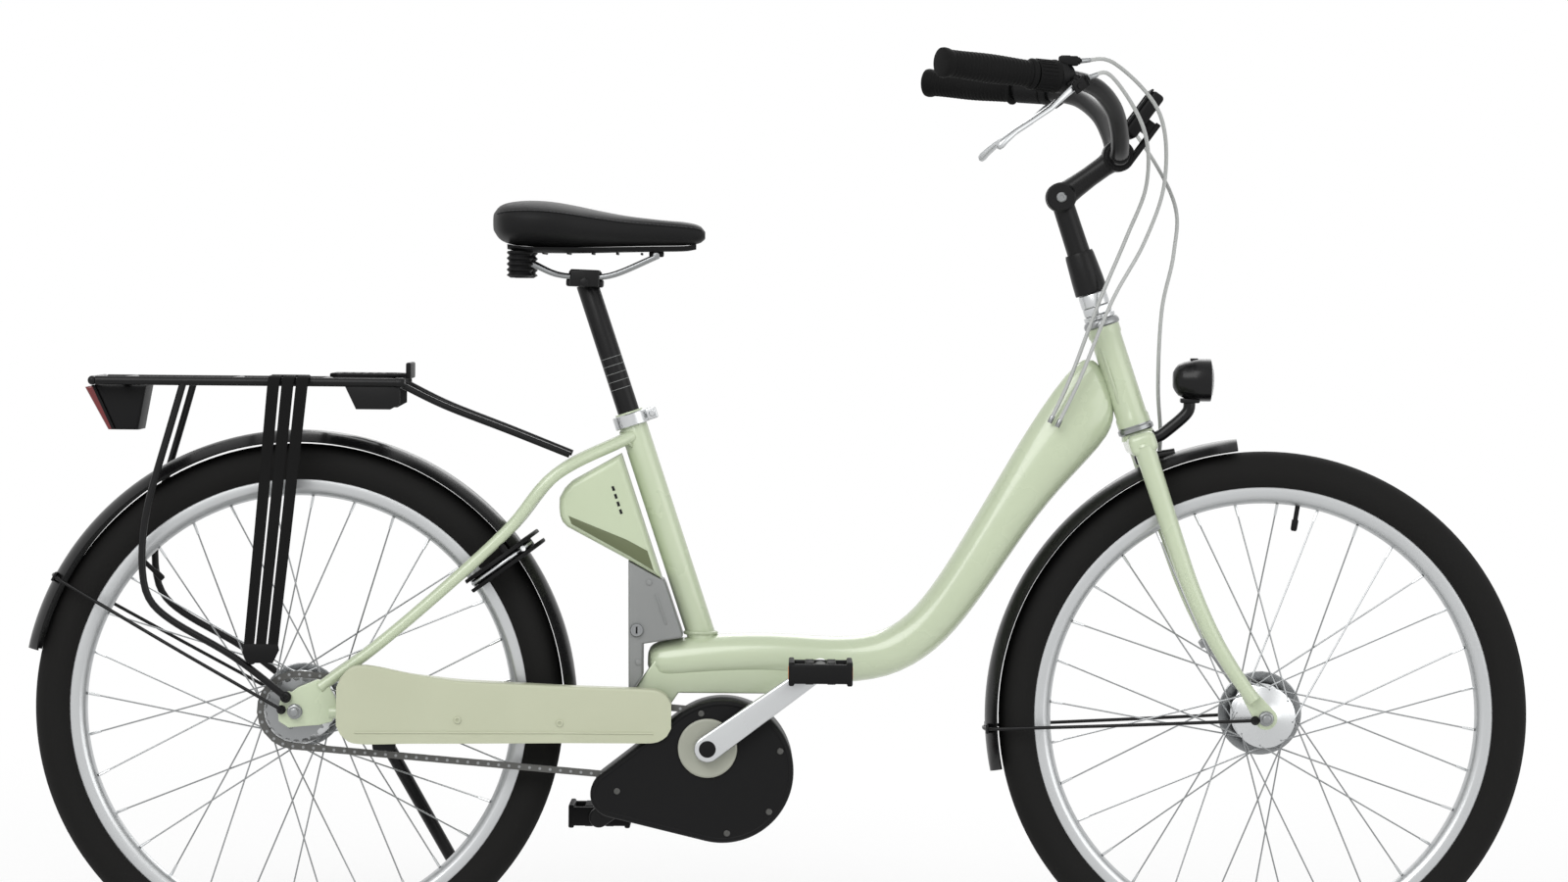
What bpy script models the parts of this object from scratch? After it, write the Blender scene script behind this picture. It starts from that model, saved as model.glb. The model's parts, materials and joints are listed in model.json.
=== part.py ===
# Electric bicycle with a step-through frame, a mid motor and a battery behind the seat tube.
# Blender 4.5, metres, +Z up, +X forward, +Y the rider's left. It leans on its side stand.
import math

import bpy
import bmesh
from mathutils import Matrix, Vector

# Driving dimensions. The working frame of the pieces has its origin on the ground below the
# rear axle of the upright bicycle; the lean and the final origin are applied at the end.
LEAN = math.radians(3.0)
CLEAR = 0.0003
FIT = 0.0004
WHEELBASE = 1.194
AXLE_HEIGHT = 0.3285
TYRE_RADIUS = 0.3285
TYRE_WIDTH = 0.050
TYRE_WALL = 0.003
RIM_INNER_RADIUS = 0.263
RIM_DEPTH = 0.023
RIM_EDGE_RADIUS = RIM_INNER_RADIUS + RIM_DEPTH
RIM_WIDTH = 0.030
WHEEL_SIDES = 28
SPOKES = 32
SPOKE_RADIUS = 0.0012
SPOKE_PHASE = math.radians(7.9)

HEAD_LEAN = math.radians(18.5)
FORK_OFFSET = 0.040
CROWN_HEIGHT = TYRE_RADIUS + 0.0275
CROWN_DEPTH = 0.026
HEAD_BOTTOM = CROWN_HEIGHT + 0.036
HEAD_TOP = HEAD_BOTTOM + 0.128
HEAD_RADIUS = 0.0195
STEERER_RADIUS = 0.0143
CUP_HEIGHT = 0.009
CUP_FLANGE = 0.0225
NUT_HEIGHT = 0.034
STEM_BASE_HEIGHT = 0.052
STEM_RADIUS = 0.0127
STEM_PIVOT = HEAD_TOP + 0.168
STEM_REACH = Vector((0.07024, 0.0, 0.05174))
BLADE_SPREAD = 0.059
BLADE_RADIUS = 0.0135
BLADE_TIP_RADIUS = 0.0085
FRONT_INNER_WIDTH = 0.100
REAR_INNER_WIDTH = 0.135
DROPOUT_WALL = 0.006
AXLE_RADIUS = 0.0048
NUT_RADIUS = 0.0095
NUT_LENGTH = 0.009

SEAT_LEAN = math.radians(18.5)
SEAT_TOP = Vector((0.4049, 0.0, 0.6988))
SEAT_TUBE_RADIUS = 0.0175
SEAT_TUBE_BOTTOM = 0.298
POST_RADIUS = 0.0136
POST_INSERT = 0.130
POST_TOP = 0.148

BB = Vector((0.507, 0.0, 0.287))
CRANK_ANGLE = math.radians(36.0)
CRANK_LENGTH = 0.170
CRANK_AXLE_RADIUS = 0.0085
CRANK_INNER_Y = 0.072
CRANK_THICKNESS = 0.012
PEDAL_LENGTH = 0.078
PEDAL_WIDTH = 0.092
PEDAL_HEIGHT = 0.030
PEDAL_GAP = 0.006
PEDAL_AXLE_RADIUS = 0.0045

CHAIN_Y = -0.050
CHAIN_PITCH = 0.0127
CHAIN_WIDTH = 0.0074
CHAIN_HEIGHT = 0.0086
DRIVE_TEETH = 22
REAR_TEETH = 22
SPROCKET_THICKNESS = 0.0028

MOTOR_CENTRE = Vector((0.525, 0.0, 0.258))
MOTOR_RADIUS = 0.087
MOTOR_TIP = Vector((0.392, 0.0, 0.229))
MOTOR_TIP_RADIUS = 0.028
MOTOR_RIGHT_Y = -0.040
MOTOR_LEFT_Y = 0.056
COVER_OUTER_Y = -0.0665
COVER_WALL = 0.0025

MUDGUARD_RADIUS = TYRE_RADIUS + 0.016
MUDGUARD_WIDTH = 0.062
MUDGUARD_WALL = 0.0022

RACK_TOP = 0.733
RACK_BACK = -0.252
RACK_FRONT = 0.128
RACK_WIDTH = 0.130
RACK_TUBE = 0.0055

BAR_RADIUS = 0.0112
BAR_CLAMP_RADIUS = 0.0127
GRIP_RADIUS = 0.0168
GRIP_LENGTH = 0.128
CABLE_RADIUS = 0.0025

AXIS_UP = Vector((-math.sin(HEAD_LEAN), 0.0, math.cos(HEAD_LEAN)))
AXIS_AHEAD = Vector((math.cos(HEAD_LEAN), 0.0, math.sin(HEAD_LEAN)))
SEAT_UP = Vector((-math.sin(SEAT_LEAN), 0.0, math.cos(SEAT_LEAN)))
SEAT_AHEAD = Vector((math.cos(SEAT_LEAN), 0.0, math.sin(SEAT_LEAN)))
GROUND = AXLE_HEIGHT - TYRE_RADIUS
REAR_AXLE = Vector((0.0, 0.0, AXLE_HEIGHT))
FRONT_AXLE = Vector((WHEELBASE, 0.0, AXLE_HEIGHT))
STEER_FOOT = FRONT_AXLE - AXIS_AHEAD * FORK_OFFSET
Y_AXIS = Vector((0.0, 1.0, 0.0))
Z_AXIS = Vector((0.0, 0.0, 1.0))


def steer(height, ahead=0.0, side=0.0):
    """A point in the fork's own directions: up the steering axis, ahead of it, to the left."""
    return STEER_FOOT + AXIS_UP * height + AXIS_AHEAD * ahead + Y_AXIS * side


def seat(height, ahead=0.0, side=0.0):
    """A point in the seat tube's own directions, measured from the top of the tube."""
    return SEAT_TOP + SEAT_UP * height + SEAT_AHEAD * ahead + Y_AXIS * side


for old in list(bpy.data.objects):
    bpy.data.objects.remove(old, do_unlink=True)

bodies = {}
finishes = {}


def finish(name, colour, roughness, metallic=0.0):
    if name not in finishes:
        made = bpy.data.materials.new(name)
        made.use_nodes = True
        shader = made.node_tree.nodes["Principled BSDF"]
        shader.inputs["Base Color"].default_value = (*colour, 1.0)
        shader.inputs["Roughness"].default_value = roughness
        shader.inputs["Metallic"].default_value = metallic
        finishes[name] = made
    return finishes[name]


PAINT = ("frame_paint", (0.70, 0.80, 0.62), 0.35, 0.0)
BLACK_PAINT = ("black_paint", (0.02, 0.02, 0.02), 0.45, 0.0)
BLACK_PLASTIC = ("black_plastic", (0.03, 0.03, 0.03), 0.55, 0.0)
GREY_PLASTIC = ("grey_plastic", (0.32, 0.33, 0.33), 0.5, 0.0)
RUBBER = ("rubber", (0.02, 0.02, 0.02), 0.85, 0.0)
TYRE = ("tyre_rubber", (0.02, 0.02, 0.02), 0.8, 0.0)
COVER = ("saddle_cover", (0.02, 0.02, 0.02), 0.6, 0.0)
CASE = ("battery_case", (0.70, 0.80, 0.62), 0.4, 0.0)
MOTOR = ("motor_case", (0.03, 0.03, 0.03), 0.45, 0.6)
SILVER = ("silver", (0.72, 0.73, 0.73), 0.3, 1.0)
STEEL = ("steel", (0.45, 0.45, 0.45), 0.35, 1.0)
GUARD = ("guard_plastic", (0.66, 0.70, 0.55), 0.5, 0.0)


def body(name, origin, parent=None):
    """An empty on the joint's axis that carries the pieces which move together."""
    pivot = bpy.data.objects.new("pivot_" + name, None)
    bpy.context.scene.collection.objects.link(pivot)
    pivot.location = Vector(origin)
    if parent:
        pivot.parent = bodies[parent][0]
        pivot.location -= bodies[parent][1]
    bodies[name] = (pivot, Vector(origin))


def place(name, mesh, carrier, look, smooth=True):
    """Puts a mesh made in the working frame on its carrier, as a named piece."""
    mesh.transform(Matrix.Translation(-bodies[carrier][1]))
    if smooth:
        mesh.shade_smooth()
        mesh.set_sharp_from_angle(angle=math.radians(35))
    piece = bpy.data.objects.new(name, mesh)
    bpy.context.scene.collection.objects.link(piece)
    piece.parent = bodies[carrier][0]
    mesh.materials.clear()
    mesh.materials.append(finish(*look))
    return piece


def mesh_of(bm, name="shape"):
    bmesh.ops.recalc_face_normals(bm, faces=bm.faces)
    mesh = bpy.data.meshes.new(name)
    bm.to_mesh(mesh)
    bm.free()
    return mesh


def joined(meshes):
    bm = bmesh.new()
    for mesh in meshes:
        bm.from_mesh(mesh)
    mesh = bpy.data.meshes.new("joined")
    bm.to_mesh(mesh)
    bm.free()
    return mesh


def combine(base, others, operation="UNION"):
    """A Boolean of meshes, applied one after another with Blender's exact solver."""
    holder = bpy.data.objects.new("holder", base)
    bpy.context.scene.collection.objects.link(holder)
    for other in others:
        tool = bpy.data.objects.new("tool", other)
        bpy.context.scene.collection.objects.link(tool)
        step = holder.modifiers.new("step", "BOOLEAN")
        step.operation = operation
        step.object = tool
        bpy.context.view_layer.update()
        result = holder.evaluated_get(bpy.context.evaluated_depsgraph_get())
        mesh = bpy.data.meshes.new_from_object(result)
        holder.modifiers.clear()
        holder.data = mesh
        bpy.data.objects.remove(tool, do_unlink=True)
    mesh = holder.data
    bpy.data.objects.remove(holder, do_unlink=True)
    bm = bmesh.new()
    bm.from_mesh(mesh)
    bmesh.ops.remove_doubles(bm, verts=bm.verts, dist=0.000001)
    bmesh.ops.dissolve_degenerate(bm, edges=bm.edges, dist=0.000001)
    bmesh.ops.triangulate(bm, faces=[f for f in bm.faces if len(f.verts) > 4])
    bm.to_mesh(mesh)
    bm.free()
    return mesh


def rotation_to(direction):
    return Z_AXIS.rotation_difference(Vector(direction).normalized()).to_matrix().to_4x4()


def rod(start, end, radius, end_radius=None, sides=12):
    """A round bar, or a cone frustum, between two points."""
    start, end = Vector(start), Vector(end)
    bm = bmesh.new()
    where = Matrix.Translation((start + end) / 2) @ rotation_to(end - start)
    bmesh.ops.create_cone(
        bm,
        cap_ends=True,
        segments=sides,
        radius1=radius,
        radius2=radius if end_radius is None else end_radius,
        depth=(end - start).length,
        matrix=where,
    )
    return mesh_of(bm)


def block(centre, size, turn=None, bevel=0.0, segments=1):
    """A box with its edges rounded."""
    bm = bmesh.new()
    bmesh.ops.create_cube(bm, size=1.0, matrix=Matrix.Diagonal((*size, 1.0)))
    if bevel:
        bmesh.ops.bevel(
            bm, geom=bm.edges[:], offset=bevel, segments=segments, profile=0.5, affect="EDGES"
        )
    bm.transform(Matrix.Translation(Vector(centre)) @ (turn or Matrix.Identity(4)))
    return mesh_of(bm)


def turned(profile, centre, direction, sides=12):
    """A profile of (radius, place along the axis) spun round the axis. A closed ring if it
    never meets the axis, a solid if its ends do."""
    bm = bmesh.new()
    verts = [bm.verts.new((r, 0.0, h)) for r, h in profile]
    closed = profile[0][0] > 1e-6 and profile[-1][0] > 1e-6
    edges = [bm.edges.new(pair) for pair in zip(verts, verts[1:])]
    if closed:
        edges.append(bm.edges.new((verts[-1], verts[0])))
    bmesh.ops.spin(
        bm, geom=verts + edges, axis=Z_AXIS, cent=(0, 0, 0), steps=sides, angle=math.tau, use_merge=True
    )
    bmesh.ops.remove_doubles(bm, verts=bm.verts, dist=1e-6)
    bm.transform(Matrix.Translation(Vector(centre)) @ rotation_to(direction))
    return mesh_of(bm)


def ring(inner, outer, start, end, centre, direction, sides=12):
    return turned([(inner, start), (outer, start), (outer, end), (inner, end)], centre, direction, sides)


def smooth_path(points, steps):
    """Points on a smooth curve through the given ones, evenly spread."""
    points = [Vector(p) for p in points]
    ends = [points[0] * 2 - points[1]] + points + [points[-1] * 2 - points[-2]]
    fine = []
    for a, b, c, d in zip(ends, ends[1:], ends[2:], ends[3:]):
        for i in range(12):
            t = i / 12
            fine.append(
                0.5
                * (
                    2 * b
                    + (c - a) * t
                    + (2 * a - 5 * b + 4 * c - d) * t * t
                    + (3 * b - a - 3 * c + d) * t * t * t
                )
            )
    fine.append(points[-1])
    lengths = [0.0]
    for a, b in zip(fine, fine[1:]):
        lengths.append(lengths[-1] + (b - a).length)
    result = []
    i = 0
    for step in range(steps + 1):
        wanted = lengths[-1] * step / steps
        while i < len(fine) - 2 and lengths[i + 1] < wanted:
            i += 1
        share = (wanted - lengths[i]) / max(lengths[i + 1] - lengths[i], 1e-9)
        result.append(fine[i].lerp(fine[i + 1], min(max(share, 0.0), 1.0)))
    return result


def pipe(points, radius, resolution=2, end_radius=None):
    """A bent tube: a curve with a round bevel and filled caps, read as a mesh."""
    curve = bpy.data.curves.new("pipe", "CURVE")
    curve.dimensions = "3D"
    curve.bevel_depth = radius
    curve.bevel_resolution = resolution
    curve.use_fill_caps = True
    spline = curve.splines.new("POLY")
    spline.points.add(len(points) - 1)
    for i, (at, point) in enumerate(zip(spline.points, points)):
        at.co = (*point, 1.0)
        if end_radius is not None:
            at.radius = 1.0 + (end_radius / radius - 1.0) * i / (len(points) - 1)
    holder = bpy.data.objects.new("pipe", curve)
    bpy.context.scene.collection.objects.link(holder)
    bpy.context.view_layer.update()
    mesh = bpy.data.meshes.new_from_object(holder.evaluated_get(bpy.context.evaluated_depsgraph_get()))
    bpy.data.objects.remove(holder, do_unlink=True)
    bm = bmesh.new()
    bm.from_mesh(mesh)
    bmesh.ops.remove_doubles(bm, verts=bm.verts, dist=1e-6)
    return mesh_of(bm)


def loft(stations, sides=12, power=1.0):
    """Rings of unlike size joined into one skin. A station is (centre, along, half height,
    half width); the width lies along Y."""
    rings = []
    for centre, along, high, wide in stations:
        up = Vector(along).normalized().cross(Y_AXIS)
        points = []
        for i in range(sides):
            turn = math.tau * i / sides
            c, s = math.cos(turn), math.sin(turn)
            c = math.copysign(abs(c) ** power, c)
            s = math.copysign(abs(s) ** power, s)
            points.append(Vector(centre) + up * (high * c) + Y_AXIS * (wide * s))
        rings.append(points)
    return skin(rings)


def skin(outlines):
    """Closed outlines of as many points each, joined one after another, with both ends capped."""
    bm = bmesh.new()
    rings = [[bm.verts.new(p) for p in outline] for outline in outlines]
    for verts in (rings[0], rings[-1]):
        bm.faces.new(verts)
    loops = []
    for verts in rings:
        edges = []
        for a, b in zip(verts, verts[1:] + verts[:1]):
            edges.append(bm.edges.get((a, b)) or bm.edges.new((a, b)))
        loops.append(edges)
    for low, high in zip(loops, loops[1:]):
        bmesh.ops.bridge_loops(bm, edges=low + high)
    return mesh_of(bm)


def mirrored(mesh):
    """The same shape for the other side of the bicycle."""
    copy = mesh.copy()
    copy.transform(Matrix.Diagonal((1.0, -1.0, 1.0, 1.0)))
    copy.flip_normals()
    return copy


def plate(outline, low, high, bevel=0.0):
    """A flat outline in the X and Z directions, given thickness from Y low to Y high."""
    bm = bmesh.new()
    face = bm.faces.new([bm.verts.new((x, low, z)) for x, z in outline])
    made = bmesh.ops.extrude_face_region(bm, geom=[face])
    moved = [v for v in made["geom"] if isinstance(v, bmesh.types.BMVert)]
    bmesh.ops.translate(bm, verts=moved, vec=(0.0, high - low, 0.0))
    if bevel:
        rim = [e for e in bm.edges if abs(e.verts[0].co.y - e.verts[1].co.y) < 1e-9]
        bmesh.ops.bevel(bm, geom=rim, offset=bevel, segments=1, profile=0.5, affect="EDGES")
    return mesh_of(bm)


def arc(centre, radius, start, end, steps):
    """Points (x, z) on an arc, with its angles in degrees from ahead, upwards."""
    return [
        (
            centre[0] + radius * math.cos(math.radians(start + (end - start) * i / steps)),
            centre[1] + radius * math.sin(math.radians(start + (end - start) * i / steps)),
        )
        for i in range(steps + 1)
    ]


def drop(centre, radius, tip, tip_radius, steps=16, tip_steps=4, grow=0.0):
    """The outline of two circles and the lines that touch both."""
    span = Vector((tip.x - centre.x, tip.z - centre.z))
    facing = math.degrees(math.atan2(span.y, span.x))
    spread = math.degrees(math.acos((radius - tip_radius) / span.length))
    big = arc((centre.x, centre.z), radius + grow, facing + spread, facing + 360 - spread, steps)
    small = arc((tip.x, tip.z), tip_radius + grow, facing - spread, facing + spread, tip_steps)
    return big + small


# Bodies, each with its origin on its joint's axis
STAND_PIVOT = Vector((0.0975, 0.0990, 0.283))
BAR_CLAMP = steer(STEM_PIVOT) + STEM_REACH
LEVER_PIVOTS = {
    "left": BAR_CLAMP + Vector((-0.0653, 0.2603, 0.077)),
    "right": BAR_CLAMP + Vector((-0.0653, -0.2603, 0.077)),
}
PEDAL_Y = CRANK_INNER_Y + CRANK_THICKNESS / 2
CRANK_TIP = {
    "right": BB + CRANK_LENGTH * Vector((math.cos(CRANK_ANGLE), 0, math.sin(CRANK_ANGLE))) - Y_AXIS * PEDAL_Y,
    "left": BB - CRANK_LENGTH * Vector((math.cos(CRANK_ANGLE), 0, math.sin(CRANK_ANGLE))) + Y_AXIS * PEDAL_Y,
}

body("frame", (0, 0, 0))
body("rear_wheel", REAR_AXLE, "frame")
body("freewheel", REAR_AXLE, "frame")
body("steering", steer(HEAD_BOTTOM), "frame")
body("front_wheel", FRONT_AXLE, "steering")
body("crank", BB, "frame")
body("pedal_right", CRANK_TIP["right"], "crank")
body("pedal_left", CRANK_TIP["left"], "crank")
body("seat", seat(0.0), "frame")
body("battery", seat(-0.21, -0.085), "frame")
body("stand", STAND_PIVOT, "frame")
body("lever_left", LEVER_PIVOTS["left"], "steering")
body("lever_right", LEVER_PIVOTS["right"], "steering")


# Wheels
def tyre(axle):
    half = TYRE_WIDTH / 2
    centre = TYRE_RADIUS - half
    bead = RIM_WIDTH / 2 - 0.0005
    profile = []
    for i in range(5):
        turn = math.radians(-136 + 272 * i / 4)
        profile.append((centre + half * math.cos(turn), half * math.sin(turn)))
    profile = [(RIM_EDGE_RADIUS + 0.001, -bead)] + profile[1:-1] + [(RIM_EDGE_RADIUS + 0.001, bead)]
    inner = []
    for r, y in reversed(profile):
        inner.append((centre + (r - centre) * (1 - TYRE_WALL / half), y * (1 - TYRE_WALL / half)))
    inner[0] = (RIM_EDGE_RADIUS + 0.001, bead - TYRE_WALL)
    inner[-1] = (RIM_EDGE_RADIUS + 0.001, -bead + TYRE_WALL)
    return turned(profile + inner, axle, Y_AXIS, WHEEL_SIDES)


def rim(axle):
    half = RIM_WIDTH / 2
    edge = RIM_EDGE_RADIUS + 0.001 - CLEAR
    wall = 0.0026
    floor = RIM_INNER_RADIUS + 0.009
    profile = [
        (RIM_INNER_RADIUS, -half * 0.45),
        (RIM_INNER_RADIUS + 0.008, -half),
        (edge, -half),
        (edge, wall - half),
        (floor, wall * 1.6 - half),
        (floor, half - wall * 1.6),
        (edge, half - wall),
        (edge, half),
        (RIM_INNER_RADIUS + 0.008, half),
        (RIM_INNER_RADIUS, half * 0.45),
    ]
    return turned(profile, axle, Y_AXIS, WHEEL_SIDES)


def hub_with_spokes(axle, profile, flange_radius, flanges):
    """The hub shell with its spokes, which stop just short of the rim."""
    shell = turned(profile, axle, Y_AXIS, 12)
    leading, trailing = [], []
    reach = RIM_INNER_RADIUS * math.cos(math.pi / WHEEL_SIDES) - CLEAR
    for i in range(SPOKES):
        side = i % 2
        head = 1 if (i // 2) % 2 else -1
        rim_turn = SPOKE_PHASE + math.tau * i / SPOKES
        hub_turn = rim_turn + head * math.radians(62)
        y = flanges[side] + head * 0.0016
        start = Vector((flange_radius * math.cos(hub_turn), y, flange_radius * math.sin(hub_turn)))
        end = Vector((reach * math.cos(rim_turn), (0.004, -0.004)[side], reach * math.sin(rim_turn)))
        row = leading if head > 0 else trailing
        row.append(rod(axle + start, axle + end, SPOKE_RADIUS, sides=3))
    return combine(shell, [joined(leading), joined(trailing)])


def axle_with_nuts(axle, inner_width):
    """The wheel axle from nut to nut, past both dropouts."""
    seat_at = inner_width / 2 + DROPOUT_WALL + CLEAR
    end = seat_at + NUT_LENGTH + 0.005
    profile = [
        (0.0, -end),
        (AXLE_RADIUS, -end),
        (AXLE_RADIUS, -seat_at - NUT_LENGTH),
        (NUT_RADIUS, -seat_at - NUT_LENGTH),
        (NUT_RADIUS, -seat_at),
        (AXLE_RADIUS, -seat_at),
        (AXLE_RADIUS, seat_at),
        (NUT_RADIUS, seat_at),
        (NUT_RADIUS, seat_at + NUT_LENGTH),
        (AXLE_RADIUS, seat_at + NUT_LENGTH),
        (AXLE_RADIUS, end),
        (0.0, end),
    ]
    return turned(profile, axle, Y_AXIS, 8)


HUB_BORE = (AXLE_RADIUS + FIT) / math.cos(math.pi / 12)
FRONT_FLANGES = (-0.034, 0.026)
REAR_FLANGES = (-0.034, 0.030)
FRONT_HUB_RADIUS = 0.030
REAR_HUB_RADIUS = 0.036
FLANGE_LIP = 0.008
BRAKE_RADIUS = 0.052
BRAKE_WIDTH = 0.014


def hub_profile(flanges, shell_radius, right_end, left_end):
    lip = shell_radius + FLANGE_LIP
    return [
        (HUB_BORE, right_end),
        (0.013, right_end),
        (0.013, flanges[0] - 0.006),
        (lip, flanges[0] - 0.0022),
        (lip, flanges[0] + 0.0022),
        (shell_radius, flanges[0] + 0.006),
        (shell_radius, flanges[1] - 0.006),
        (lip, flanges[1] - 0.0022),
        (lip, flanges[1] + 0.0022),
        (0.013, flanges[1] + 0.006),
        (0.013, left_end),
        (HUB_BORE, left_end),
    ]


def hub_brake(axle, inner_width, flange_y, arm_to, clip, inset):
    """Roller brake with its cooling disc and the arm that holds it to a frame tube."""
    outer = inner_width / 2 - CLEAR
    inner = flange_y + 0.0065 + 0.002
    bore = HUB_BORE
    drum = turned(
        [
            (bore, inner + 0.006),
            (BRAKE_RADIUS * 0.62, inner + 0.006),
            (BRAKE_RADIUS, inner + 0.004),
            (BRAKE_RADIUS, inner + 0.008),
            (BRAKE_RADIUS * 0.70, inner + 0.011),
            (BRAKE_RADIUS * 0.62, outer - 0.002),
            (0.014, outer),
            (bore, outer),
        ],
        axle,
        Y_AXIS,
        12,
    )
    y = outer - inset
    start = Vector((axle.x, y, axle.z)) + (arm_to - axle).normalized() * BRAKE_RADIUS * 0.4
    end = Vector((arm_to.x, y, arm_to.z))
    arm = pipe([start, start.lerp(end, 0.5), end], 0.0045, 1)
    return combine(drum, [arm] + clip)


def side_point(centre, y):
    return Vector((centre.x, y, centre.z))


def sprocket(centre, teeth, bore):
    """A toothed wheel whose teeth stop short of the chain's rollers."""
    pitch_radius = CHAIN_PITCH / 2 / math.sin(math.pi / teeth)
    tip = pitch_radius - CHAIN_HEIGHT / 2 - CLEAR * 2
    root = tip - 0.0035
    outline = []
    for i in range(teeth):
        for share, radius in ((-0.25, root), (-0.10, tip), (0.10, tip)):
            turn = math.tau * (i + share) / teeth
            outline.append((centre.x + radius * math.cos(turn), centre.z + radius * math.sin(turn)))
    half = SPROCKET_THICKNESS / 2
    body_mesh = plate(outline, CHAIN_Y - half, CHAIN_Y + half)
    hole = rod(side_point(centre, CHAIN_Y - 0.01), side_point(centre, CHAIN_Y + 0.01), bore, sides=16)
    return combine(body_mesh, [hole], "DIFFERENCE")


front_right = 0.003 - FRONT_INNER_WIDTH / 2
rear_right = 0.004 - REAR_INNER_WIDTH / 2
front_hub = hub_profile(FRONT_FLANGES, FRONT_HUB_RADIUS, front_right, FRONT_FLANGES[1] + 0.008)
rear_hub = hub_profile(REAR_FLANGES, REAR_HUB_RADIUS, rear_right, REAR_FLANGES[1] + 0.008)
for side, axle, profile, radius, flanges in (
    ("front", FRONT_AXLE, front_hub, FRONT_HUB_RADIUS, FRONT_FLANGES),
    ("rear", REAR_AXLE, rear_hub, REAR_HUB_RADIUS, REAR_FLANGES),
):
    wheel = side + "_wheel"
    place(side + "_tyre", tyre(axle), wheel, TYRE)
    place(side + "_rim", rim(axle), wheel, SILVER)
    flange = radius + FLANGE_LIP - 0.003
    spoked = hub_with_spokes(axle, profile, flange, flanges)
    place(side + "_hub_and_spokes", spoked, wheel, SILVER)
place("front_axle", axle_with_nuts(FRONT_AXLE, FRONT_INNER_WIDTH), "steering", STEEL)
place("rear_axle", axle_with_nuts(REAR_AXLE, REAR_INNER_WIDTH), "frame", STEEL)
place(
    "rear_sprocket",
    sprocket(REAR_AXLE, REAR_TEETH, (0.013 + FIT) / math.cos(math.pi / 16)),
    "freewheel",
    STEEL,
)


# Frame
DROPOUT_Y = REAR_INNER_WIDTH / 2 + DROPOUT_WALL / 2
STAY_RADIUS = 0.009
SEAT_STAY_RADIUS = 0.0078
STAY_FRONT = Vector((0.440, 0.037, 0.318))
STAY_WHEEL = Vector((0.300, 0.044, 0.316))
SEAT_STAY_TOP = seat(-0.030, -0.004, 0.012)
SEAT_STAY_LOW = Vector((0.190, 0.056, 0.488))
SEAT_STAY_HIGH = Vector((0.262, 0.0525, 0.556))
SEAT_STAY_KNEE = Vector((0.318, 0.052, 0.622))
TUBE_HALF = 0.0285
TUBE_CENTRE_Z = 0.398
BRACKET_HALF = 0.027
MAIN_TUBE = (
    (Vector((0.430, 0, 0.385)), 0.026, 0.030),
    (Vector((0.500, 0, 0.394)), TUBE_HALF, 0.031),
    (Vector((0.580, 0, TUBE_CENTRE_Z)), TUBE_HALF, 0.031),
    (Vector((0.655, 0, 0.392)), TUBE_HALF, 0.031),
    (Vector((0.722, 0, 0.396)), TUBE_HALF, 0.031),
    (FRONT_AXLE + Vector((-0.422, 0, 0.0975)), TUBE_HALF, 0.031),
    (FRONT_AXLE + Vector((-0.382, 0, 0.1475)), TUBE_HALF, 0.031),
    (FRONT_AXLE + Vector((-0.341, 0, 0.2125)), 0.030, 0.031),
    (FRONT_AXLE + Vector((-0.297, 0, 0.2825)), 0.033, 0.030),
    (FRONT_AXLE + Vector((-0.249, 0, 0.3465)), 0.043, 0.027),
    (steer((HEAD_BOTTOM + HEAD_TOP) / 2 + 0.004, -HEAD_RADIUS * 0.9), 0.055, 0.0165),
)


def main_tube():
    stations = []
    places = [s[0] for s in MAIN_TUBE]
    for i, (centre, high, wide) in enumerate(MAIN_TUBE):
        before = places[max(i - 1, 0)]
        after = places[min(i + 1, len(places) - 1)]
        along = after - before
        if i == len(MAIN_TUBE) - 1:
            along = AXIS_AHEAD
        stations.append((centre, along, high, wide))
    return loft(stations, sides=14, power=0.9)


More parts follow.
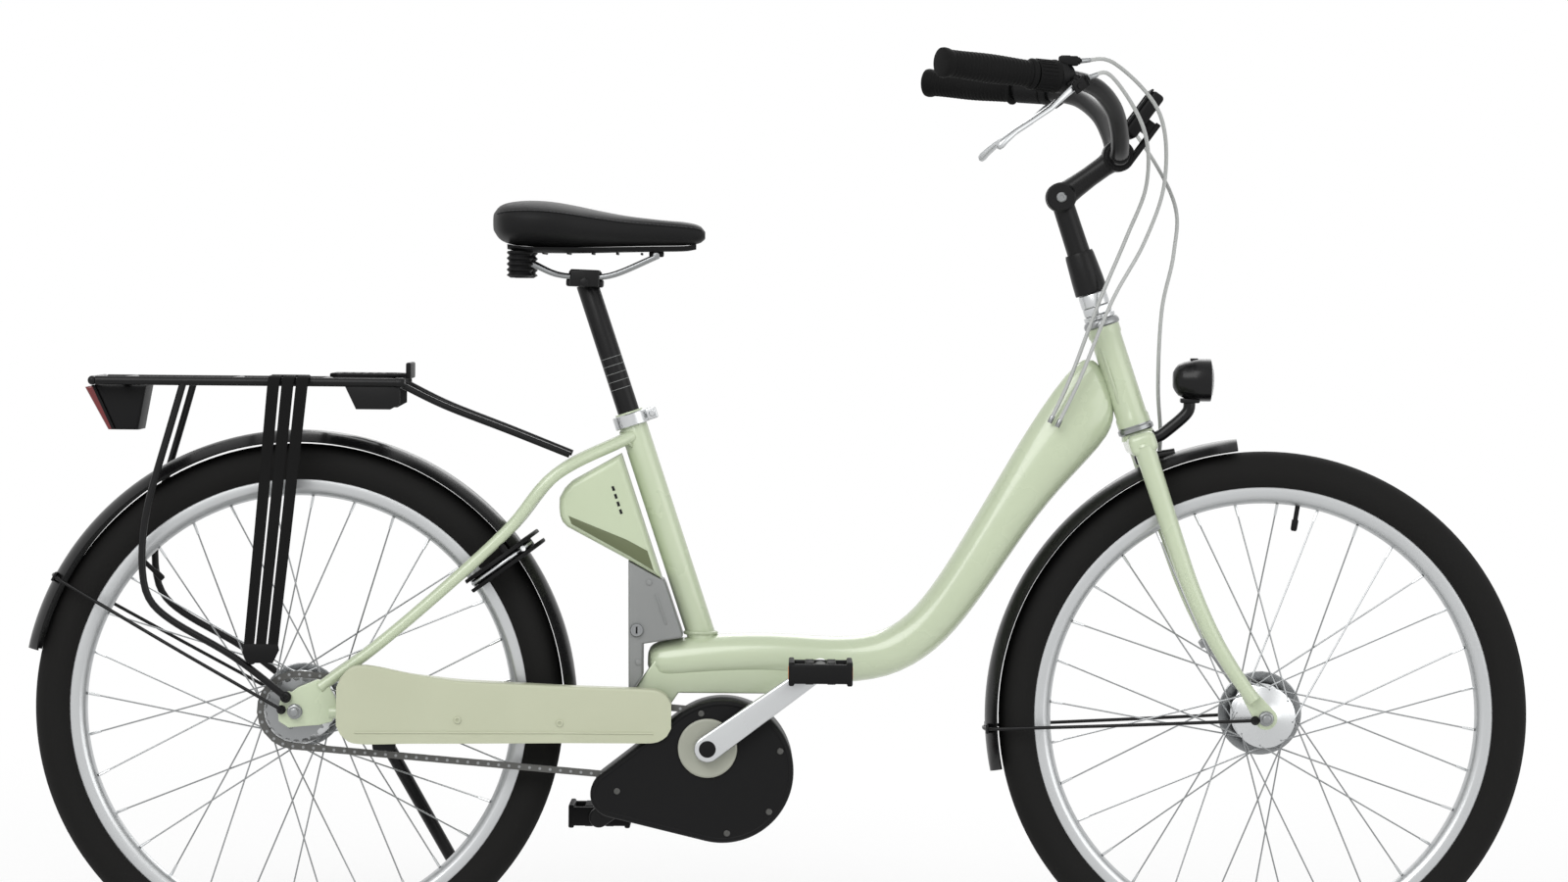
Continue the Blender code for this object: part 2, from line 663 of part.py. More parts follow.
def frame_mesh():
    head_bore = rod(
        steer(HEAD_BOTTOM - 0.01),
        steer(HEAD_TOP + 0.01),
        (STEERER_RADIUS + 0.003) / math.cos(math.pi / 12),
        sides=12,
    )
    post_bore = (POST_RADIUS + FIT) / math.cos(math.pi / 12)
    seat_solid = rod(seat(-SEAT_TUBE_BOTTOM), seat(0), SEAT_TUBE_RADIUS, sides=12)
    seat_bore = rod(seat(-POST_INSERT - 0.10), seat(0.01), post_bore, sides=12)
    bridges = []
    for turn, radius, reach in ((math.radians(41.0), 0.006, 0.054), (math.radians(-2.0), 0.007, 0.043)):
        away = MUDGUARD_RADIUS + CLEAR + radius
        at = REAR_AXLE + Vector((away * math.cos(turn), 0.0, away * math.sin(turn)))
        bridges.append(rod(at - Y_AXIS * reach, at + Y_AXIS * reach, radius, sides=8))
    parts = [seat_solid]
    bracket = plate(
        [
            (0.405, 0.300),
            (0.425, 0.285),
            (0.470, 0.352),
            (0.620, 0.352),
            (0.632, 0.366),
            (0.628, 0.392),
            (0.440, 0.392),
            (0.405, 0.340),
        ],
        -BRACKET_HALF,
        BRACKET_HALF,
    )
    parts.append(bracket)
    for side in (-1, 1):
        flip = Matrix.Diagonal((1, side, 1))
        drop_y = side * DROPOUT_Y
        ear = [
            (-0.020, -0.012),
            (-0.020, 0.014),
            (0.004, 0.030),
            (0.034, 0.040),
            (0.052, 0.006),
            (0.046, -0.012),
            (0.012, -0.018),
            (-0.008, -0.020),
        ]
        ear = [(REAR_AXLE.x + x, REAR_AXLE.z + z) for x, z in ear]
        half = DROPOUT_WALL / 2
        parts.append(plate(ear, drop_y - half, drop_y + half))
        stay = [
            STAY_FRONT,
            (0.385, 0.041, 0.317),
            STAY_WHEEL,
            (0.20, 0.055, 0.320),
            (0.11, 0.0705, 0.324),
            (0.038, 0.0705, AXLE_HEIGHT),
        ]
        parts.append(pipe([flip @ Vector(p) for p in smooth_path(stay, 8)], STAY_RADIUS, 1))
        lug = rod((0.418, side * 0.020, 0.318), (0.446, side * 0.0455, 0.318), 0.014, sides=8)
        parts.append(lug)
        upper = [
            (0.026, 0.0705, 0.355),
            (0.10, 0.064, 0.410),
            SEAT_STAY_LOW,
            SEAT_STAY_HIGH,
            SEAT_STAY_KNEE,
            SEAT_STAY_TOP,
        ]
        parts.append(pipe([flip @ Vector(p) for p in smooth_path(upper, 8)], SEAT_STAY_RADIUS, 1))
    parts += bridges
    tube = main_tube()
    shell = combine(tube, [rod(steer(HEAD_BOTTOM), steer(HEAD_TOP), HEAD_RADIUS, sides=12)] + parts)
    axle_bore = (AXLE_RADIUS + FIT) / math.cos(math.pi / 12)
    axle_holes = rod(REAR_AXLE - Y_AXIS * 0.09, REAR_AXLE + Y_AXIS * 0.09, axle_bore, sides=12)
    bored = combine(shell, [head_bore, seat_bore, axle_holes], "DIFFERENCE")
    cup_bore = (STEERER_RADIUS + FIT) / math.cos(math.pi / 12)
    cup = ring(cup_bore, CUP_FLANGE, -CUP_HEIGHT, 0.001, steer(HEAD_BOTTOM), AXIS_UP, 12)
    return combine(bored, [cup])


place("frame", frame_mesh(), "frame", PAINT)


# Fork
def fork_mesh():
    steerer = rod(steer(CROWN_HEIGHT), steer(HEAD_TOP + CUP_HEIGHT + NUT_HEIGHT), STEERER_RADIUS, sides=12)
    crown = block(
        (0, 0, 0),
        (0.034, BLADE_SPREAD * 2 + BLADE_RADIUS * 1.7, CROWN_DEPTH),
        Matrix.Translation(steer(CROWN_HEIGHT + CROWN_DEPTH / 2)) @ Matrix.Rotation(-HEAD_LEAN, 4, "Y"),
        0.006,
        2,
    )
    parts = [steerer]
    for side in (-1, 1):
        heights = (
            (CROWN_HEIGHT + 0.008, 0.0),
            (0.30, 0.0),
            (0.24, 0.0),
            (0.18, 0.0015),
            (0.12, 0.008),
            (0.07, 0.019),
            (0.028, 0.031),
        )
        run = [steer(h, a, side * BLADE_SPREAD) for h, a in heights]
        parts.append(pipe(smooth_path(run, 8), BLADE_RADIUS, 2, BLADE_TIP_RADIUS))
        half = DROPOUT_WALL / 2
        y = side * (FRONT_INNER_WIDTH / 2 + half)
        cx, cz = FRONT_AXLE.x, FRONT_AXLE.z
        top = steer(0.052, 0.024)
        ear = arc((cx, cz), 0.014, -150, 30, 6)
        ear += [(top.x + 0.006, top.z + 0.002), (top.x - 0.006, top.z - 0.002)]
        parts.append(plate(ear, y - half, y + half))
    solid = combine(crown, parts)
    holes = rod(
        FRONT_AXLE - Y_AXIS * 0.07,
        FRONT_AXLE + Y_AXIS * 0.07,
        (AXLE_RADIUS + FIT) / math.cos(math.pi / 12),
        sides=12,
    )
    quill_bore = rod(
        steer(HEAD_TOP - 0.09),
        steer(HEAD_TOP + 0.10),
        (STEM_RADIUS * 0.86 + FIT) / math.cos(math.pi / 12),
        sides=12,
    )
    return combine(solid, [holes, quill_bore], "DIFFERENCE")


place("fork", fork_mesh(), "steering", PAINT)


# Head set
place(
    "headset_upper_cup",
    turned(
        [
            ((STEERER_RADIUS + FIT) / math.cos(math.pi / 12), CLEAR),
            (CUP_FLANGE, CLEAR),
            (CUP_FLANGE * 0.94, CUP_HEIGHT),
            ((STEERER_RADIUS + FIT) / math.cos(math.pi / 12), CUP_HEIGHT),
        ],
        steer(HEAD_TOP),
        AXIS_UP,
        12,
    ),
    "frame",
    STEEL,
)
NUT_FOOT = HEAD_TOP + CUP_HEIGHT + CLEAR * 2
NUT_TOP = NUT_FOOT + NUT_HEIGHT
place(
    "headset_lock_nut",
    turned(
        [
            ((STEERER_RADIUS + FIT) / math.cos(math.pi / 12), 0.0),
            (0.0195, 0.0),
            (0.0195, NUT_HEIGHT * 0.45),
            (0.0175, NUT_HEIGHT * 0.5),
            (0.0175, NUT_HEIGHT),
            ((STEERER_RADIUS + FIT) / math.cos(math.pi / 12), NUT_HEIGHT),
        ],
        steer(NUT_FOOT),
        AXIS_UP,
        12,
    ),
    "steering",
    SILVER,
)

# Stem: a quill in the steerer, a clamp collar, a pivot knuckle and an arm to the bar clamp
STEM_FOOT = NUT_TOP + CLEAR


def stem_mesh():
    pivot = steer(STEM_PIVOT)
    quill = rod(steer(HEAD_TOP - 0.07), steer(STEM_FOOT + 0.02), STEM_RADIUS * 0.86, sides=12)
    shaft = rod(steer(STEM_FOOT), steer(STEM_PIVOT - 0.004), 0.0150, 0.0135, sides=12)
    collar = rod(steer(STEM_FOOT), steer(STEM_FOOT + STEM_BASE_HEIGHT), 0.0205, 0.0180, sides=12)
    knuckle = rod(pivot - Y_AXIS * 0.021, pivot + Y_AXIS * 0.021, 0.0185, sides=12)
    reach = BAR_CLAMP - pivot
    arm = loft(
        [
            (pivot, reach, 0.0160, 0.0180),
            (pivot + reach * 0.35, reach, 0.0130, 0.0160),
            (pivot + reach * 0.70, reach, 0.0125, 0.0160),
            (pivot + reach * 0.92, reach, 0.0150, 0.0190),
        ],
        12,
    )
    clamp = rod(BAR_CLAMP - Y_AXIS * 0.022, BAR_CLAMP + Y_AXIS * 0.022, 0.0195, sides=16)
    solid = combine(shaft, [quill, collar, knuckle, arm, clamp])
    bore = (BAR_CLAMP_RADIUS + CLEAR) / math.cos(math.pi / 16)
    hole = rod(BAR_CLAMP - Y_AXIS * 0.05, BAR_CLAMP + Y_AXIS * 0.05, bore, sides=16)
    return combine(solid, [hole], "DIFFERENCE")


place("stem", stem_mesh(), "steering", BLACK_PAINT)

# Handlebar, swept up and back to the grips
BAR_BENDS = [
    BAR_CLAMP + Vector(offset)
    for offset in (
        (0.0, 0.030, 0.0),
        (-0.001, 0.062, 0.006),
        (-0.005, 0.105, 0.030),
        (-0.016, 0.150, 0.056),
        (-0.040, 0.200, 0.078),
        (-0.078, 0.240, 0.087),
        (-0.118, 0.265, 0.090),
    )
]
GRIP_WAY = Vector((-0.112, 0.062, 0.011)).normalized()
GRIP_START = BAR_BENDS[-1]
BAR_END = GRIP_START + GRIP_WAY * (GRIP_LENGTH - 0.006)


def bar_mesh():
    left = smooth_path(BAR_BENDS + [BAR_END], 12)
    right = [Vector((p.x, -p.y, p.z)) for p in reversed(left)]
    tube = pipe(right + left, BAR_RADIUS, 2)
    centre = rod(BAR_CLAMP - Y_AXIS * 0.034, BAR_CLAMP + Y_AXIS * 0.034, BAR_CLAMP_RADIUS, sides=16)
    return combine(centre, [tube])


place("handlebar", bar_mesh(), "steering", BLACK_PAINT)


def grip_mesh(side):
    way = Vector((GRIP_WAY.x, side * GRIP_WAY.y, GRIP_WAY.z))
    start = Vector((GRIP_START.x, side * GRIP_START.y, GRIP_START.z))
    bore = (BAR_RADIUS + FIT) / math.cos(math.pi / 14)
    profile = [
        (0.0, GRIP_LENGTH - 0.005),
        (bore, GRIP_LENGTH - 0.005),
        (bore, 0.0),
        (GRIP_RADIUS * 1.12, 0.0),
        (GRIP_RADIUS * 1.12, 0.004),
        (GRIP_RADIUS * 0.92, 0.010),
        (GRIP_RADIUS * 0.98, GRIP_LENGTH * 0.5),
        (GRIP_RADIUS * 1.02, GRIP_LENGTH - 0.012),
        (GRIP_RADIUS * 1.12, GRIP_LENGTH - 0.004),
        (GRIP_RADIUS * 1.0, GRIP_LENGTH),
        (0.0, GRIP_LENGTH),
    ]
    return turned(profile, start, way, 14)


for side, sign in (("left", 1), ("right", -1)):
    place("grip_" + side, grip_mesh(sign), "steering", RUBBER)

# Controls on the bar. They are made for the left side and mirrored for the right.
CLAMP_AT = BAR_BENDS[5]
CLAMP_WAY = (GRIP_START - CLAMP_AT).normalized()
CONTROL_BORE = (BAR_RADIUS + 0.0012) / math.cos(math.pi / 12)
LEVER_WAY = Vector((-0.0985, 0.0480, -0.0710)).normalized()
LEVER_LENGTH = 0.130
LEVER_AXIS = LEVER_WAY.cross(GRIP_WAY).normalized()
LEVER_PIN = 0.0026
LEVER_HUB = 0.0065
LEVER_THICK = 0.006
BRACKET_WIDTH = 0.010


def lever_frame():
    across = LEVER_AXIS.cross(LEVER_WAY)
    turn = Matrix((LEVER_WAY, across, LEVER_AXIS)).transposed().to_4x4()
    return Matrix.Translation(LEVER_PIVOTS["left"]) @ turn


def bracket_mesh():
    clamp = ring(
        CONTROL_BORE, 0.0165, -BRACKET_WIDTH / 2, BRACKET_WIDTH / 2, CLAMP_AT, CLAMP_WAY, 16
    )
    ears = block((-0.003, 0, 0), (0.022, 0.015, 0.015), None, 0.0015)
    slot = block((0.0062, 0, 0), (0.0275, 0.021, LEVER_THICK + 2 * FIT))
    pin = rod((0, 0, -0.006), (0, 0, 0.006), LEVER_PIN, sides=12)
    for mesh in (ears, slot, pin):
        mesh.transform(lever_frame())
    back = lever_frame() @ Vector((-0.0115, 0, 0))
    arm = rod(back, back.lerp(CLAMP_AT, 0.42), 0.0062, 0.0068, sides=8)
    return combine(combine(combine(clamp, [arm, ears]), [slot], "DIFFERENCE"), [pin])


def lever_mesh():
    hub = rod((0, 0, -LEVER_THICK / 2), (0, 0, LEVER_THICK / 2), LEVER_HUB, sides=12)
    stations = (
        (0.003, 0.000, 0.0042, 0.0029),
        (0.020, -0.001, 0.0042, 0.0036),
        (0.045, -0.004, 0.0034, 0.0055),
        (0.075, -0.003, 0.0034, 0.0060),
        (0.100, -0.002, 0.0036, 0.0062),
        (LEVER_LENGTH - 0.008, -0.005, 0.0046, 0.0062),
        (LEVER_LENGTH, -0.0065, 0.0026, 0.0036),
    )
    rings = []
    for along, shift, half_y, half_z in stations:
        points = []
        for i in range(8):
            turn = math.tau * (i + 0.5) / 8
            points.append(Vector((along, shift + half_y * math.cos(turn), half_z * math.sin(turn))))
        rings.append(points)
    hole = rod((0, 0, -0.01), (0, 0, 0.01), (LEVER_PIN + FIT) / math.cos(math.pi / 12), sides=12)
    mesh = combine(combine(skin(rings), [hub]), [hole], "DIFFERENCE")
    mesh.transform(lever_frame())
    return mesh


bracket = bracket_mesh()
lever = lever_mesh()
place("brake_lever_right", mirrored(lever), "lever_right", SILVER)
place("brake_bracket_left", bracket, "steering", BLACK_PLASTIC)
place("brake_lever_left", lever, "lever_left", SILVER)

HOUSING_START = BRACKET_WIDTH / 2 + 2 * CLEAR
HOUSING_WIDTH = 0.010
TWIST_WIDTH = 0.030
TWIST_START = HOUSING_START + HOUSING_WIDTH + 2 * CLEAR
SHIFTER_AT = Vector((CLAMP_AT.x, -CLAMP_AT.y, CLAMP_AT.z))
SHIFTER_WAY = Vector((CLAMP_WAY.x, -CLAMP_WAY.y, CLAMP_WAY.z))
body("shifter", SHIFTER_AT, "steering")
housing_mid = SHIFTER_AT + SHIFTER_WAY * (HOUSING_START + HOUSING_WIDTH / 2)
housing_end = HOUSING_START + HOUSING_WIDTH
housing = combine(
    ring(CONTROL_BORE, 0.0190, -BRACKET_WIDTH / 2, housing_end, SHIFTER_AT, SHIFTER_WAY, 12),
    [
        mirrored(bracket_mesh()),
        block(housing_mid + Vector((0.012, 0.0, 0.0195)), (0.026, 0.008, 0.012), None, 0.002),
    ],
)
place("brake_bracket_right", housing, "steering", BLACK_PLASTIC)
place(
    "shifter_twist_ring",
    turned(
        [
            (CONTROL_BORE, TWIST_START),
            (0.0205, TWIST_START),
            (0.0190, TWIST_START + 0.006),
            (0.0185, TWIST_START + TWIST_WIDTH),
            (CONTROL_BORE, TWIST_START + TWIST_WIDTH),
        ],
        SHIFTER_AT,
        SHIFTER_WAY,
        12,
    ),
    "shifter",
    RUBBER,
)

# Control pad with two buttons, left of the left brake bracket
PAD_START = HOUSING_START
PAD_WIDTH = 0.036
PAD_MID = CLAMP_AT + CLAMP_WAY * (PAD_START + PAD_WIDTH / 2)
PAD_LEAN = Vector((-0.35, -0.25, 1.0))
PAD_UP = (PAD_LEAN - CLAMP_WAY * PAD_LEAN.dot(CLAMP_WAY)).normalized()
PAD_TURN = Matrix((CLAMP_WAY, PAD_UP.cross(CLAMP_WAY), PAD_UP)).transposed().to_4x4()
PAD_FRAME = Matrix.Translation(PAD_MID) @ PAD_TURN
BUTTON_TRAVEL = 0.0012
BUTTON_SIZE = (0.020, 0.016, 0.0050)
PAD_DECK = 0.0245


def pad_mesh():
    shell = combine(
        ring(CONTROL_BORE, 0.0160, -PAD_WIDTH / 2, PAD_WIDTH / 2, (0, 0, 0), (1, 0, 0), 12),
        [block((0, 0, 0.0190), (PAD_WIDTH, 0.026, 0.0110), None, 0.002)],
    )
    well = block((0, 0, PAD_DECK), (BUTTON_SIZE[0] + 2 * FIT, BUTTON_SIZE[1] + 2 * FIT, 0.0090))
    mesh = combine(shell, [well], "DIFFERENCE")
    mesh.transform(PAD_FRAME)
    return mesh


place("control_pad", pad_mesh(), "steering", BLACK_PLASTIC)
button_mid = Vector((0, 0, PAD_DECK - 0.0045 + CLEAR + BUTTON_TRAVEL + BUTTON_SIZE[2] / 2))
body("button", PAD_FRAME @ button_mid, "steering")
key = block(button_mid, BUTTON_SIZE, None, 0.0010)
key.transform(PAD_FRAME)
place("mode_button", key, "button", GREY_PLASTIC)

# Display on two arms from the bar
DISPLAY_SLOPE = math.radians(54)
DISPLAY_ALONG = Vector((math.cos(DISPLAY_SLOPE), 0, math.sin(DISPLAY_SLOPE)))
DISPLAY_FACE = Vector((-math.sin(DISPLAY_SLOPE), 0, math.cos(DISPLAY_SLOPE)))
DISPLAY_SIZE = (0.064, 0.086, 0.020)
DISPLAY_MID = BAR_CLAMP + DISPLAY_ALONG * 0.058 + DISPLAY_FACE * 0.007
DISPLAY_TURN = Matrix((DISPLAY_ALONG, Y_AXIS, DISPLAY_FACE)).transposed().to_4x4()
arms = [block((0, 0, 0), DISPLAY_SIZE, Matrix.Translation(DISPLAY_MID) @ DISPLAY_TURN, 0.004)]
mount_bore = (BAR_CLAMP_RADIUS + CLEAR) / math.cos(math.pi / 12)
for sign in (-1, 1):
    y = Y_AXIS * (sign * 0.0275)
    arms.append(ring(mount_bore, 0.0165, -0.0045, 0.0045, BAR_CLAMP + y, Y_AXIS, 12))
    low = BAR_CLAMP + y - DISPLAY_FACE * 0.0166
    high = low + DISPLAY_ALONG * 0.060
    arms.append(pipe([low, high], 0.0034, 1))
plate_mid = BAR_CLAMP - DISPLAY_FACE * 0.0085 + DISPLAY_ALONG * 0.050
arms.append(
    block((0, 0, 0), (0.016, 0.059, 0.0134), Matrix.Translation(plate_mid) @ DISPLAY_TURN)
)
place("display", combine(arms[0], arms[1:]), "steering", BLACK_PLASTIC)

# Head light on a bracket from the fork crown
crown_front = steer(CROWN_HEIGHT + CROWN_DEPTH / 2, 0.017 + CLEAR)
LIGHT_BACK = crown_front + Vector((0.0236, 0.0, 0.0724))
LIGHT_LENGTH = 0.047
LIGHT_RADIUS = 0.0265
LIGHT_ARM = 0.0075
light_profile = [
    (0.0, 0.0),
    (0.011, 0.0),
    (0.019, 0.006),
    (0.0235, 0.018),
    (LIGHT_RADIUS, 0.032),
    (LIGHT_RADIUS, LIGHT_LENGTH),
    (LIGHT_RADIUS - 0.0022, LIGHT_LENGTH),
    (LIGHT_RADIUS - 0.0030, 0.034),
    (0.012, 0.022),
    (0.0, 0.020),
]
place(
    "headlight_lens",
    turned(
        [
            (0.0, LIGHT_LENGTH - 0.006),
            (0.0235, LIGHT_LENGTH - 0.006),
            (0.0237, LIGHT_LENGTH),
            (0.014, LIGHT_LENGTH + 0.003),
            (0.0, LIGHT_LENGTH + 0.0045),
        ],
        LIGHT_BACK,
        (1, 0, 0),
        16,
    ),
    "steering",
    ("lens", (0.85, 0.88, 0.9), 0.1, 0.0),
)
light_seat = LIGHT_BACK + Vector((0.021, 0, -0.0255))
bracket_run = [
    crown_front + AXIS_AHEAD * 0.0022,
    crown_front + AXIS_AHEAD * 0.014 + AXIS_UP * 0.002,
    light_seat + Vector((-0.004, 0, -0.016)),
    light_seat + Vector((0.0, 0, -0.0004)),
]
light_pad = Matrix.Translation(crown_front + AXIS_AHEAD * 0.0015) @ Matrix.Rotation(-HEAD_LEAN, 4, "Y")
light_shell = combine(
    turned(light_profile, LIGHT_BACK, (1, 0, 0), 16),
    [
        block((0, 0, 0), (0.0030, 0.022, 0.020), light_pad),
        pipe(smooth_path(bracket_run, 6), LIGHT_ARM, 1),
        block(light_seat, (0.024, 0.020, 0.0060)),
    ],
)
place("headlight_housing", light_shell, "steering", BLACK_PLASTIC)

# Hub brakes on the left, each held by an arm and a strap round the nearest tube
FRONT_STRAP = steer(0.105, 0.0105, BLADE_SPREAD)
REAR_STRAP = Vector((0.130, 0.0676, 0.3232))
front_strap = ring(0.0122, 0.0152, -0.005, 0.005, FRONT_STRAP, steer(0.12, 0.008) - steer(0.09, 0.0139), 12)
front_arm = steer(0.105, 0.0025)
place(
    "front_brake",
    hub_brake(FRONT_AXLE, FRONT_INNER_WIDTH, FRONT_FLANGES[1], front_arm, [front_strap], 0.0054),
    "steering",
    STEEL,
)
rear_strap = ring(0.0106, 0.0136, -0.005, 0.005, REAR_STRAP, Vector((1.0, -0.17, -0.045)), 12)
rear_arm = Vector((0.130, 0.0, 0.3232 - 0.0103))
place(
    "rear_brake",
    hub_brake(REAR_AXLE, REAR_INNER_WIDTH, REAR_FLANGES[1], rear_arm, [rear_strap], 0.0107),
    "frame",
    STEEL,
)


# Drive train
def crank_mesh(side, tip):
    """One crank arm with its pedal axle screwed into the far end."""
    near = side * CRANK_INNER_Y
    far = side * (CRANK_INNER_Y + CRANK_THICKNESS)
    outline = drop(BB, 0.0165, tip, 0.0125, 9, 6)
    arm = plate(outline, min(near, far), max(near, far), 0.002)
    bore = rod(side_point(BB, near * 0.9), side_point(BB, far * 1.1), CRANK_BORE, sides=12)
    arm = combine(arm, [bore], "DIFFERENCE")
    axle_end = far + side * (PEDAL_GAP + PEDAL_WIDTH * 0.82)
    shoulder = side_point(tip, far + side * (PEDAL_GAP - 2 * CLEAR))
    parts = [
        rod(side_point(tip, near + side * 0.003), side_point(tip, axle_end), PEDAL_AXLE_RADIUS, sides=12),
        rod(side_point(tip, far - side * 0.001), shoulder, PEDAL_AXLE_RADIUS * 1.7, sides=12),
    ]
    return combine(arm, parts)


def pedal_mesh(side, tip):
    inner = side * (CRANK_INNER_Y + CRANK_THICKNESS + PEDAL_GAP)
    mid = side_point(tip, inner + side * PEDAL_WIDTH / 2)
    frame = block(mid, (PEDAL_LENGTH, PEDAL_WIDTH, PEDAL_HEIGHT), None, 0.003)
    cuts = []
    for sign in (-1, 1):
        window = (PEDAL_LENGTH * 0.28, PEDAL_WIDTH * 0.72, PEDAL_HEIGHT * 2)
        cuts.append(block(mid + Vector((sign * PEDAL_LENGTH * 0.28, 0, 0)), window))
    cuts.append(
        rod(
            side_point(tip, inner - side * 0.01),
            side_point(tip, inner + side * PEDAL_WIDTH * 0.86),
            (PEDAL_AXLE_RADIUS + FIT) / math.cos(math.pi / 12),
            sides=12,
        )
    )
    return combine(frame, cuts, "DIFFERENCE")


CRANK_BORE = (CRANK_AXLE_RADIUS + CLEAR) / math.cos(math.pi / 12)
for label, side, look in (("right", -1, SILVER), ("left", 1, BLACK_PAINT)):
    tip = CRANK_TIP[label]
    place("crank_" + label, crank_mesh(side, tip), "crank", look)
    place("pedal_" + label, pedal_mesh(side, tip), "pedal_" + label, BLACK_PLASTIC)
axle_end = CRANK_INNER_Y + CRANK_THICKNESS
drive_axle = rod(side_point(BB, -axle_end), side_point(BB, axle_end), CRANK_AXLE_RADIUS, sides=12)
drive_wheel = sprocket(BB, DRIVE_TEETH, CRANK_AXLE_RADIUS * 0.6)
place("crank_axle_and_sprocket", combine(drive_wheel, [drive_axle]), "crank", STEEL)

CHAIN_RADIUS = CHAIN_PITCH / 2 / math.sin(math.pi / DRIVE_TEETH)
CHAIN_FALL = math.degrees(math.atan2(BB.z - REAR_AXLE.z, BB.x - REAR_AXLE.x))


def chain_outline(grow):
    radius = CHAIN_RADIUS + grow
    back = arc((REAR_AXLE.x, REAR_AXLE.z), radius, 90 + CHAIN_FALL, 270 + CHAIN_FALL, 14)
    front = arc((BB.x, BB.z), radius, -90 + CHAIN_FALL, 90 + CHAIN_FALL, 14)
    return back + front


chain = plate(chain_outline(CHAIN_HEIGHT / 2), CHAIN_Y - CHAIN_WIDTH / 2, CHAIN_Y + CHAIN_WIDTH / 2)
chain_hole = plate(chain_outline(-CHAIN_HEIGHT / 2), CHAIN_Y - CHAIN_WIDTH, CHAIN_Y + CHAIN_WIDTH)
place("chain", combine(chain, [chain_hole], "DIFFERENCE"), "frame", STEEL)

# Chain guard: an open L-shaped cover over the upper run, with two pegs to the chain stay
GUARD_WALL = 0.002
GUARD_INBOARD = -0.042
GUARD_STATIONS = (
    (0.052, 0.304, 0.368, -0.0920, -0.0820),
    (0.060, 0.294, 0.382, -0.0920, -0.0820),
    (0.078, 0.290, 0.388, -0.0915, -0.0800),
    (0.100, 0.290, 0.386, -0.0900, -0.0780),
    (0.140, 0.291, 0.377, -0.0860, -0.0740),
    (0.200, 0.291, 0.368, -0.0800, -0.0420),
    (0.330, 0.292, 0.362, -0.0692, -0.0420),
    (0.445, 0.2925, 0.359, -0.0692, -0.0420),
    (0.462, 0.300, 0.352, -0.0692, -0.0420),
)


def chain_guard_mesh():
    outlines = []
    for x, low, high, out, inboard in GUARD_STATIONS:
        outlines.append(
            [
                Vector((x, out, low)),
                Vector((x, out, high)),
                Vector((x, inboard, high)),
                Vector((x, inboard, high - GUARD_WALL)),
                Vector((x, out + GUARD_WALL, high - GUARD_WALL)),
                Vector((x, out + GUARD_WALL, low)),
            ]
        )
    pegs = [
        rod((0.200, -0.0792, 0.320), (0.200, -0.0655, 0.320), 0.005, sides=8),
        rod((0.325, -0.0690, 0.3165), (0.325, -0.0526, 0.3165), 0.005, sides=8),
    ]
    return combine(skin(outlines), pegs)


place("chain_guard", chain_guard_mesh(), "frame", GUARD)

# Motor under the frame's bracket, with a hollow drop-shaped cover over the drive sprocket
COVER_INNER_Y = MOTOR_RIGHT_Y - CLEAR
CAP_RADIUS = 0.030


def motor_mesh():
    housing = plate(
        drop(MOTOR_CENTRE, MOTOR_RADIUS, MOTOR_TIP, MOTOR_TIP_RADIUS, 18, 5),
        MOTOR_RIGHT_Y,
        MOTOR_LEFT_Y,
        0.004,
    )
    boss = rod(side_point(BB, MOTOR_LEFT_Y - 0.002), side_point(BB, CRANK_INNER_Y - 0.004), 0.024, sides=12)
    cuts = [rod(side_point(BB, -0.06), side_point(BB, 0.09), CRANK_BORE, sides=12)]
    socket = [(0.400, 0.300), (0.4245, 0.2835), (0.472, 0.3517)]
    socket += [(0.632, 0.3517), (0.632, 0.400), (0.400, 0.400)]
    cuts.append(plate(socket, -BRACKET_HALF - CLEAR, BRACKET_HALF + CLEAR))
    for side in (-1, 1):
        cuts.append(rod((0.405, side * 0.013, 0.318), (0.470, side * 0.052, 0.318), 0.0185, sides=8))
        cuts.append(rod((0.380, side * 0.041, 0.3175), (0.462, side * 0.036, 0.318), 0.0115, sides=8))
    return combine(combine(housing, [boss]), cuts, "DIFFERENCE")


def motor_cover_mesh():
    """The cover: hollow, with a cap round the crank axle and the chain's two ways out at the back."""
    shape = (MOTOR_CENTRE, MOTOR_RADIUS, MOTOR_TIP, MOTOR_TIP_RADIUS, 18, 5)
    shell = plate(drop(*shape, 0.001), COVER_OUTER_Y, COVER_INNER_Y, 0.003)
    inside = plate(drop(*shape, -COVER_WALL), COVER_OUTER_Y + COVER_WALL, COVER_INNER_Y + 0.01)
    cap_end = side_point(BB, COVER_OUTER_Y - 0.0035)
    cap = rod(cap_end, side_point(BB, COVER_OUTER_Y + 0.001), CAP_RADIUS, sides=16)
    ways = []
    for sign in (-1, 1):
        run = sign * CHAIN_RADIUS
        middle = REAR_AXLE.lerp(BB, 0.84) + Vector((0, CHAIN_Y + 0.005, run))
        turn = Matrix.Translation(middle) @ Matrix.Rotation(math.radians(-CHAIN_FALL), 4, "Y")
        ways.append(block((0, 0, 0), (0.19, 0.024, 0.016), turn))
    ways.append(inside)
    ways.append(rod((0.405, -0.013, 0.318), (0.470, -0.052, 0.318), 0.0185, sides=8))
    ways.append(rod(side_point(BB, -0.08), side_point(BB, -0.03), CRANK_BORE, sides=12))
    return combine(combine(shell, [cap]), ways, "DIFFERENCE")


place("motor_housing", motor_mesh(), "frame", MOTOR)
place("motor_side_cover", motor_cover_mesh(), "frame", BLACK_PLASTIC)

# Battery behind the seat tube, which comes out sideways to the left, and its dock with a key lock
BATTERY_HALF = 0.040
DOCK_HALF = 0.036


def seat_outline(points):
    flat = [seat(h, a) for h, a in points]
    return [(p.x, p.z) for p in flat]


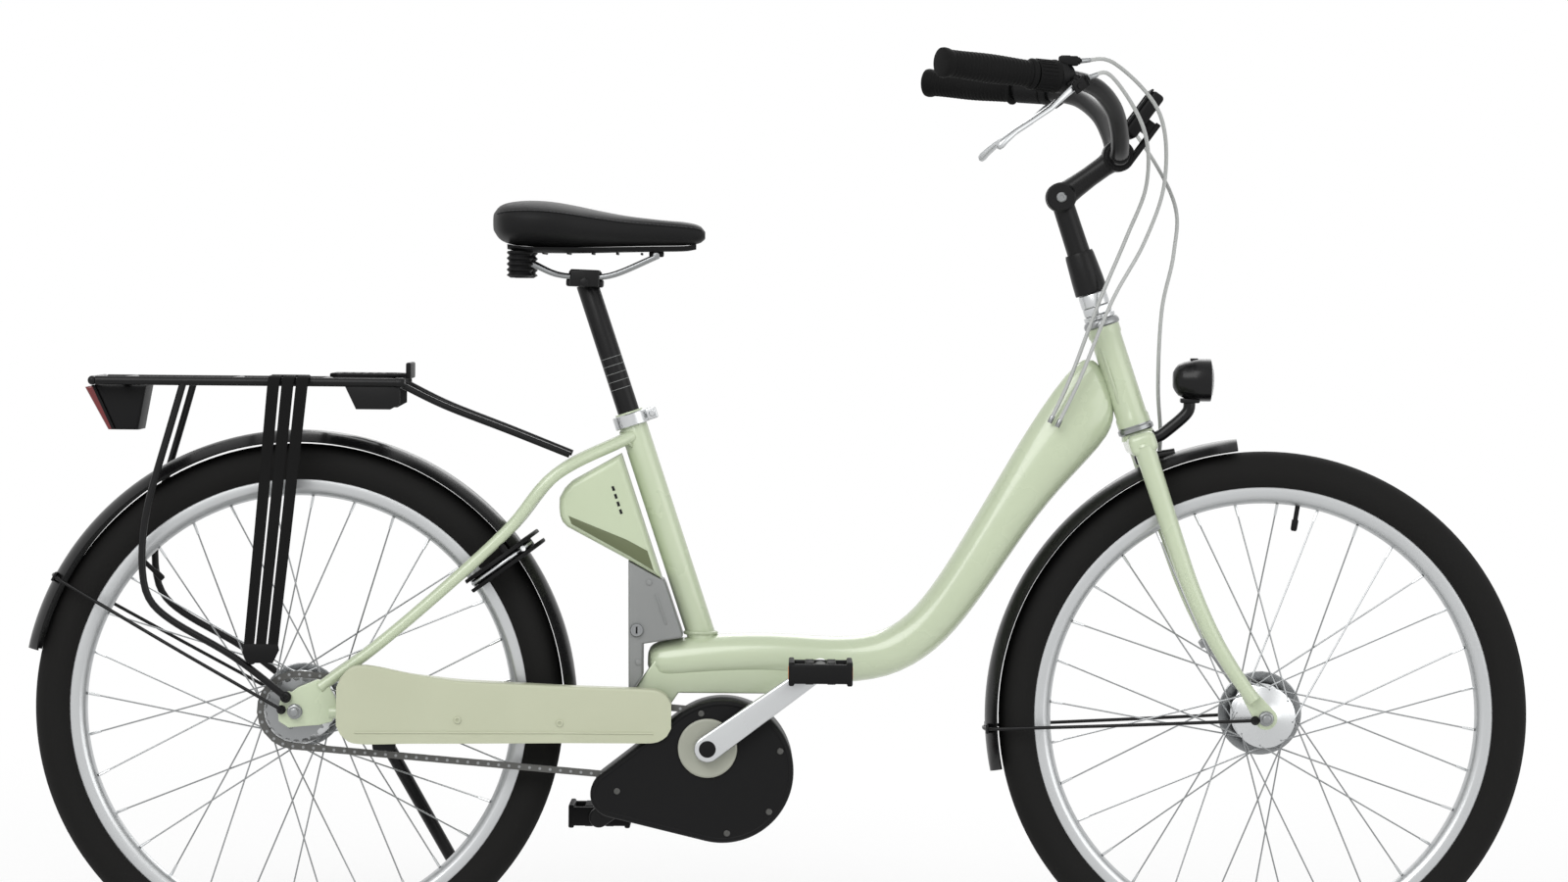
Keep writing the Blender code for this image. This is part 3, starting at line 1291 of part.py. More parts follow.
battery_outline = seat_outline(
    [
        (-0.047, -0.0245),
        (-0.060, -0.092),
        (-0.072, -0.112),
        (-0.100, -0.1195),
        (-0.1115, -0.1150),
        (-0.1735, -0.0560),
        (-0.208, -0.0245),
    ]
)
place("battery", plate(battery_outline, -BATTERY_HALF, BATTERY_HALF, 0.006), "battery", CASE)
dock_outline = [
    (0.407, 0.5154),
    (0.4505, 0.4914),
    (0.4535, 0.4849),
    (0.4741, 0.4250),
    (0.4741, 0.4205),
    (0.4255, 0.4126),
    (0.4255, 0.3724),
    (0.4085, 0.3466),
]
LOCK_AT = Vector((0.4180, 0.0, 0.4300))
LOCK_RADIUS = 0.0085
dock = plate(dock_outline, -DOCK_HALF, DOCK_HALF, 0.002)
lock_bore = LOCK_RADIUS / math.cos(math.pi / 12) + FIT
lock_floor = side_point(LOCK_AT, 0.012 - DOCK_HALF)
lock_hole = rod(side_point(LOCK_AT, -DOCK_HALF - 0.01), lock_floor, lock_bore, sides=12)
place("battery_dock", combine(dock, [lock_hole], "DIFFERENCE"), "frame", GREY_PLASTIC)
body("battery_lock", side_point(LOCK_AT, -DOCK_HALF), "frame")
barrel_front = side_point(LOCK_AT, -DOCK_HALF - 0.004)
barrel = rod(barrel_front, side_point(LOCK_AT, 0.0115 - DOCK_HALF), LOCK_RADIUS, sides=12)
key_slot = block(barrel_front, (0.0022, 0.006, 0.0085))
place("battery_lock", combine(barrel, [key_slot], "DIFFERENCE"), "battery_lock", STEEL)

# Seat post, its clamp and the saddle
seat_ring = ring(
    (SEAT_TUBE_RADIUS + CLEAR) / math.cos(math.pi / 12), 0.0220, -0.0185, -0.0025, SEAT_TOP, SEAT_UP, 16
)
ears_turn = Matrix.Translation(seat(-0.0105, 0.0265)) @ Matrix.Rotation(-SEAT_LEAN, 4, "Y")
seat_ears = block((0, 0, 0), (0.014, 0.014, 0.0150), ears_turn)
seat_bolt = rod(seat(-0.0105, 0.0275, -0.013), seat(-0.0105, 0.0275, 0.013), 0.0038, sides=8)
place("seat_clamp", combine(seat_ring, [seat_ears, seat_bolt]), "frame", SILVER)

HEAD_AT = 0.172
RAIL_RADIUS = 0.0036
RAIL_RUN = (
    (0.262, 0.038, 0.8920),
    (0.285, 0.035, 0.8810),
    (0.315, 0.024, 0.8680),
    (0.350, 0.022, 0.8650),
    (0.385, 0.022, 0.8680),
    (0.440, 0.014, 0.8918),
)


def seat_post_mesh():
    post = rod(seat(-POST_INSERT), seat(HEAD_AT - 0.006), POST_RADIUS, sides=12)
    head_turn = Matrix.Translation(Vector((0.350, 0.0, 0.8635))) @ Matrix.Rotation(math.radians(2), 4, "Y")
    head = block((0, 0, 0), (0.046, 0.058, 0.0220), head_turn, 0.003)
    bolt = rod((0.350, -0.0335, 0.8580), (0.350, 0.0335, 0.8580), 0.0055, sides=8)
    return combine(post, [head, bolt])


def rail_mesh(radius):
    rails = []
    for side in (-1, 1):
        run = [Vector((x, side * y, z)) for x, y, z in RAIL_RUN]
        rails.append(pipe(smooth_path(run, 9), radius, 1))
    return rails


post_solid = seat_post_mesh()
place(
    "seat_post",
    combine(post_solid, rail_mesh(RAIL_RADIUS + FIT), "DIFFERENCE"),
    "seat",
    BLACK_PAINT,
)
rails = rail_mesh(RAIL_RADIUS)
nose_bar = rod((0.438, -0.018, 0.8918), (0.438, 0.018, 0.8918), 0.0045, sides=8)
tail_bar = rod((0.264, -0.044, 0.8920), (0.264, 0.044, 0.8920), 0.0045, sides=8)
place("saddle_rails", combine(nose_bar, [rails[0], rails[1], tail_bar]), "seat", STEEL)

SADDLE_STATIONS = (
    (0.2375, 0.943, 0.920, 0.040),
    (0.2440, 0.951, 0.911, 0.066),
    (0.2560, 0.956, 0.905, 0.083),
    (0.2800, 0.9585, 0.902, 0.0945),
    (0.3050, 0.9575, 0.9015, 0.0955),
    (0.3350, 0.9530, 0.9015, 0.0860),
    (0.3650, 0.9470, 0.9020, 0.0680),
    (0.4000, 0.9410, 0.9030, 0.0480),
    (0.4400, 0.9370, 0.9040, 0.0330),
    (0.4750, 0.9335, 0.9050, 0.0260),
    (0.4920, 0.9290, 0.9080, 0.0200),
    (0.4980, 0.9220, 0.9130, 0.0120),
)
SADDLE_SIDES = 20


def saddle_mesh():
    """Crowned on top, drawn in below, flat underneath."""
    outlines = []
    for x, top, low, half in SADDLE_STATIONS:
        middle = low + (top - low) * 0.55
        points = []
        for i in range(SADDLE_SIDES):
            turn = math.tau * (i + 0.5) / SADDLE_SIDES
            c, s = math.cos(turn), math.sin(turn)
            y = half * math.copysign(abs(c) ** 0.72, c)
            rise = (top - middle) * abs(s) ** 0.85 if s > 0 else -(middle - low) * abs(s) ** 0.55
            if s < 0:
                y *= 1 - 0.12 * abs(s)
            points.append(Vector((x, y, middle + rise)))
        outlines.append(points)
    return skin(outlines)


place("saddle", saddle_mesh(), "seat", COVER)


SADDLE_UNDERSIDE = (
    (0.256, 0.9050, 0.060),
    (0.280, 0.9020, 0.080),
    (0.305, 0.9015, 0.082),
    (0.335, 0.9015, 0.070),
    (0.365, 0.9020, 0.053),
    (0.400, 0.9030, 0.036),
    (0.440, 0.9040, 0.024),
    (0.475, 0.9050, 0.018),
    (0.487, 0.9072, 0.013),
)


def saddle_base_mesh():
    """The shell under the cushion, with two rubber dampers below its wide end and a nose block."""
    outlines = []
    for x, low, half in SADDLE_UNDERSIDE:
        under = low - 2 * CLEAR
        outlines.append(
            [
                Vector((x, -half, under)),
                Vector((x, half, under)),
                Vector((x, half * 0.86, under - 0.0065)),
                Vector((x, -half * 0.86, under - 0.0065)),
            ]
        )
    shell = skin(outlines)
    parts = []
    for side in (-1, 1):
        at = Vector((0.272, side * 0.062, 0.0))
        parts.append(
            turned(
                [
                    (0.0, 0.8630),
                    (0.0130, 0.8630),
                    (0.0165, 0.8680),
                    (0.0165, 0.8760),
                    (0.0140, 0.8790),
                    (0.0165, 0.8830),
                    (0.0165, 0.8960),
                    (0.0, 0.8960),
                ],
                at,
                Z_AXIS,
                12,
            )
        )
    return combine(shell, parts)


place("saddle_base", saddle_base_mesh(), "seat", BLACK_PLASTIC)

# Mudguards with their wire stays
GUARD_HALF = MUDGUARD_WIDTH / 2
GUARD_SAG = 0.013
STAY_WIRE = 0.0022


def polar(axle, radius, turn, y=0.0):
    turn = math.radians(turn)
    return Vector((axle.x + radius * math.cos(turn), y, axle.z + radius * math.sin(turn)))


def mudguard_shell(axle, start, end, steps):
    rows = []
    for share in (-1.0, -0.62, 0.0, 0.62, 1.0):
        rows.append((share * GUARD_HALF, MUDGUARD_RADIUS - GUARD_SAG * abs(share) ** 2.2))
    section = rows + [(y * 0.97, r - MUDGUARD_WALL) for y, r in reversed(rows)]
    outlines = []
    for i in range(steps + 1):
        turn = start + (end - start) * i / steps
        outlines.append([polar(axle, r, turn, y) for y, r in section])
    return skin(outlines)


def stay_wire(axle, turn, hub_y, hub_radius, hub_turn):
    """A wire from one dropout over the mudguard to the other dropout."""
    half = [
        polar(axle, hub_radius, hub_turn, hub_y),
        polar(axle, MUDGUARD_RADIUS * 0.5, turn * 0.94 + hub_turn * 0.06, (hub_y + GUARD_HALF) / 2 + 0.004),
        polar(axle, MUDGUARD_RADIUS - GUARD_SAG - 0.006, turn, GUARD_HALF + 0.0036),
        polar(axle, MUDGUARD_RADIUS - GUARD_SAG * 0.30, turn, GUARD_HALF * 0.88),
        polar(axle, MUDGUARD_RADIUS + STAY_WIRE * 0.6, turn, GUARD_HALF * 0.40),
    ]
    other = [Vector((p.x, -p.y, p.z)) for p in reversed(half)]
    return pipe(half + other, STAY_WIRE, 1)


front_guard = mudguard_shell(FRONT_AXLE, 96.0, 192.0, 11)
front_wire_y = FRONT_INNER_WIDTH / 2 + DROPOUT_WALL + CLEAR + STAY_WIRE
front_wire = stay_wire(FRONT_AXLE, 183.0, front_wire_y, 0.0138, 190.0)
tab_top = steer(CROWN_HEIGHT - CLEAR - 0.006, -0.004)
tab = block(
    (0, 0, 0), (0.018, 0.022, 0.012), Matrix.Translation(tab_top) @ Matrix.Rotation(-HEAD_LEAN, 4, "Y")
)
neck = rod(tab_top, polar(FRONT_AXLE, MUDGUARD_RADIUS - 0.001, 109.0), 0.006, sides=8)
place("front_mudguard", combine(front_guard, [front_wire, tab, neck]), "steering", BLACK_PLASTIC)
rear_guard = mudguard_shell(REAR_AXLE, 5.0, 168.0, 16)
rear_wire_y = DROPOUT_Y + DROPOUT_WALL / 2 + 4 * CLEAR + STAY_WIRE
rear_wire = stay_wire(REAR_AXLE, 152.0, rear_wire_y, 0.0165, 172.0)
place("rear_mudguard", combine(rear_guard, [rear_wire]), "frame", BLACK_PLASTIC)

# Luggage rack of tube, with its spring clamp and elastic strap
DECK_HALF = RACK_WIDTH / 2
CLAMP_X = 0.118
RACK_STAY_FOOT = DROPOUT_Y + DROPOUT_WALL / 2 + CLEAR + RACK_TUBE * 0.78
# Side plates under the front of the deck
GUSSET_HALF = 0.0015
GUSSET_DEPTH = 0.033
GUSSET = (
    (0.056, RACK_TOP),
    (RACK_FRONT - 0.002, RACK_TOP),
    (RACK_FRONT - 0.002, RACK_TOP - GUSSET_DEPTH * 0.8),
    (0.114, RACK_TOP - GUSSET_DEPTH),
    (0.072, RACK_TOP - GUSSET_DEPTH),
)


def rack_mesh():
    cross = [rod((RACK_BACK, -DECK_HALF, RACK_TOP), (RACK_BACK, DECK_HALF, RACK_TOP), RACK_TUBE, sides=6)]
    for x, sides in ((-0.212, 6), (-0.080, 6), (0.030, 6), (CLAMP_X, 12)):
        cross.append(rod((x, -DECK_HALF, RACK_TOP), (x, DECK_HALF, RACK_TOP), RACK_TUBE, sides=sides))
    parts = []
    for side in (-1, 1):
        rail = [
            (RACK_BACK - 0.006, side * DECK_HALF, RACK_TOP),
            (RACK_FRONT, side * DECK_HALF, RACK_TOP),
        ]
        parts.append(pipe([Vector(p) for p in rail], RACK_TUBE, 1))
        loop = [
            (-0.140, side * DECK_HALF, RACK_TOP - 0.001),
            (-0.158, side * 0.067, 0.668),
            (-0.190, side * 0.070, 0.560),
            (-0.189, side * 0.073, 0.468),
            (-0.150, side * 0.076, 0.436),
            (-0.075, side * RACK_STAY_FOOT, 0.398),
            (-0.011, side * RACK_STAY_FOOT, 0.3465),
        ]
        parts.append(pipe([Vector(p) for p in loop], RACK_TUBE * 0.82, 1))
        strut = [
            (RACK_FRONT - 0.004, side * DECK_HALF * 0.94, RACK_TOP - 0.001),
            (0.180, side * 0.056, 0.705),
            (0.336, side * 0.044, 0.6448),
        ]
        parts.append(pipe([Vector(p) for p in strut], RACK_TUBE * 0.72, 1))
        parts.append(plate(GUSSET, side * DECK_HALF - GUSSET_HALF, side * DECK_HALF + GUSSET_HALF))
    return combine(cross[0], [joined(cross[1:])] + parts)


place("luggage_rack", rack_mesh(), "frame", BLACK_PAINT)
CLAMP_AXIS = Vector((CLAMP_X, 0.0, RACK_TOP))
body("rack_clamp", CLAMP_AXIS, "frame")
clamp_bore = (RACK_TUBE + FIT) / math.cos(math.pi / 12)
clamp_barrel = ring(clamp_bore, 0.0088, -0.030, 0.030, CLAMP_AXIS, Y_AXIS, 12)
clamp_plate = block((0.0800, 0, 0.7415), (0.084, 0.090, 0.0050), None, 0.0015)
clamp_lip = block((0.1345, 0, 0.7475), (0.0060, 0.090, 0.0200), None, 0.0015)
clamp_link = block((0.1265, 0, 0.7415), (0.018, 0.060, 0.0050))
place("rack_clamp", combine(clamp_plate, [clamp_barrel, clamp_link, clamp_lip]), "rack_clamp", BLACK_PLASTIC)

STRAP_TOP = RACK_TOP + RACK_TUBE + CLEAR
strap_outline = [
    (-0.033, STRAP_TOP + 0.0025),
    (0.015, STRAP_TOP + 0.0025),
    (-0.018, 0.404),
    (-0.026, 0.388),
    (-0.058, 0.388),
    (-0.064, 0.400),
]
strap = plate(strap_outline, -0.0875, -0.0850, 0.0)
strap_top = block((-0.009, -0.0680, STRAP_TOP + 0.00125), (0.0475, 0.0360, 0.0025))
hook = rod((-0.052, -0.0870, 0.3908), (-0.052, -0.0760, 0.3908), 0.0045, sides=8)
place("luggage_strap", combine(strap, [strap_top, hook]), "frame", RUBBER)

LIGHT_TOP = RACK_TOP - RACK_TUBE - CLEAR
LIGHT_DEPTH = 0.0552
LIGHT_HALF = 0.042
LIGHT_LEAN = 0.0255
LENS_THICKNESS = 0.0120
light_outline = [
    (RACK_BACK + 0.0005, LIGHT_TOP),
    (RACK_BACK + 0.064, LIGHT_TOP),
    (RACK_BACK + 0.054, LIGHT_TOP - LIGHT_DEPTH),
    (RACK_BACK + 0.0005 + LIGHT_LEAN, LIGHT_TOP - LIGHT_DEPTH),
]
lens_outline = [
    (RACK_BACK - LENS_THICKNESS, LIGHT_TOP - 0.003),
    (RACK_BACK + 0.0001, LIGHT_TOP),
    (RACK_BACK + 0.0001 + LIGHT_LEAN, LIGHT_TOP - LIGHT_DEPTH),
    (RACK_BACK + LIGHT_LEAN - LENS_THICKNESS * 0.7, LIGHT_TOP - LIGHT_DEPTH),
]
place("rear_light_housing", plate(light_outline, -LIGHT_HALF, LIGHT_HALF, 0.003), "frame", BLACK_PLASTIC)
place(
    "rear_light_lens",
    plate(lens_outline, 0.001 - LIGHT_HALF, LIGHT_HALF - 0.001, 0.002),
    "frame",
    ("red_lens", (0.55, 0.02, 0.02), 0.2, 0.0),
)

# Ring lock round the rear wheel, with a bolt that swings between the spokes
LOCK_TURN = 36.0
LOCK_REACH = 0.308
LOCK_INNER = 0.0425
LOCK_OUTER = 0.0605
LOCK_HALF = 0.0095
LOCK_MEAN = (LOCK_INNER + LOCK_OUTER) / 2
BOLT_HALF = 0.0042
LOCK_CENTRE = polar(REAR_AXLE, LOCK_REACH, LOCK_TURN)
LOCK_OUT = (LOCK_CENTRE - REAR_AXLE).normalized()
LOCK_NORMAL = LOCK_OUT.cross(Y_AXIS)
MOUTH = 38.0


def lock_point(radius, turn, off):
    """A point of the lock's ring: turn 0 is away from the hub, positive towards the left."""
    turn = math.radians(turn)
    return LOCK_CENTRE + (LOCK_OUT * math.cos(turn) + Y_AXIS * math.sin(turn)) * radius + LOCK_NORMAL * off


def lock_sweep(section, start, end, steps):
    outlines = []
    for i in range(steps + 1):
        turn = start + (end - start) * i / steps
        outlines.append([lock_point(r, turn, off) for r, off in section])
    return skin(outlines)


def reach_to_tube(start, way, low, high, radius):
    """How far a rod goes from start along way before it meets a tube between two points."""
    along = (high - low).normalized()
    offset = (start - low).cross(along)
    pace = way.cross(along)
    half = offset.dot(pace)
    root_part = half * half - pace.length_squared * (offset.length_squared - radius * radius)
    return (-half - math.sqrt(max(root_part, 0.0))) / pace.length_squared - 3 * CLEAR


groove = BOLT_HALF + FIT
lock_section = [
    (LOCK_INNER, -LOCK_HALF),
    (LOCK_OUTER, -LOCK_HALF),
    (LOCK_OUTER, -groove),
    (LOCK_MEAN - groove, -groove),
    (LOCK_MEAN - groove, groove),
    (LOCK_OUTER, groove),
    (LOCK_OUTER, LOCK_HALF),
    (LOCK_INNER, LOCK_HALF),
]
bolt_section = [
    (LOCK_MEAN - BOLT_HALF, -BOLT_HALF),
    (LOCK_MEAN + BOLT_HALF, -BOLT_HALF),
    (LOCK_MEAN + BOLT_HALF, BOLT_HALF),
    (LOCK_MEAN - BOLT_HALF, BOLT_HALF),
]
lock_ring = lock_sweep(lock_section, -180 + MOUTH, 180 - MOUTH, 18)
lock_pads = []
for side in (-1, 1):
    flip = Matrix.Diagonal((1, side, 1))
    low = flip @ SEAT_STAY_LOW
    high = flip @ SEAT_STAY_HIGH
    foot = lock_point(0.0560, side * 74, LOCK_HALF - 0.001)
    reach = reach_to_tube(foot, LOCK_NORMAL, low, high, SEAT_STAY_RADIUS * math.cos(math.pi / 6))
    lock_pads.append(rod(foot, foot + LOCK_NORMAL * reach, 0.004, sides=8))
place("ring_lock", combine(lock_ring, lock_pads), "frame", BLACK_PLASTIC)
body("lock_bolt", LOCK_CENTRE, "frame")
bolt = lock_sweep(bolt_section, -180 + MOUTH + 1, -180 + MOUTH + 111, 10)
knob = rod(lock_point(LOCK_MEAN, -60, 0), lock_point(LOCK_OUTER + 0.012, -60, 0), 0.0036, sides=8)
place("lock_bolt", combine(bolt, [knob]), "lock_bolt", STEEL)

# Side stand: a plate beside the left chain stay with a pin, and the leg that swings back and up
STAND_FOOT = Vector((0.237, 0.195, GROUND))
STAND_DOWN = (STAND_FOOT + Z_AXIS * 0.010 - STAND_PIVOT).normalized()
STAND_UP = Vector((-0.985, 0.03, -0.05)).normalized()
STAND_AXIS = STAND_DOWN.cross(STAND_UP).normalized()
STAND_TUBE = 0.0085
PIN_RADIUS = 0.0050
HUB_HALF = 0.0075
mount_plate = plate([(0.076, 0.333), (0.119, 0.333), (0.113, 0.270), (0.084, 0.268)], 0.0813, 0.0853, 0.001)
pin_in = STAND_PIVOT - STAND_AXIS * (HUB_HALF + 0.0080)
pin_out = STAND_PIVOT + STAND_AXIS * (HUB_HALF + 2 * CLEAR)
washer = STAND_PIVOT - STAND_AXIS * (HUB_HALF + CLEAR)
mount_parts = [
    rod(pin_in, pin_out + STAND_AXIS * 0.0012, PIN_RADIUS, sides=12),
    rod(washer, washer - STAND_AXIS * 0.0088, 0.0100, sides=12),
    rod(pin_out, pin_out + STAND_AXIS * 0.003, 0.0095, sides=12),
]
place("stand_mount", combine(mount_plate, mount_parts), "frame", BLACK_PAINT)
hub = ring(
    (PIN_RADIUS + FIT) / math.cos(math.pi / 12), 0.0135, -HUB_HALF, HUB_HALF, STAND_PIVOT, STAND_AXIS, 16
)
knee = STAND_PIVOT + STAND_DOWN * 0.0122
toe = STAND_FOOT + Z_AXIS * 0.020
leg = pipe([knee, STAND_PIVOT.lerp(toe, 0.5), toe], STAND_TUBE, 2)
foot = block(STAND_FOOT + Z_AXIS * 0.013, (0.046, 0.032, 0.020), None, 0.003)
pivot_line = Vector((0.0, 0.0, GROUND + TYRE_WIDTH / 2))
ground_turn = Matrix.Translation(pivot_line) @ Matrix.Rotation(LEAN, 4, "X") @ Matrix.Translation(-pivot_line)
ground = block((0, 0, 0), (0.2, 0.2, 0.1), ground_turn @ Matrix.Translation((0.237, 0.2, GROUND - 0.05)))
place("stand_leg", combine(combine(hub, [leg, foot]), [ground], "DIFFERENCE"), "stand", BLACK_PAINT)


# Cables: the front brake's turns with the fork, the other two cross the head set into the frame
def cable(points, steps):
    return pipe(smooth_path(points, steps), CABLE_RADIUS, 1)


bracket_back = LEVER_PIVOTS["left"] - LEVER_WAY * 0.0184
place(
    "front_brake_cable",
    cable(
        [
            bracket_back,
            BAR_CLAMP + Vector((-0.023, 0.238, 0.092)),
            BAR_CLAMP + Vector((0.032, 0.150, 0.030)),
            BAR_CLAMP + Vector((0.074, 0.060, -0.055)),
            BAR_CLAMP + Vector((0.072, 0.026, -0.120)),
            BAR_CLAMP + Vector((0.058, 0.026, -0.190)),
            steer(0.430, 0.045, 0.028),
            steer(0.372, 0.030, 0.036),
            steer(0.335, 0.016, 0.0395),
            steer(0.300, 0.004, 0.0395),
            steer(0.220, 0.003, 0.0395),
            steer(0.160, 0.006, 0.0400),
            steer(0.119, 0.004, 0.0410),
        ],
        16,
    ),
    "steering",
    GREY_PLASTIC,
)
place(
    "rear_brake_cable",
    cable(
        [
            Vector((bracket_back.x, -bracket_back.y, bracket_back.z)),
            BAR_CLAMP + Vector((-0.023, -0.236, 0.090)),
            BAR_CLAMP + Vector((0.022, -0.150, 0.030)),
            BAR_CLAMP + Vector((0.032, -0.060, -0.035)),
            BAR_CLAMP + Vector((0.010, -0.030, -0.100)),
            BAR_CLAMP + Vector((-0.023, -0.030, -0.180)),
            FRONT_AXLE + Vector((-0.244, -0.0325, 0.4165)),
            FRONT_AXLE + Vector((-0.269, -0.0325, 0.3615)),
        ],
        12,
    ),
    "frame",
    GREY_PLASTIC,
)
shifter_mouth = housing_mid + Vector((0.0268, 0.0, 0.0195))
place(
    "gear_cable",
    cable(
        [
            shifter_mouth,
            BAR_CLAMP + Vector((-0.018, -0.215, 0.106)),
            BAR_CLAMP + Vector((0.042, -0.130, 0.050)),
            BAR_CLAMP + Vector((0.054, -0.066, -0.030)),
            BAR_CLAMP + Vector((0.032, -0.040, -0.105)),
            BAR_CLAMP + Vector((-0.008, -0.038, -0.180)),
            FRONT_AXLE + Vector((-0.232, -0.0385, 0.4165)),
            FRONT_AXLE + Vector((-0.260, -0.0365, 0.3565)),
        ],
        12,
    ),
    "frame",
    GREY_PLASTIC,
)

# The upright bicycle leans over on its stand; the origin goes to the middle of the box's bottom
root = bodies["frame"][0]
root.rotation_euler = (-LEAN, 0.0, 0.0)
root.location = pivot_line - Matrix.Rotation(-LEAN, 3, "X") @ pivot_line
bpy.context.view_layer.update()
corners = []
for piece in bpy.data.objects:
    if piece.type == "MESH":
        corners += [piece.matrix_world @ v.co for v in piece.data.vertices]
root.location.x -= (min(p.x for p in corners) + max(p.x for p in corners)) / 2
root.location.y -= (min(p.y for p in corners) + max(p.y for p in corners)) / 2
root.location.z -= min(p.z for p in corners)
bpy.context.view_layer.update()
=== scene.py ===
import json
import math
import bmesh
import bpy
from mathutils import Matrix, Vector


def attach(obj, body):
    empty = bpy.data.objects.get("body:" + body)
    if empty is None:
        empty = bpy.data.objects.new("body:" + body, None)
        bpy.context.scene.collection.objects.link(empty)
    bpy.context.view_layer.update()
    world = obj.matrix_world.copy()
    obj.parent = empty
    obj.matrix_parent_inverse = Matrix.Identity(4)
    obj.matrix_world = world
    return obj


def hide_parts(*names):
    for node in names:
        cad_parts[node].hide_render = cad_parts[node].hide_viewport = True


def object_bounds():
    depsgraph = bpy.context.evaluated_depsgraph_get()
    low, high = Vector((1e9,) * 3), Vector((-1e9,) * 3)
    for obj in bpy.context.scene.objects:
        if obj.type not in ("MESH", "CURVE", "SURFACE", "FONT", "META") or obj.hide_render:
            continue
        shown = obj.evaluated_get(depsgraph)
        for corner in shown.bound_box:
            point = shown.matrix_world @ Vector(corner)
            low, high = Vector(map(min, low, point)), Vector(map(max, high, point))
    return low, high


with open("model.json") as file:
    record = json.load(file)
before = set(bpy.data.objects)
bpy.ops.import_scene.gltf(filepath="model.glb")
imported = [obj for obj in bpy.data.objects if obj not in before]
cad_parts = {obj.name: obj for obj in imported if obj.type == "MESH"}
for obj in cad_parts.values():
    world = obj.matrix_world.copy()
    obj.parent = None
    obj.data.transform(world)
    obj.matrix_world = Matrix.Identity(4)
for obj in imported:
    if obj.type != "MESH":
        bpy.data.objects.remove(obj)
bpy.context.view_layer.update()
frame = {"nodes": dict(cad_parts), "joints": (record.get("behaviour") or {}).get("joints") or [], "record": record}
print("frame loaded:", len(frame["nodes"]), "nodes")

# The bicycle leans on its stand. Pieces are modelled upright, with the rear axle over the origin.
tyreRadius = 0.3285
guardRadius = 0.3445
joints = {j["name"]: j for j in frame["joints"]}
wheelAxis = Vector(joints["rear_wheel_turn"]["axis"]).normalized()
lean = math.atan2(-wheelAxis.z, wheelAxis.y)
rearAxle = Vector((0.0, 0.0, tyreRadius))
leanOver = (
    Matrix.Translation(Vector(joints["rear_wheel_turn"]["pos_m"]))
    @ Matrix.Rotation(-lean, 4, "X")
    @ Matrix.Translation(-rearAxle)
)
upright = leanOver.inverted()
frontAxle = upright @ Vector(joints["front_wheel_turn"]["pos_m"])
crankCentre = upright @ Vector(joints["crank_turn"]["pos_m"])
steerUp = upright.to_3x3() @ Vector(joints["steering_turn"]["axis"])
steerUp = Vector((steerUp.x, 0.0, steerUp.z)).normalized()
steerAhead = Vector((steerUp.z, 0.0, -steerUp.x))
forkOffset = 0.04
steerFoot = frontAxle - steerAhead * forkOffset
seatTop = Vector((0.4049, 0.0, 0.6988))
seatUp = upright.to_3x3() @ Vector(joints["seat_height"]["axis"])
seatUp = Vector((seatUp.x, 0.0, seatUp.z)).normalized()
seatAhead = Vector((seatUp.z, 0.0, -seatUp.x))
sideways = Vector((0.0, 1.0, 0.0))


def steer(height, ahead=0.0, side=0.0):
    return steerFoot + steerUp * height + steerAhead * ahead + sideways * side


def seat(height, ahead=0.0, side=0.0):
    return seatTop + seatUp * height + seatAhead * ahead + sideways * side


# Shapes
def facing(way):
    return Vector((0, 0, 1)).rotation_difference(Vector(way).normalized()).to_matrix().to_4x4()


def axes(x, y, z, at):
    turn = Matrix((Vector(x), Vector(y), Vector(z))).transposed().to_4x4()
    return Matrix.Translation(Vector(at)) @ turn


def moveBy(x, y, z):
    return Matrix.Translation((x, y, z))


def around(turn):
    # The direction at a turn in the wheels' plane, in radians
    return Vector((math.cos(turn), 0.0, math.sin(turn)))


def soften(bm, edges, width, segments):
    bmesh.ops.bevel(
        bm, geom=edges, offset=width, segments=segments, profile=0.5, affect="EDGES", material=-1
    )


def merge(*shapes):
    whole = bmesh.new()
    for shape in shapes:
        mesh = bpy.data.meshes.new("part")
        shape.to_mesh(mesh)
        shape.free()
        whole.from_mesh(mesh)
        bpy.data.meshes.remove(mesh)
    return whole


def rod(start, end, radius, endRadius=None, sides=24, edge=0.0):
    start, end = Vector(start), Vector(end)
    bm = bmesh.new()
    endRadius = radius if endRadius is None else endRadius
    bmesh.ops.create_cone(bm, cap_ends=True, segments=sides, radius1=radius, radius2=endRadius,
                          depth=(end - start).length)
    if edge:
        rims = [e for e in bm.edges if abs(e.verts[0].co.z - e.verts[1].co.z) < 1e-7]
        soften(bm, rims, edge, 2)
    bm.transform(Matrix.Translation((start + end) / 2) @ facing(end - start))
    return bm


def box(size, place, edge, segments=3):
    bm = bmesh.new()
    bmesh.ops.create_cube(bm, size=1.0, matrix=Matrix.Diagonal((*size, 1.0)))
    soften(bm, bm.edges[:], edge, segments)
    bm.transform(place)
    return bm


def surround(endX, endSize, sideY, sideSize, high, lift, edge, place=Matrix.Identity(4)):
    # Four bars round a window: two at its ends and two along its sides
    ends = [box((*endSize, high), place @ moveBy(s * endX, 0, lift), edge) for s in (-1, 1)]
    return ends + [box((*sideSize, high), place @ moveBy(0, s * sideY, lift), edge) for s in (-1, 1)]


def lathe(profile, at, way, steps=48):
    bm = bmesh.new()
    verts = [bm.verts.new((r, 0.0, h)) for r, h in profile]
    edges = [bm.edges.new(pair) for pair in zip(verts, verts[1:])]
    if profile[0][0] > 1e-6 and profile[-1][0] > 1e-6:
        edges.append(bm.edges.new((verts[-1], verts[0])))
    bmesh.ops.spin(
        bm, geom=verts + edges, axis=(0, 0, 1), cent=(0, 0, 0), steps=steps, angle=math.tau, use_merge=True
    )
    bmesh.ops.remove_doubles(bm, verts=bm.verts, dist=1e-6)
    bm.transform(Matrix.Translation(Vector(at)) @ facing(way))
    return bm


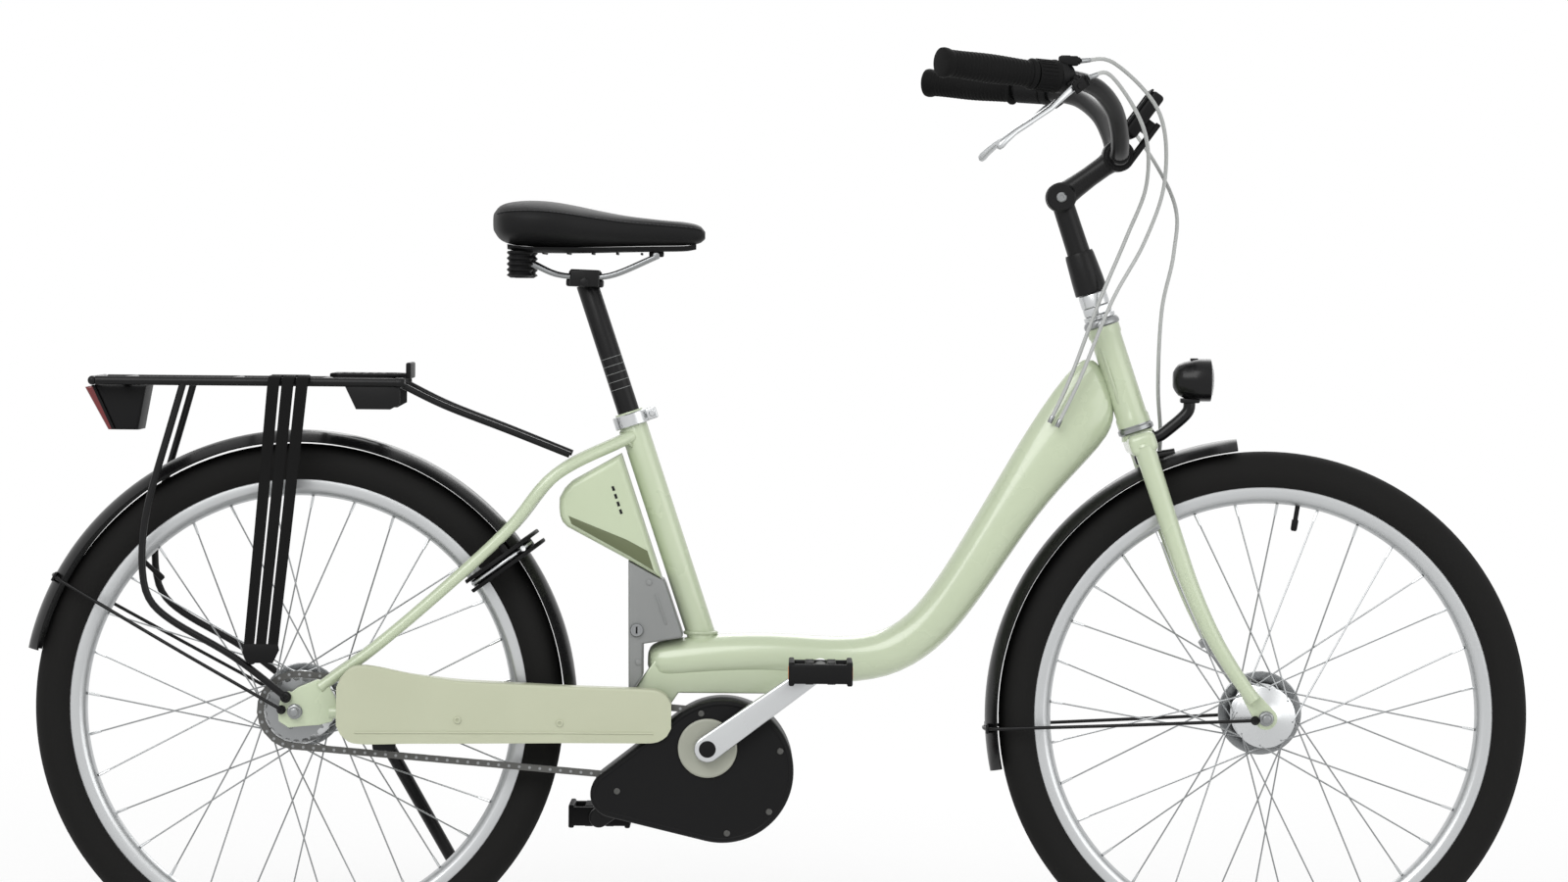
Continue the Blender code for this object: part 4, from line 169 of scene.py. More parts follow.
def tubeRing(inner, outer, start, end, at, way, steps, edge=0.0008):
    e = min(edge, (outer - inner) / 3, (end - start) / 3)
    wall = [(inner, start), (outer - e, start), (outer, start + e), (outer, end - e), (outer - e, end),
            (inner, end)]
    return lathe(wall, at, way, steps)


def plate(outline, low, high, edge=0.0, segments=3):
    # An outline of (x, z) points made into a slab from y low to y high.
    bm = bmesh.new()
    face = bm.faces.new([bm.verts.new((x, low, z)) for x, z in outline])
    rims = list(face.edges)
    made = bmesh.ops.extrude_face_region(bm, geom=[face])["geom"]
    lifted = [v for v in made if isinstance(v, bmesh.types.BMVert)]
    bmesh.ops.translate(bm, verts=lifted, vec=(0, high - low, 0))
    if edge:
        rims += [e for e in made if isinstance(e, bmesh.types.BMEdge)]
        soften(bm, rims, edge, segments)
    return bm


def arc(centre, radius, start, end, steps):
    points = []
    for i in range(steps + 1):
        turn = math.radians(start + (end - start) * i / steps)
        points.append((centre[0] + radius * math.cos(turn), centre[1] + radius * math.sin(turn)))
    return points


def drop(centre, radius, tip, tipRadius, steps, tipSteps):
    # Two circles and the lines that touch both, as seen from the side.
    span = Vector((tip.x - centre.x, tip.z - centre.z))
    way = math.degrees(math.atan2(span.y, span.x))
    spread = math.degrees(math.acos((radius - tipRadius) / span.length))
    big = arc((centre.x, centre.z), radius, way + spread, way + 360 - spread, steps)
    return big + arc((tip.x, tip.z), tipRadius, way - spread, way + spread, tipSteps)


def curved(points, count):
    # Evenly spread points on a smooth curve through the given ones.
    points = [Vector(p) for p in points]
    ends = [points[0] * 2 - points[1]] + points + [points[-1] * 2 - points[-2]]
    fine = []
    for a, b, c, d in zip(ends, ends[1:], ends[2:], ends[3:]):
        for i in range(12):
            t = i / 12
            bend = (2 * a - 5 * b + 4 * c - d) * t * t + (3 * b - a - 3 * c + d) * t * t * t
            fine.append(0.5 * (2 * b + (c - a) * t + bend))
    fine.append(points[-1])
    lengths = [0.0]
    for a, b in zip(fine, fine[1:]):
        lengths.append(lengths[-1] + (b - a).length)
    result, i = [], 0
    for step in range(count + 1):
        wanted = lengths[-1] * step / count
        while i < len(fine) - 2 and lengths[i + 1] < wanted:
            i += 1
        share = (wanted - lengths[i]) / max(lengths[i + 1] - lengths[i], 1e-9)
        result.append(fine[i].lerp(fine[i + 1], min(max(share, 0.0), 1.0)))
    return result


def wirePath(points, parts, rounds):
    # Straight runs between the points, split into equal parts and then rounded at the corners
    path = []
    for a, b in zip(points, points[1:]):
        path += [Vector(a).lerp(Vector(b), k / parts) for k in range(parts)]
    path.append(Vector(points[-1]))
    for _ in range(rounds):
        inner = [(a + b * 2 + c) / 4 for a, b, c in zip(path, path[1:], path[2:])]
        path = [path[0]] + inner + [path[-1]]
    return path


def tube(points, radius, endRadius=None, resolution=6, closed=False):
    # A bent tube with round ends of the given radii. Each ring of it is a curve's bevel.
    curve = bpy.data.curves.new("tube", "CURVE")
    curve.dimensions = "3D"
    curve.bevel_depth = radius
    curve.bevel_resolution = resolution
    curve.use_fill_caps = True
    spline = curve.splines.new("POLY")
    spline.points.add(len(points) - 1)
    spline.use_cyclic_u = closed
    for i, (at, point) in enumerate(zip(spline.points, points)):
        at.co = (*point, 1.0)
        if endRadius is not None:
            at.radius = 1.0 + (endRadius / radius - 1.0) * i / (len(points) - 1)
    holder = bpy.data.objects.new("tube", curve)
    bpy.context.scene.collection.objects.link(holder)
    bpy.context.view_layer.update()
    mesh = bpy.data.meshes.new_from_object(holder.evaluated_get(bpy.context.evaluated_depsgraph_get()))
    bpy.data.objects.remove(holder, do_unlink=True)
    bm = bmesh.new()
    bm.from_mesh(mesh)
    bmesh.ops.remove_doubles(bm, verts=bm.verts, dist=1e-6)
    return bm


def loft(stations, sides, power):
    # Rings of (centre, way, half height, half width), bridged one to the next. Width lies sideways.
    rings = []
    for centre, along, high, wide in stations:
        up = Vector(along).normalized().cross(sideways).normalized()
        rings.append((centre, sideways * wide, up * high))
    return ovals(rings, sides, power)


def ovals(stations, sides, power):
    # Rings of (centre, half width, half height) with the last two as vectors, bridged one to the next
    bm = bmesh.new()
    rings = []
    for centre, wide, high in stations:
        circle = bmesh.ops.create_circle(bm, cap_ends=False, radius=1.0, segments=sides)["verts"]
        for v in circle:
            x = math.copysign(abs(v.co.x) ** power, v.co.x)
            y = math.copysign(abs(v.co.y) ** power, v.co.y)
            v.co = Vector(centre) + Vector(wide) * x + Vector(high) * y
        rings.append(circle)
    for a, b in zip(rings, rings[1:]):
        loops = {e for v in a for e in v.link_edges if e.other_vert(v) in a}
        loops |= {e for v in b for e in v.link_edges if e.other_vert(v) in b}
        bmesh.ops.bridge_loops(bm, edges=list(loops))
    for end in (rings[0], rings[-1]):
        bmesh.ops.edgeloop_fill(bm, edges=list({e for v in end for e in v.link_edges if e.is_boundary}))
    return bm


def sweep(outlines):
    # Closed outlines with the same number of points, bridged one to the next and capped
    bm = bmesh.new()
    rings = []
    for outline in outlines:
        verts = [bm.verts.new(p) for p in outline]
        rings.append([bm.edges.new(pair) for pair in zip(verts, verts[1:] + verts[:1])])
    for a, b in zip(rings, rings[1:]):
        bmesh.ops.bridge_loops(bm, edges=a + b)
    for ring in (rings[0], rings[-1]):
        bmesh.ops.edgeloop_fill(bm, edges=ring)
    return bm


def mirrored(shape):
    copy = shape.copy()
    bmesh.ops.scale(copy, vec=(1, -1, 1), verts=copy.verts)
    bmesh.ops.reverse_faces(copy, faces=copy.faces)
    return copy


def screw(at, way, radius, height):
    # A round head with a sunk socket
    profile = [(0.0, 0.0), (radius, 0.0), (radius, height * 0.55), (radius * 0.78, height),
               (radius * 0.5, height), (radius * 0.46, height * 0.35), (0.0, height * 0.3)]
    return lathe(profile, at, way, 18)


def hexNut(at, way, radius, height):
    bm = rod(Vector(at), Vector(at) + Vector(way).normalized() * height, radius, sides=6)
    soften(bm, bm.edges[:], radius * 0.08, 2)
    return bm


def addPiece(name, shape, finish, body, node=None, sharp=32.0, fine=0):
    # Angles over sharp degrees stay crisp, and fine is the number of subdivisions
    bmesh.ops.remove_doubles(shape, verts=shape.verts, dist=1e-7)
    bmesh.ops.recalc_face_normals(shape, faces=shape.faces)
    mesh = bpy.data.meshes.new(name)
    shape.to_mesh(mesh)
    shape.free()
    mesh.transform(leanOver)
    mesh.materials.append(look[finish])
    mesh.shade_smooth()
    mesh.set_sharp_from_angle(angle=math.radians(sharp))
    piece = bpy.data.objects.new(name, mesh)
    bpy.context.scene.collection.objects.link(piece)
    if fine:
        step = piece.modifiers.new("round", "SUBSURF")
        step.levels = step.render_levels = fine
    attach(piece, body)
    if node:
        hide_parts(node)
    return piece


def srgb(r, g, b):
    # The colour as written in 0 to 255, in the linear values that the shader takes
    shares = (r / 255, g / 255, b / 255)
    return tuple((c / 12.92 if c <= 0.04045 else ((c + 0.055) / 1.055) ** 2.4) for c in shares)


def setInputs(node, values):
    for name, value in values.items():
        node.inputs[name].default_value = value


def addNode(tree, kind, values, sources, **settings):
    # A shader node with its constants, its settings and the outputs that feed it
    node = tree.nodes.new("ShaderNode" + kind)
    for name, value in settings.items():
        setattr(node, name, value)
    setInputs(node, values)
    for name, source in sources.items():
        tree.links.new(source, node.inputs[name])
    return node


def makeMaterial(name, facts):
    # Principled shader with broad colour drift, fine grain in the bump and worn roughness
    made = bpy.data.materials.new(name)
    made.use_nodes = True
    tree = made.node_tree
    shader = tree.nodes["Principled BSDF"]
    setInputs(shader, {
        "Metallic": facts.get("metal", 0.0), "Coat Weight": facts.get("coat", 0.0), "Coat Roughness": 0.08,
        "Specular IOR Level": facts.get("specular", 0.5), "Sheen Weight": facts.get("sheen", 0.0),
    })
    if "clear" in facts:
        setInputs(shader, {"Transmission Weight": facts["clear"], "IOR": 1.49})
    place = addNode(tree, "TexCoord", {}, {}).outputs["Object"]
    drift = addNode(tree, "TexNoise", {"Scale": 9.0, "Detail": 5.0}, {"Vector": place}).outputs["Fac"]
    first, rough = facts["colour"], facts["rough"]
    second = facts.get("second", tuple(c * 0.86 for c in first))
    tone = addNode(tree, "Mix", {}, {"Factor": drift}, data_type="RGBA")
    setInputs(tone, {"A": (*first, 1.0), "B": (*second, 1.0)})
    ends = {"From Min": 0.3, "From Max": 0.7, "To Min": rough, "To Max": rough + facts.get("wear", 0.08)}
    worn = addNode(tree, "MapRange", ends, {"Value": drift})
    grainKind = facts.get("grain", "noise")
    if grainKind == "brushed":
        place = addNode(tree, "Mapping", {"Scale": (1.0, 0.06, 1.0)}, {"Vector": place}).outputs["Vector"]
    if grainKind == "leather":
        grain = addNode(tree, "TexVoronoi", {}, {"Vector": place}, feature="SMOOTH_F1")
    else:
        grain = addNode(tree, "TexNoise", {"Detail": 3.0}, {"Vector": place})
    setInputs(grain, {"Scale": facts["grainScale"]})
    height = grain.outputs["Distance" if grainKind == "leather" else "Fac"]
    depths = {"Strength": facts["bump"], "Distance": facts.get("depth", 0.0002)}
    bump = addNode(tree, "Bump", depths, {"Height": height})
    tree.links.new(tone.outputs["Result"], shader.inputs["Base Color"])
    tree.links.new(worn.outputs["Result"], shader.inputs["Roughness"])
    tree.links.new(bump.outputs["Normal"], shader.inputs["Normal"])
    return made


paleGreen = srgb(187, 198, 170)
finishes = {
    "framePaint": ("frame_paint", dict(colour=paleGreen, second=srgb(179, 190, 162), rough=0.24, coat=0.5,
        grainScale=900, bump=0.03)),
    "weldPaint": ("frame_paint", dict(colour=srgb(176, 187, 159), rough=0.3, coat=0.4, grainScale=260,
        bump=0.5, depth=0.0004)),
    "blackPaint": ("black_paint", dict(colour=(0.004, 0.004, 0.0043), rough=0.34, specular=0.2, coat=0.04,
        grainScale=800, bump=0.05)),
    "matteBlack": ("black_plastic", dict(colour=(0.0042, 0.0042, 0.0045), rough=0.5, specular=0.15,
        grainScale=1400, bump=0.3, depth=0.0001)),
    "glossBlack": ("black_plastic", dict(colour=(0.004, 0.004, 0.0043), rough=0.24, specular=0.22, coat=0.05,
        grainScale=500, bump=0.02)),
    "greyPlastic": ("grey_plastic", dict(colour=srgb(133, 135, 134), rough=0.42, grainScale=1200, bump=0.15)),
    "capGrey": ("grey_plastic", dict(colour=srgb(158, 160, 147), rough=0.4, grainScale=1200, bump=0.12)),
    "cableSleeve": ("grey_plastic", dict(colour=srgb(176, 178, 176), rough=0.38, grainScale=1500, bump=0.1)),
    "gripRubber": ("rubber", dict(colour=(0.0045, 0.0045, 0.0045), rough=0.72, specular=0.13, grainScale=1800,
        bump=0.45)),
    "tyreRubber": ("tyre_rubber", dict(colour=(0.0065, 0.0065, 0.0062), second=(0.01, 0.0096, 0.0092),
        rough=0.76, specular=0.15, grainScale=900, bump=0.5)),
    "leatherBlack": ("saddle_cover", dict(colour=(0.0042, 0.0042, 0.0045), rough=0.5, specular=0.17,
        grain="leather", grainScale=620, bump=0.4, depth=0.0004, sheen=0.04)),
    "polishedSilver": ("silver", dict(colour=srgb(205, 207, 208), rough=0.24, metal=1.0, grainScale=700,
        bump=0.05)),
    "brushedSilver": ("silver", dict(colour=srgb(196, 198, 199), rough=0.32, metal=1.0, grain="brushed",
        grainScale=900, bump=0.25)),
    "brushedSteel": ("steel", dict(colour=srgb(150, 152, 153), rough=0.28, metal=1.0, grain="brushed",
        grainScale=700, bump=0.2)),
    "darkSteel": ("steel", dict(colour=srgb(96, 96, 94), rough=0.38, metal=1.0, grainScale=600, bump=0.25)),
    "guardOlive": ("guard_plastic", dict(colour=srgb(184, 188, 164), second=srgb(173, 177, 152), rough=0.38,
        grainScale=900, bump=0.1)),
    "batteryGreen": ("battery_case", dict(colour=paleGreen, second=srgb(178, 189, 160), rough=0.3, coat=0.3,
        grainScale=900, bump=0.05)),
    # Dark olive painted shade, laid as thin sheets along the battery's lower edge
    "paintedShadeOlive": ("battery_case", dict(colour=srgb(96, 104, 72), second=srgb(84, 92, 62), rough=0.34,
        grainScale=900, bump=0.08)),
    "threadGrey": ("saddle_cover", dict(colour=(0.05, 0.05, 0.052), rough=0.7, grainScale=2500, bump=0.3)),
    "motorBlack": ("motor_case", dict(colour=(0.0045, 0.0045, 0.004), rough=0.45, specular=0.16,
        grainScale=900, bump=0.35)),
    "redLens": ("red_lens", dict(colour=srgb(112, 8, 12), second=srgb(88, 6, 9), rough=0.16, coat=0.4,
        grainScale=300, bump=0.05)),
    "reflectorSilver": ("lens", dict(colour=srgb(214, 217, 220), rough=0.12, metal=1.0, grainScale=260,
        bump=0.3)),
    "amber": ("red_lens", dict(colour=srgb(226, 118, 12), rough=0.15, coat=0.7, grainScale=500, bump=0.2)),
    "clearLens": ("lens", dict(colour=(0.96, 0.97, 0.98), rough=0.03, wear=0.03, clear=0.9, grainScale=200,
        bump=0.02)),
    "screenGlass": ("lens", dict(colour=(0.03, 0.035, 0.034), rough=0.06, coat=0.6, grainScale=200,
        bump=0.01)),
}
look = {name: makeMaterial(name, facts) for name, (slotName, facts) in finishes.items()}


# Every CAD node has a finish, also where a piece stands for it later
nodeLooks = {
    "frame_paint": "framePaint", "black_paint": "blackPaint", "black_plastic": "matteBlack",
    "grey_plastic": "greyPlastic", "rubber": "gripRubber", "tyre_rubber": "tyreRubber",
    "saddle_cover": "leatherBlack", "silver": "polishedSilver", "steel": "brushedSteel",
    "guard_plastic": "guardOlive", "battery_case": "batteryGreen", "motor_case": "motorBlack",
    "red_lens": "redLens", "lens": "clearLens",
}
for entry in frame["record"]["subparts"]:
    node = frame["nodes"][entry["node"]]
    for cell in node.material_slots:
        cell.material = look[nodeLooks[entry["material_slot"]]]
print("materials made:", len(look))

# Camera, light and floor
view = {"middle": Vector((0.005, -0.024, 0.663)), "distance": 7.0, "width": 1.943, "roll": 0.49, "rise": 4.5,
        "floorHalf": 30}
lamps = {  # power in watts, size and place
    "key": (132, 3.2, (-1.6, -3.4, 3.6)),
    "fill": (40, 3.0, (3.2, -2.2, 1.8)),
    "rim": (55, 2.6, (0.4, 3.2, 2.8)),
}
worldLevel = 0.5
floorLook = {"grey": 0.94, "rough": 0.9, "near": 0.8, "far": 2.4, "nearWhite": 0.55}


def seenRays(tree):
    # 1 for what the camera sees, also in metal and through glass
    path = addNode(tree, "LightPath", {}, {})
    value = path.outputs["Is Camera Ray"]
    for kind in ("Is Glossy Ray", "Is Transmission Ray"):
        value = addNode(tree, "Math", {}, {0: value, 1: path.outputs[kind]},
                        operation="MAXIMUM").outputs["Value"]
    return value


def makeFloorMaterial():
    # Pale and plain. Seen directly it goes over to white, fully so away from the object
    # and less beside it, where its shadow lies.
    f = floorLook
    made = bpy.data.materials.new("floorWhite")
    made.use_nodes = True
    tree = made.node_tree
    shader = tree.nodes["Principled BSDF"]
    setInputs(shader, {"Base Color": (f["grey"], f["grey"], f["grey"], 1), "Roughness": f["rough"]})
    white = addNode(tree, "Emission", {"Color": (1, 1, 1, 1)}, {})
    coords = addNode(tree, "TexCoord", {}, {})
    reach = addNode(tree, "VectorMath", {}, {0: coords.outputs["Object"]}, operation="LENGTH")
    ends = {"From Min": f["near"], "From Max": f["far"], "To Min": f["nearWhite"], "To Max": 1.0}
    fade = addNode(tree, "MapRange", {}, {"Value": reach.outputs["Value"]}, interpolation_type="SMOOTHSTEP")
    setInputs(fade, ends)
    share = addNode(tree, "Math", {}, {0: seenRays(tree), 1: fade.outputs["Result"]}, operation="MULTIPLY")
    shaders = {"Fac": share.outputs["Value"], 1: shader.outputs["BSDF"], 2: white.outputs["Emission"]}
    blend = addNode(tree, "MixShader", {}, shaders)
    tree.links.new(blend.outputs["Shader"], tree.nodes["Material Output"].inputs["Surface"])
    return made


def makeStage():
    scene = bpy.context.scene
    scene.view_settings.view_transform = "Standard"
    data = bpy.data.cameras.new("camera")
    data.lens = data.sensor_width * view["distance"] / view["width"]
    camera = bpy.data.objects.new("camera", data)
    scene.collection.objects.link(camera)
    rise = math.radians(view["rise"])
    camera.location = view["middle"] + Vector((0, -math.cos(rise), math.sin(rise))) * view["distance"]
    aim = (view["middle"] - camera.location).to_track_quat("-Z", "Y").to_matrix()
    camera.rotation_euler = (aim @ Matrix.Rotation(math.radians(view["roll"]), 3, "Z")).to_euler()
    scene.camera = camera

    world = bpy.data.worlds.new("studio")
    world.use_nodes = True
    tree = world.node_tree
    background = tree.nodes["Background"]
    setInputs(background, {"Color": (1, 1, 1, 1)})
    level = addNode(tree, "MapRange", {"To Min": worldLevel, "To Max": 1.0}, {"Value": seenRays(tree)})
    tree.links.new(level.outputs["Result"], background.inputs["Strength"])
    scene.world = world

    for name, (power, size, at) in lamps.items():
        lamp = bpy.data.lights.new(name, "AREA")
        lamp.energy, lamp.size = power, size
        holder = bpy.data.objects.new(name, lamp)
        scene.collection.objects.link(holder)
        holder.location = at
        holder.rotation_euler = (Vector((0, 0, 0.5)) - Vector(at)).to_track_quat("-Z", "Y").to_euler()

    bm = bmesh.new()
    bmesh.ops.create_grid(bm, x_segments=1, y_segments=1, size=view["floorHalf"])
    mesh = bpy.data.meshes.new("floor")
    bm.to_mesh(mesh)
    bm.free()
    mesh.materials.append(makeFloorMaterial())
    ground = bpy.data.objects.new("floor", mesh)
    ground.location.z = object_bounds()[0][2] - 0.0005
    scene.collection.objects.link(ground)


makeStage()
print("stage made")

# Wheels
wheel = {
    "steps": 160, "tyreHalf": 0.025, "treadHeight": 0.0013, "treadGap": 0.001, "treadTaper": 0.0003,
    "treadSlant": 2.6, "wrap": 137, "beadRadius": 0.287, "beadOut": 0.0142, "beadIn": 0.0115,
    "rimInner": 0.263, "rimEdge": 0.2867, "rimHalf": 0.015, "spokes": 32, "phase": math.radians(7.9),
    "crossing": math.radians(62), "spoke": 0.001, "nipple": 0.0019, "bore": 0.0053,
}


def makeTyre(axle):
    w = wheel
    half, bead = w["tyreHalf"], w["beadRadius"]
    centre = tyreRadius - w["treadHeight"] - half
    outer, count = [], 22
    for i in range(count + 1):
        turn = math.radians(-w["wrap"] + 2 * w["wrap"] * i / count)
        swell = 1.0 + 0.012 * math.cos(3 * turn)
        outer.append((centre + half * swell * math.cos(turn), half * 0.985 * math.sin(turn)))
    inner = [(r + (centre - r) * 0.13, y * 0.86) for r, y in reversed(outer)]
    profile = [(bead, -w["beadOut"])] + outer + [(bead, w["beadOut"]), (bead, w["beadIn"])]
    bm = lathe(profile + inner + [(bead, -w["beadIn"])], (0, 0, 0), (0, 0, 1), w["steps"])
    # Slanted tread: the crown's points are turned on by how far off centre they lie
    for v in bm.verts:
        if math.hypot(v.co.x, v.co.y) > centre + half * 0.45:
            v.co = Matrix.Rotation(abs(v.co.z) * w["treadSlant"], 3, "Z") @ v.co
    crown = []
    for f in bm.faces:
        middle = f.calc_center_median()
        reach = math.hypot(middle.x, middle.y)
        if reach > centre + half * 0.52 and f.normal.dot(Vector((middle.x, middle.y, 0))) > 0:
            crown.append(f)
    bmesh.ops.inset_individual(bm, faces=crown, thickness=w["treadGap"], depth=0.0)
    bmesh.ops.inset_individual(bm, faces=crown, thickness=w["treadTaper"], depth=w["treadHeight"])
    bm.transform(Matrix.Translation(axle) @ facing(sideways))
    return bm


def makeRim(axle):
    w = wheel
    low, high, half = w["rimInner"], w["rimEdge"], w["rimHalf"]
    right = [
        (low + 0.0005, -0.005), (low + 0.003, -0.0095), (low + 0.008, -half + 0.0008), (low + 0.0105, -half),
        (high - 0.0012, -half), (high, -half + 0.0006), (high, -half + 0.002),
        (high - 0.0015, -half + 0.0026), (low + 0.012, -half + 0.003), (low + 0.0092, -0.008),
    ]
    profile = [(low, 0.0)] + right + [(radius, -y) for radius, y in reversed(right)]
    return lathe(profile, axle, sideways, w["steps"])


def makeSpokes(axle, flangeRadius, flanges):
    # Crossed spokes with a bent head in the flange and a nipple in the rim
    w = wheel
    wires, nipples = [], []
    for i in range(w["spokes"]):
        side = i % 2
        head = 1 if (i // 2) % 2 else -1
        rimTurn = w["phase"] + math.tau * i / w["spokes"]
        hubTurn = rimTurn + head * w["crossing"]
        y = flanges[side] + head * 0.0016
        start = axle + around(hubTurn) * flangeRadius + sideways * y
        reach = w["rimInner"] - 0.0002
        end = axle + around(rimTurn) * reach + sideways * (0.004, -0.004)[side]
        way = (end - start).normalized()
        wires.append(rod(start, end - way * 0.008, w["spoke"], sides=8))
        bend = sideways * head
        wires.append(rod(start - bend * 0.003, start + bend * 0.0012, w["spoke"] * 1.1, sides=8))
        nipples.append(rod(end - way * 0.0145, end, w["nipple"] * 0.85, w["nipple"], sides=8))
    return merge(*wires), merge(*nipples)


def makeHub(axle, flanges, shell, rightEnd, leftEnd):
    lip, bore = shell + 0.008, wheel["bore"]
    right, left = flanges
    flange = [(lip - 0.002, -0.0022), (lip, -0.0012), (lip, 0.0012), (lip - 0.002, 0.0022)]
    profile = [
        (bore, rightEnd), (0.0125, rightEnd), (0.013, rightEnd + 0.001), (0.013, right - 0.008),
        (shell * 0.72, right - 0.0045), *((radius, right + y) for radius, y in flange),
        (shell + 0.001, right + 0.004), (shell, right + 0.008), (shell * 0.97, (right + left) / 2),
        (shell, left - 0.008), (shell + 0.001, left - 0.004), *((radius, left + y) for radius, y in flange),
        (shell * 0.72, left + 0.0045), (0.013, left + 0.006), (0.013, leftEnd), (bore, leftEnd),
    ]
    return lathe(profile, axle, sideways, 64)


def makeValve(axle, turn):
    way = around(turn)
    foot = axle + way * (wheel["rimInner"] + 0.001)
    stem = rod(foot, foot - way * 0.02, 0.003, sides=16)
    cap = [(0, 0), (0.004, 0), (0.0042, 0.002), (0.004, 0.012), (0.0028, 0.014), (0, 0.014)]
    return merge(stem, lathe(cap, foot - way * 0.018, -way, 16))


for side, axle, shell, flanges, ends in (
    ("front", frontAxle, 0.03, (-0.034, 0.026), (-0.047, 0.034)),
    ("rear", rearAxle, 0.036, (-0.034, 0.03), (-0.0635, 0.038)),
):
    body = side + "_wheel"
    addPiece(side + "Tyre", makeTyre(axle), "tyreRubber", body, side + "_tyre")
    addPiece(side + "Rim", makeRim(axle), "brushedSilver", body, side + "_rim", sharp=50)
    wires, nipples = makeSpokes(axle, shell + 0.005, flanges)
    addPiece(side + "Spokes", wires, "brushedSteel", body, sharp=38)
    addPiece(side + "Nipples", nipples, "polishedSilver", body, sharp=38)
    hub = makeHub(axle, flanges, shell, *ends)
    addPiece(side + "HubShell", hub, "polishedSilver", body, side + "_hub_and_spokes", sharp=30)
    valveTurn = wheel["phase"] + math.tau * (6.5 if side == "front" else 11.5) / wheel["spokes"]
    addPiece(side + "Valve", makeValve(axle, valveTurn), "matteBlack", body, sharp=38)
print("wheels made")

# Frame: main tube, head and seat tube, stays, dropouts and their welds
frameSizes = {
    "headRadius": 0.0195, "headLow": 0.392, "headHigh": 0.52, "seatRadius": 0.0175, "seatLow": 0.298,
    "stay": 0.009, "seatStay": 0.0078, "dropoutY": 0.0705, "weld": 0.0024, "seatWeldZ": 0.4255,
}
# The right and left stays from end to end, as distances ahead of the rear axle, aside and up
chainStayRun = [(0.44, 0.037, 0.318), (0.385, 0.041, 0.317), (0.3, 0.044, 0.316), (0.2, 0.055, 0.32),
                (0.11, 0.0705, 0.324), (0.042, 0.0705, 0.328)]
seatStayRun = [(0.03, 0.0705, 0.358), (0.1, 0.064, 0.41), (0.19, 0.056, 0.488), (0.262, 0.0525, 0.556),
               (0.318, 0.052, 0.622), tuple(seat(-0.03, -0.004, 0.012))]


def beside(points, side):
    return [Vector((x, side * y, z)) for x, y, z in points]


def makeMainTube():
    half = 0.029
    head = steer(0.46, -frameSizes["headRadius"] * 0.55)
    stations = [
        ((0.43, 0, 0.385), 0.026, 0.03), ((0.462, 0, 0.39), 0.0285, 0.0312),
        ((0.52, 0, 0.396), half, 0.0316), ((0.59, 0, 0.398), half, 0.0316),
        ((0.655, 0, 0.392), half, 0.0316), ((0.722, 0, 0.396), half, 0.0316),
        ((0.772, 0, 0.426), half, 0.0316), ((0.812, 0, 0.476), half, 0.0316),
        ((0.853, 0, 0.541), 0.0308, 0.0312), ((0.897, 0, 0.611), 0.034, 0.0302),
        ((0.945, 0, 0.675), 0.044, 0.0272), (head, 0.056, 0.0168),
    ]
    places = [Vector(s[0]) for s in stations]
    rings = []
    for i, (centre, high, wide) in enumerate(stations):
        along = places[min(i + 1, len(places) - 1)] - places[max(i - 1, 0)]
        rings.append((centre, steerAhead if i == len(places) - 1 else along, high, wide))
    return loft(rings, 20, 0.92)


def weldRing(centre, way, high, wide):
    # A bead of molten drops along an oval seam
    up = Vector(way).normalized().cross(sideways).normalized()
    points, steps, drops = [], 120, 34
    for i in range(steps):
        turn = math.tau * i / steps
        bulge = 1.0 + 0.012 * math.sin(turn * drops)
        across, rise = math.cos(turn) * wide * bulge, math.sin(turn) * high * bulge
        points.append(Vector(centre) + sideways * across + up * rise)
    return tube(points, frameSizes["weld"], resolution=3, closed=True)


def makeFrameTubes():
    f = frameSizes
    parts = []
    headLength = f["headHigh"] - f["headLow"]
    r = f["headRadius"]
    collar, inside = r + 0.0014, r - 0.003
    head = [(inside, 0), (collar, 0), (collar, 0.01), (r, 0.013), (r, headLength - 0.013),
            (collar, headLength - 0.01), (collar, headLength), (inside, headLength)]
    parts.append(lathe(head, steer(f["headLow"]), steerUp, 48))
    parts.append(rod(seat(-f["seatLow"]), seat(-0.0003), f["seatRadius"], sides=40, edge=0.0006))
    for side in (-1, 1):
        parts.append(tube(beside(curved(chainStayRun, 36), side), f["stay"], f["stay"] * 0.86))
        parts.append(tube(beside(curved(seatStayRun, 36), side), f["seatStay"] * 0.9, f["seatStay"]))
        parts.append(rod((0.414, side * 0.017, 0.318), (0.446, side * 0.0455, 0.318), 0.0142, sides=32,
                         edge=0.002))
    # The two bridges that carry the rear mudguard
    for turn, radius, reach in ((41.0, 0.006, 0.054), (-2.0, 0.007, 0.043)):
        middle = rearAxle + around(math.radians(turn)) * (guardRadius + 0.0003 + radius)
        parts.append(rod(middle - sideways * reach, middle + sideways * reach, radius, sides=20))
    return merge(*parts)


def makeMotorBracket():
    outline = [(0.405, 0.3), (0.425, 0.285), (0.47, 0.352), (0.62, 0.352), (0.632, 0.366), (0.628, 0.392),
               (0.44, 0.392), (0.405, 0.34)]
    return plate(outline, -0.027, 0.027, 0.0022)


def makeDropouts():
    f = frameSizes
    parts = []
    for side in (-1, 1):
        low, high = sorted((side * (f["dropoutY"] - 0.003), side * (f["dropoutY"] + 0.003)))
        outline = [(-0.02, 0.3165), (-0.021, 0.33), (-0.018, 0.3425), (0.004, 0.3585), (0.028, 0.3685),
                   (0.04, 0.364), (0.05, 0.345), (0.052, 0.333), (0.046, 0.3165), (0.03, 0.312),
                   (0.012, 0.3105), (-0.008, 0.3085)]
        parts.append(plate(outline, low, high, 0.0012))
        parts.append(tubeRing(0.0026, 0.0052, -0.0036, 0.0036, (-0.008, side * f["dropoutY"], 0.348),
                              sideways, 20))
    return merge(*parts)


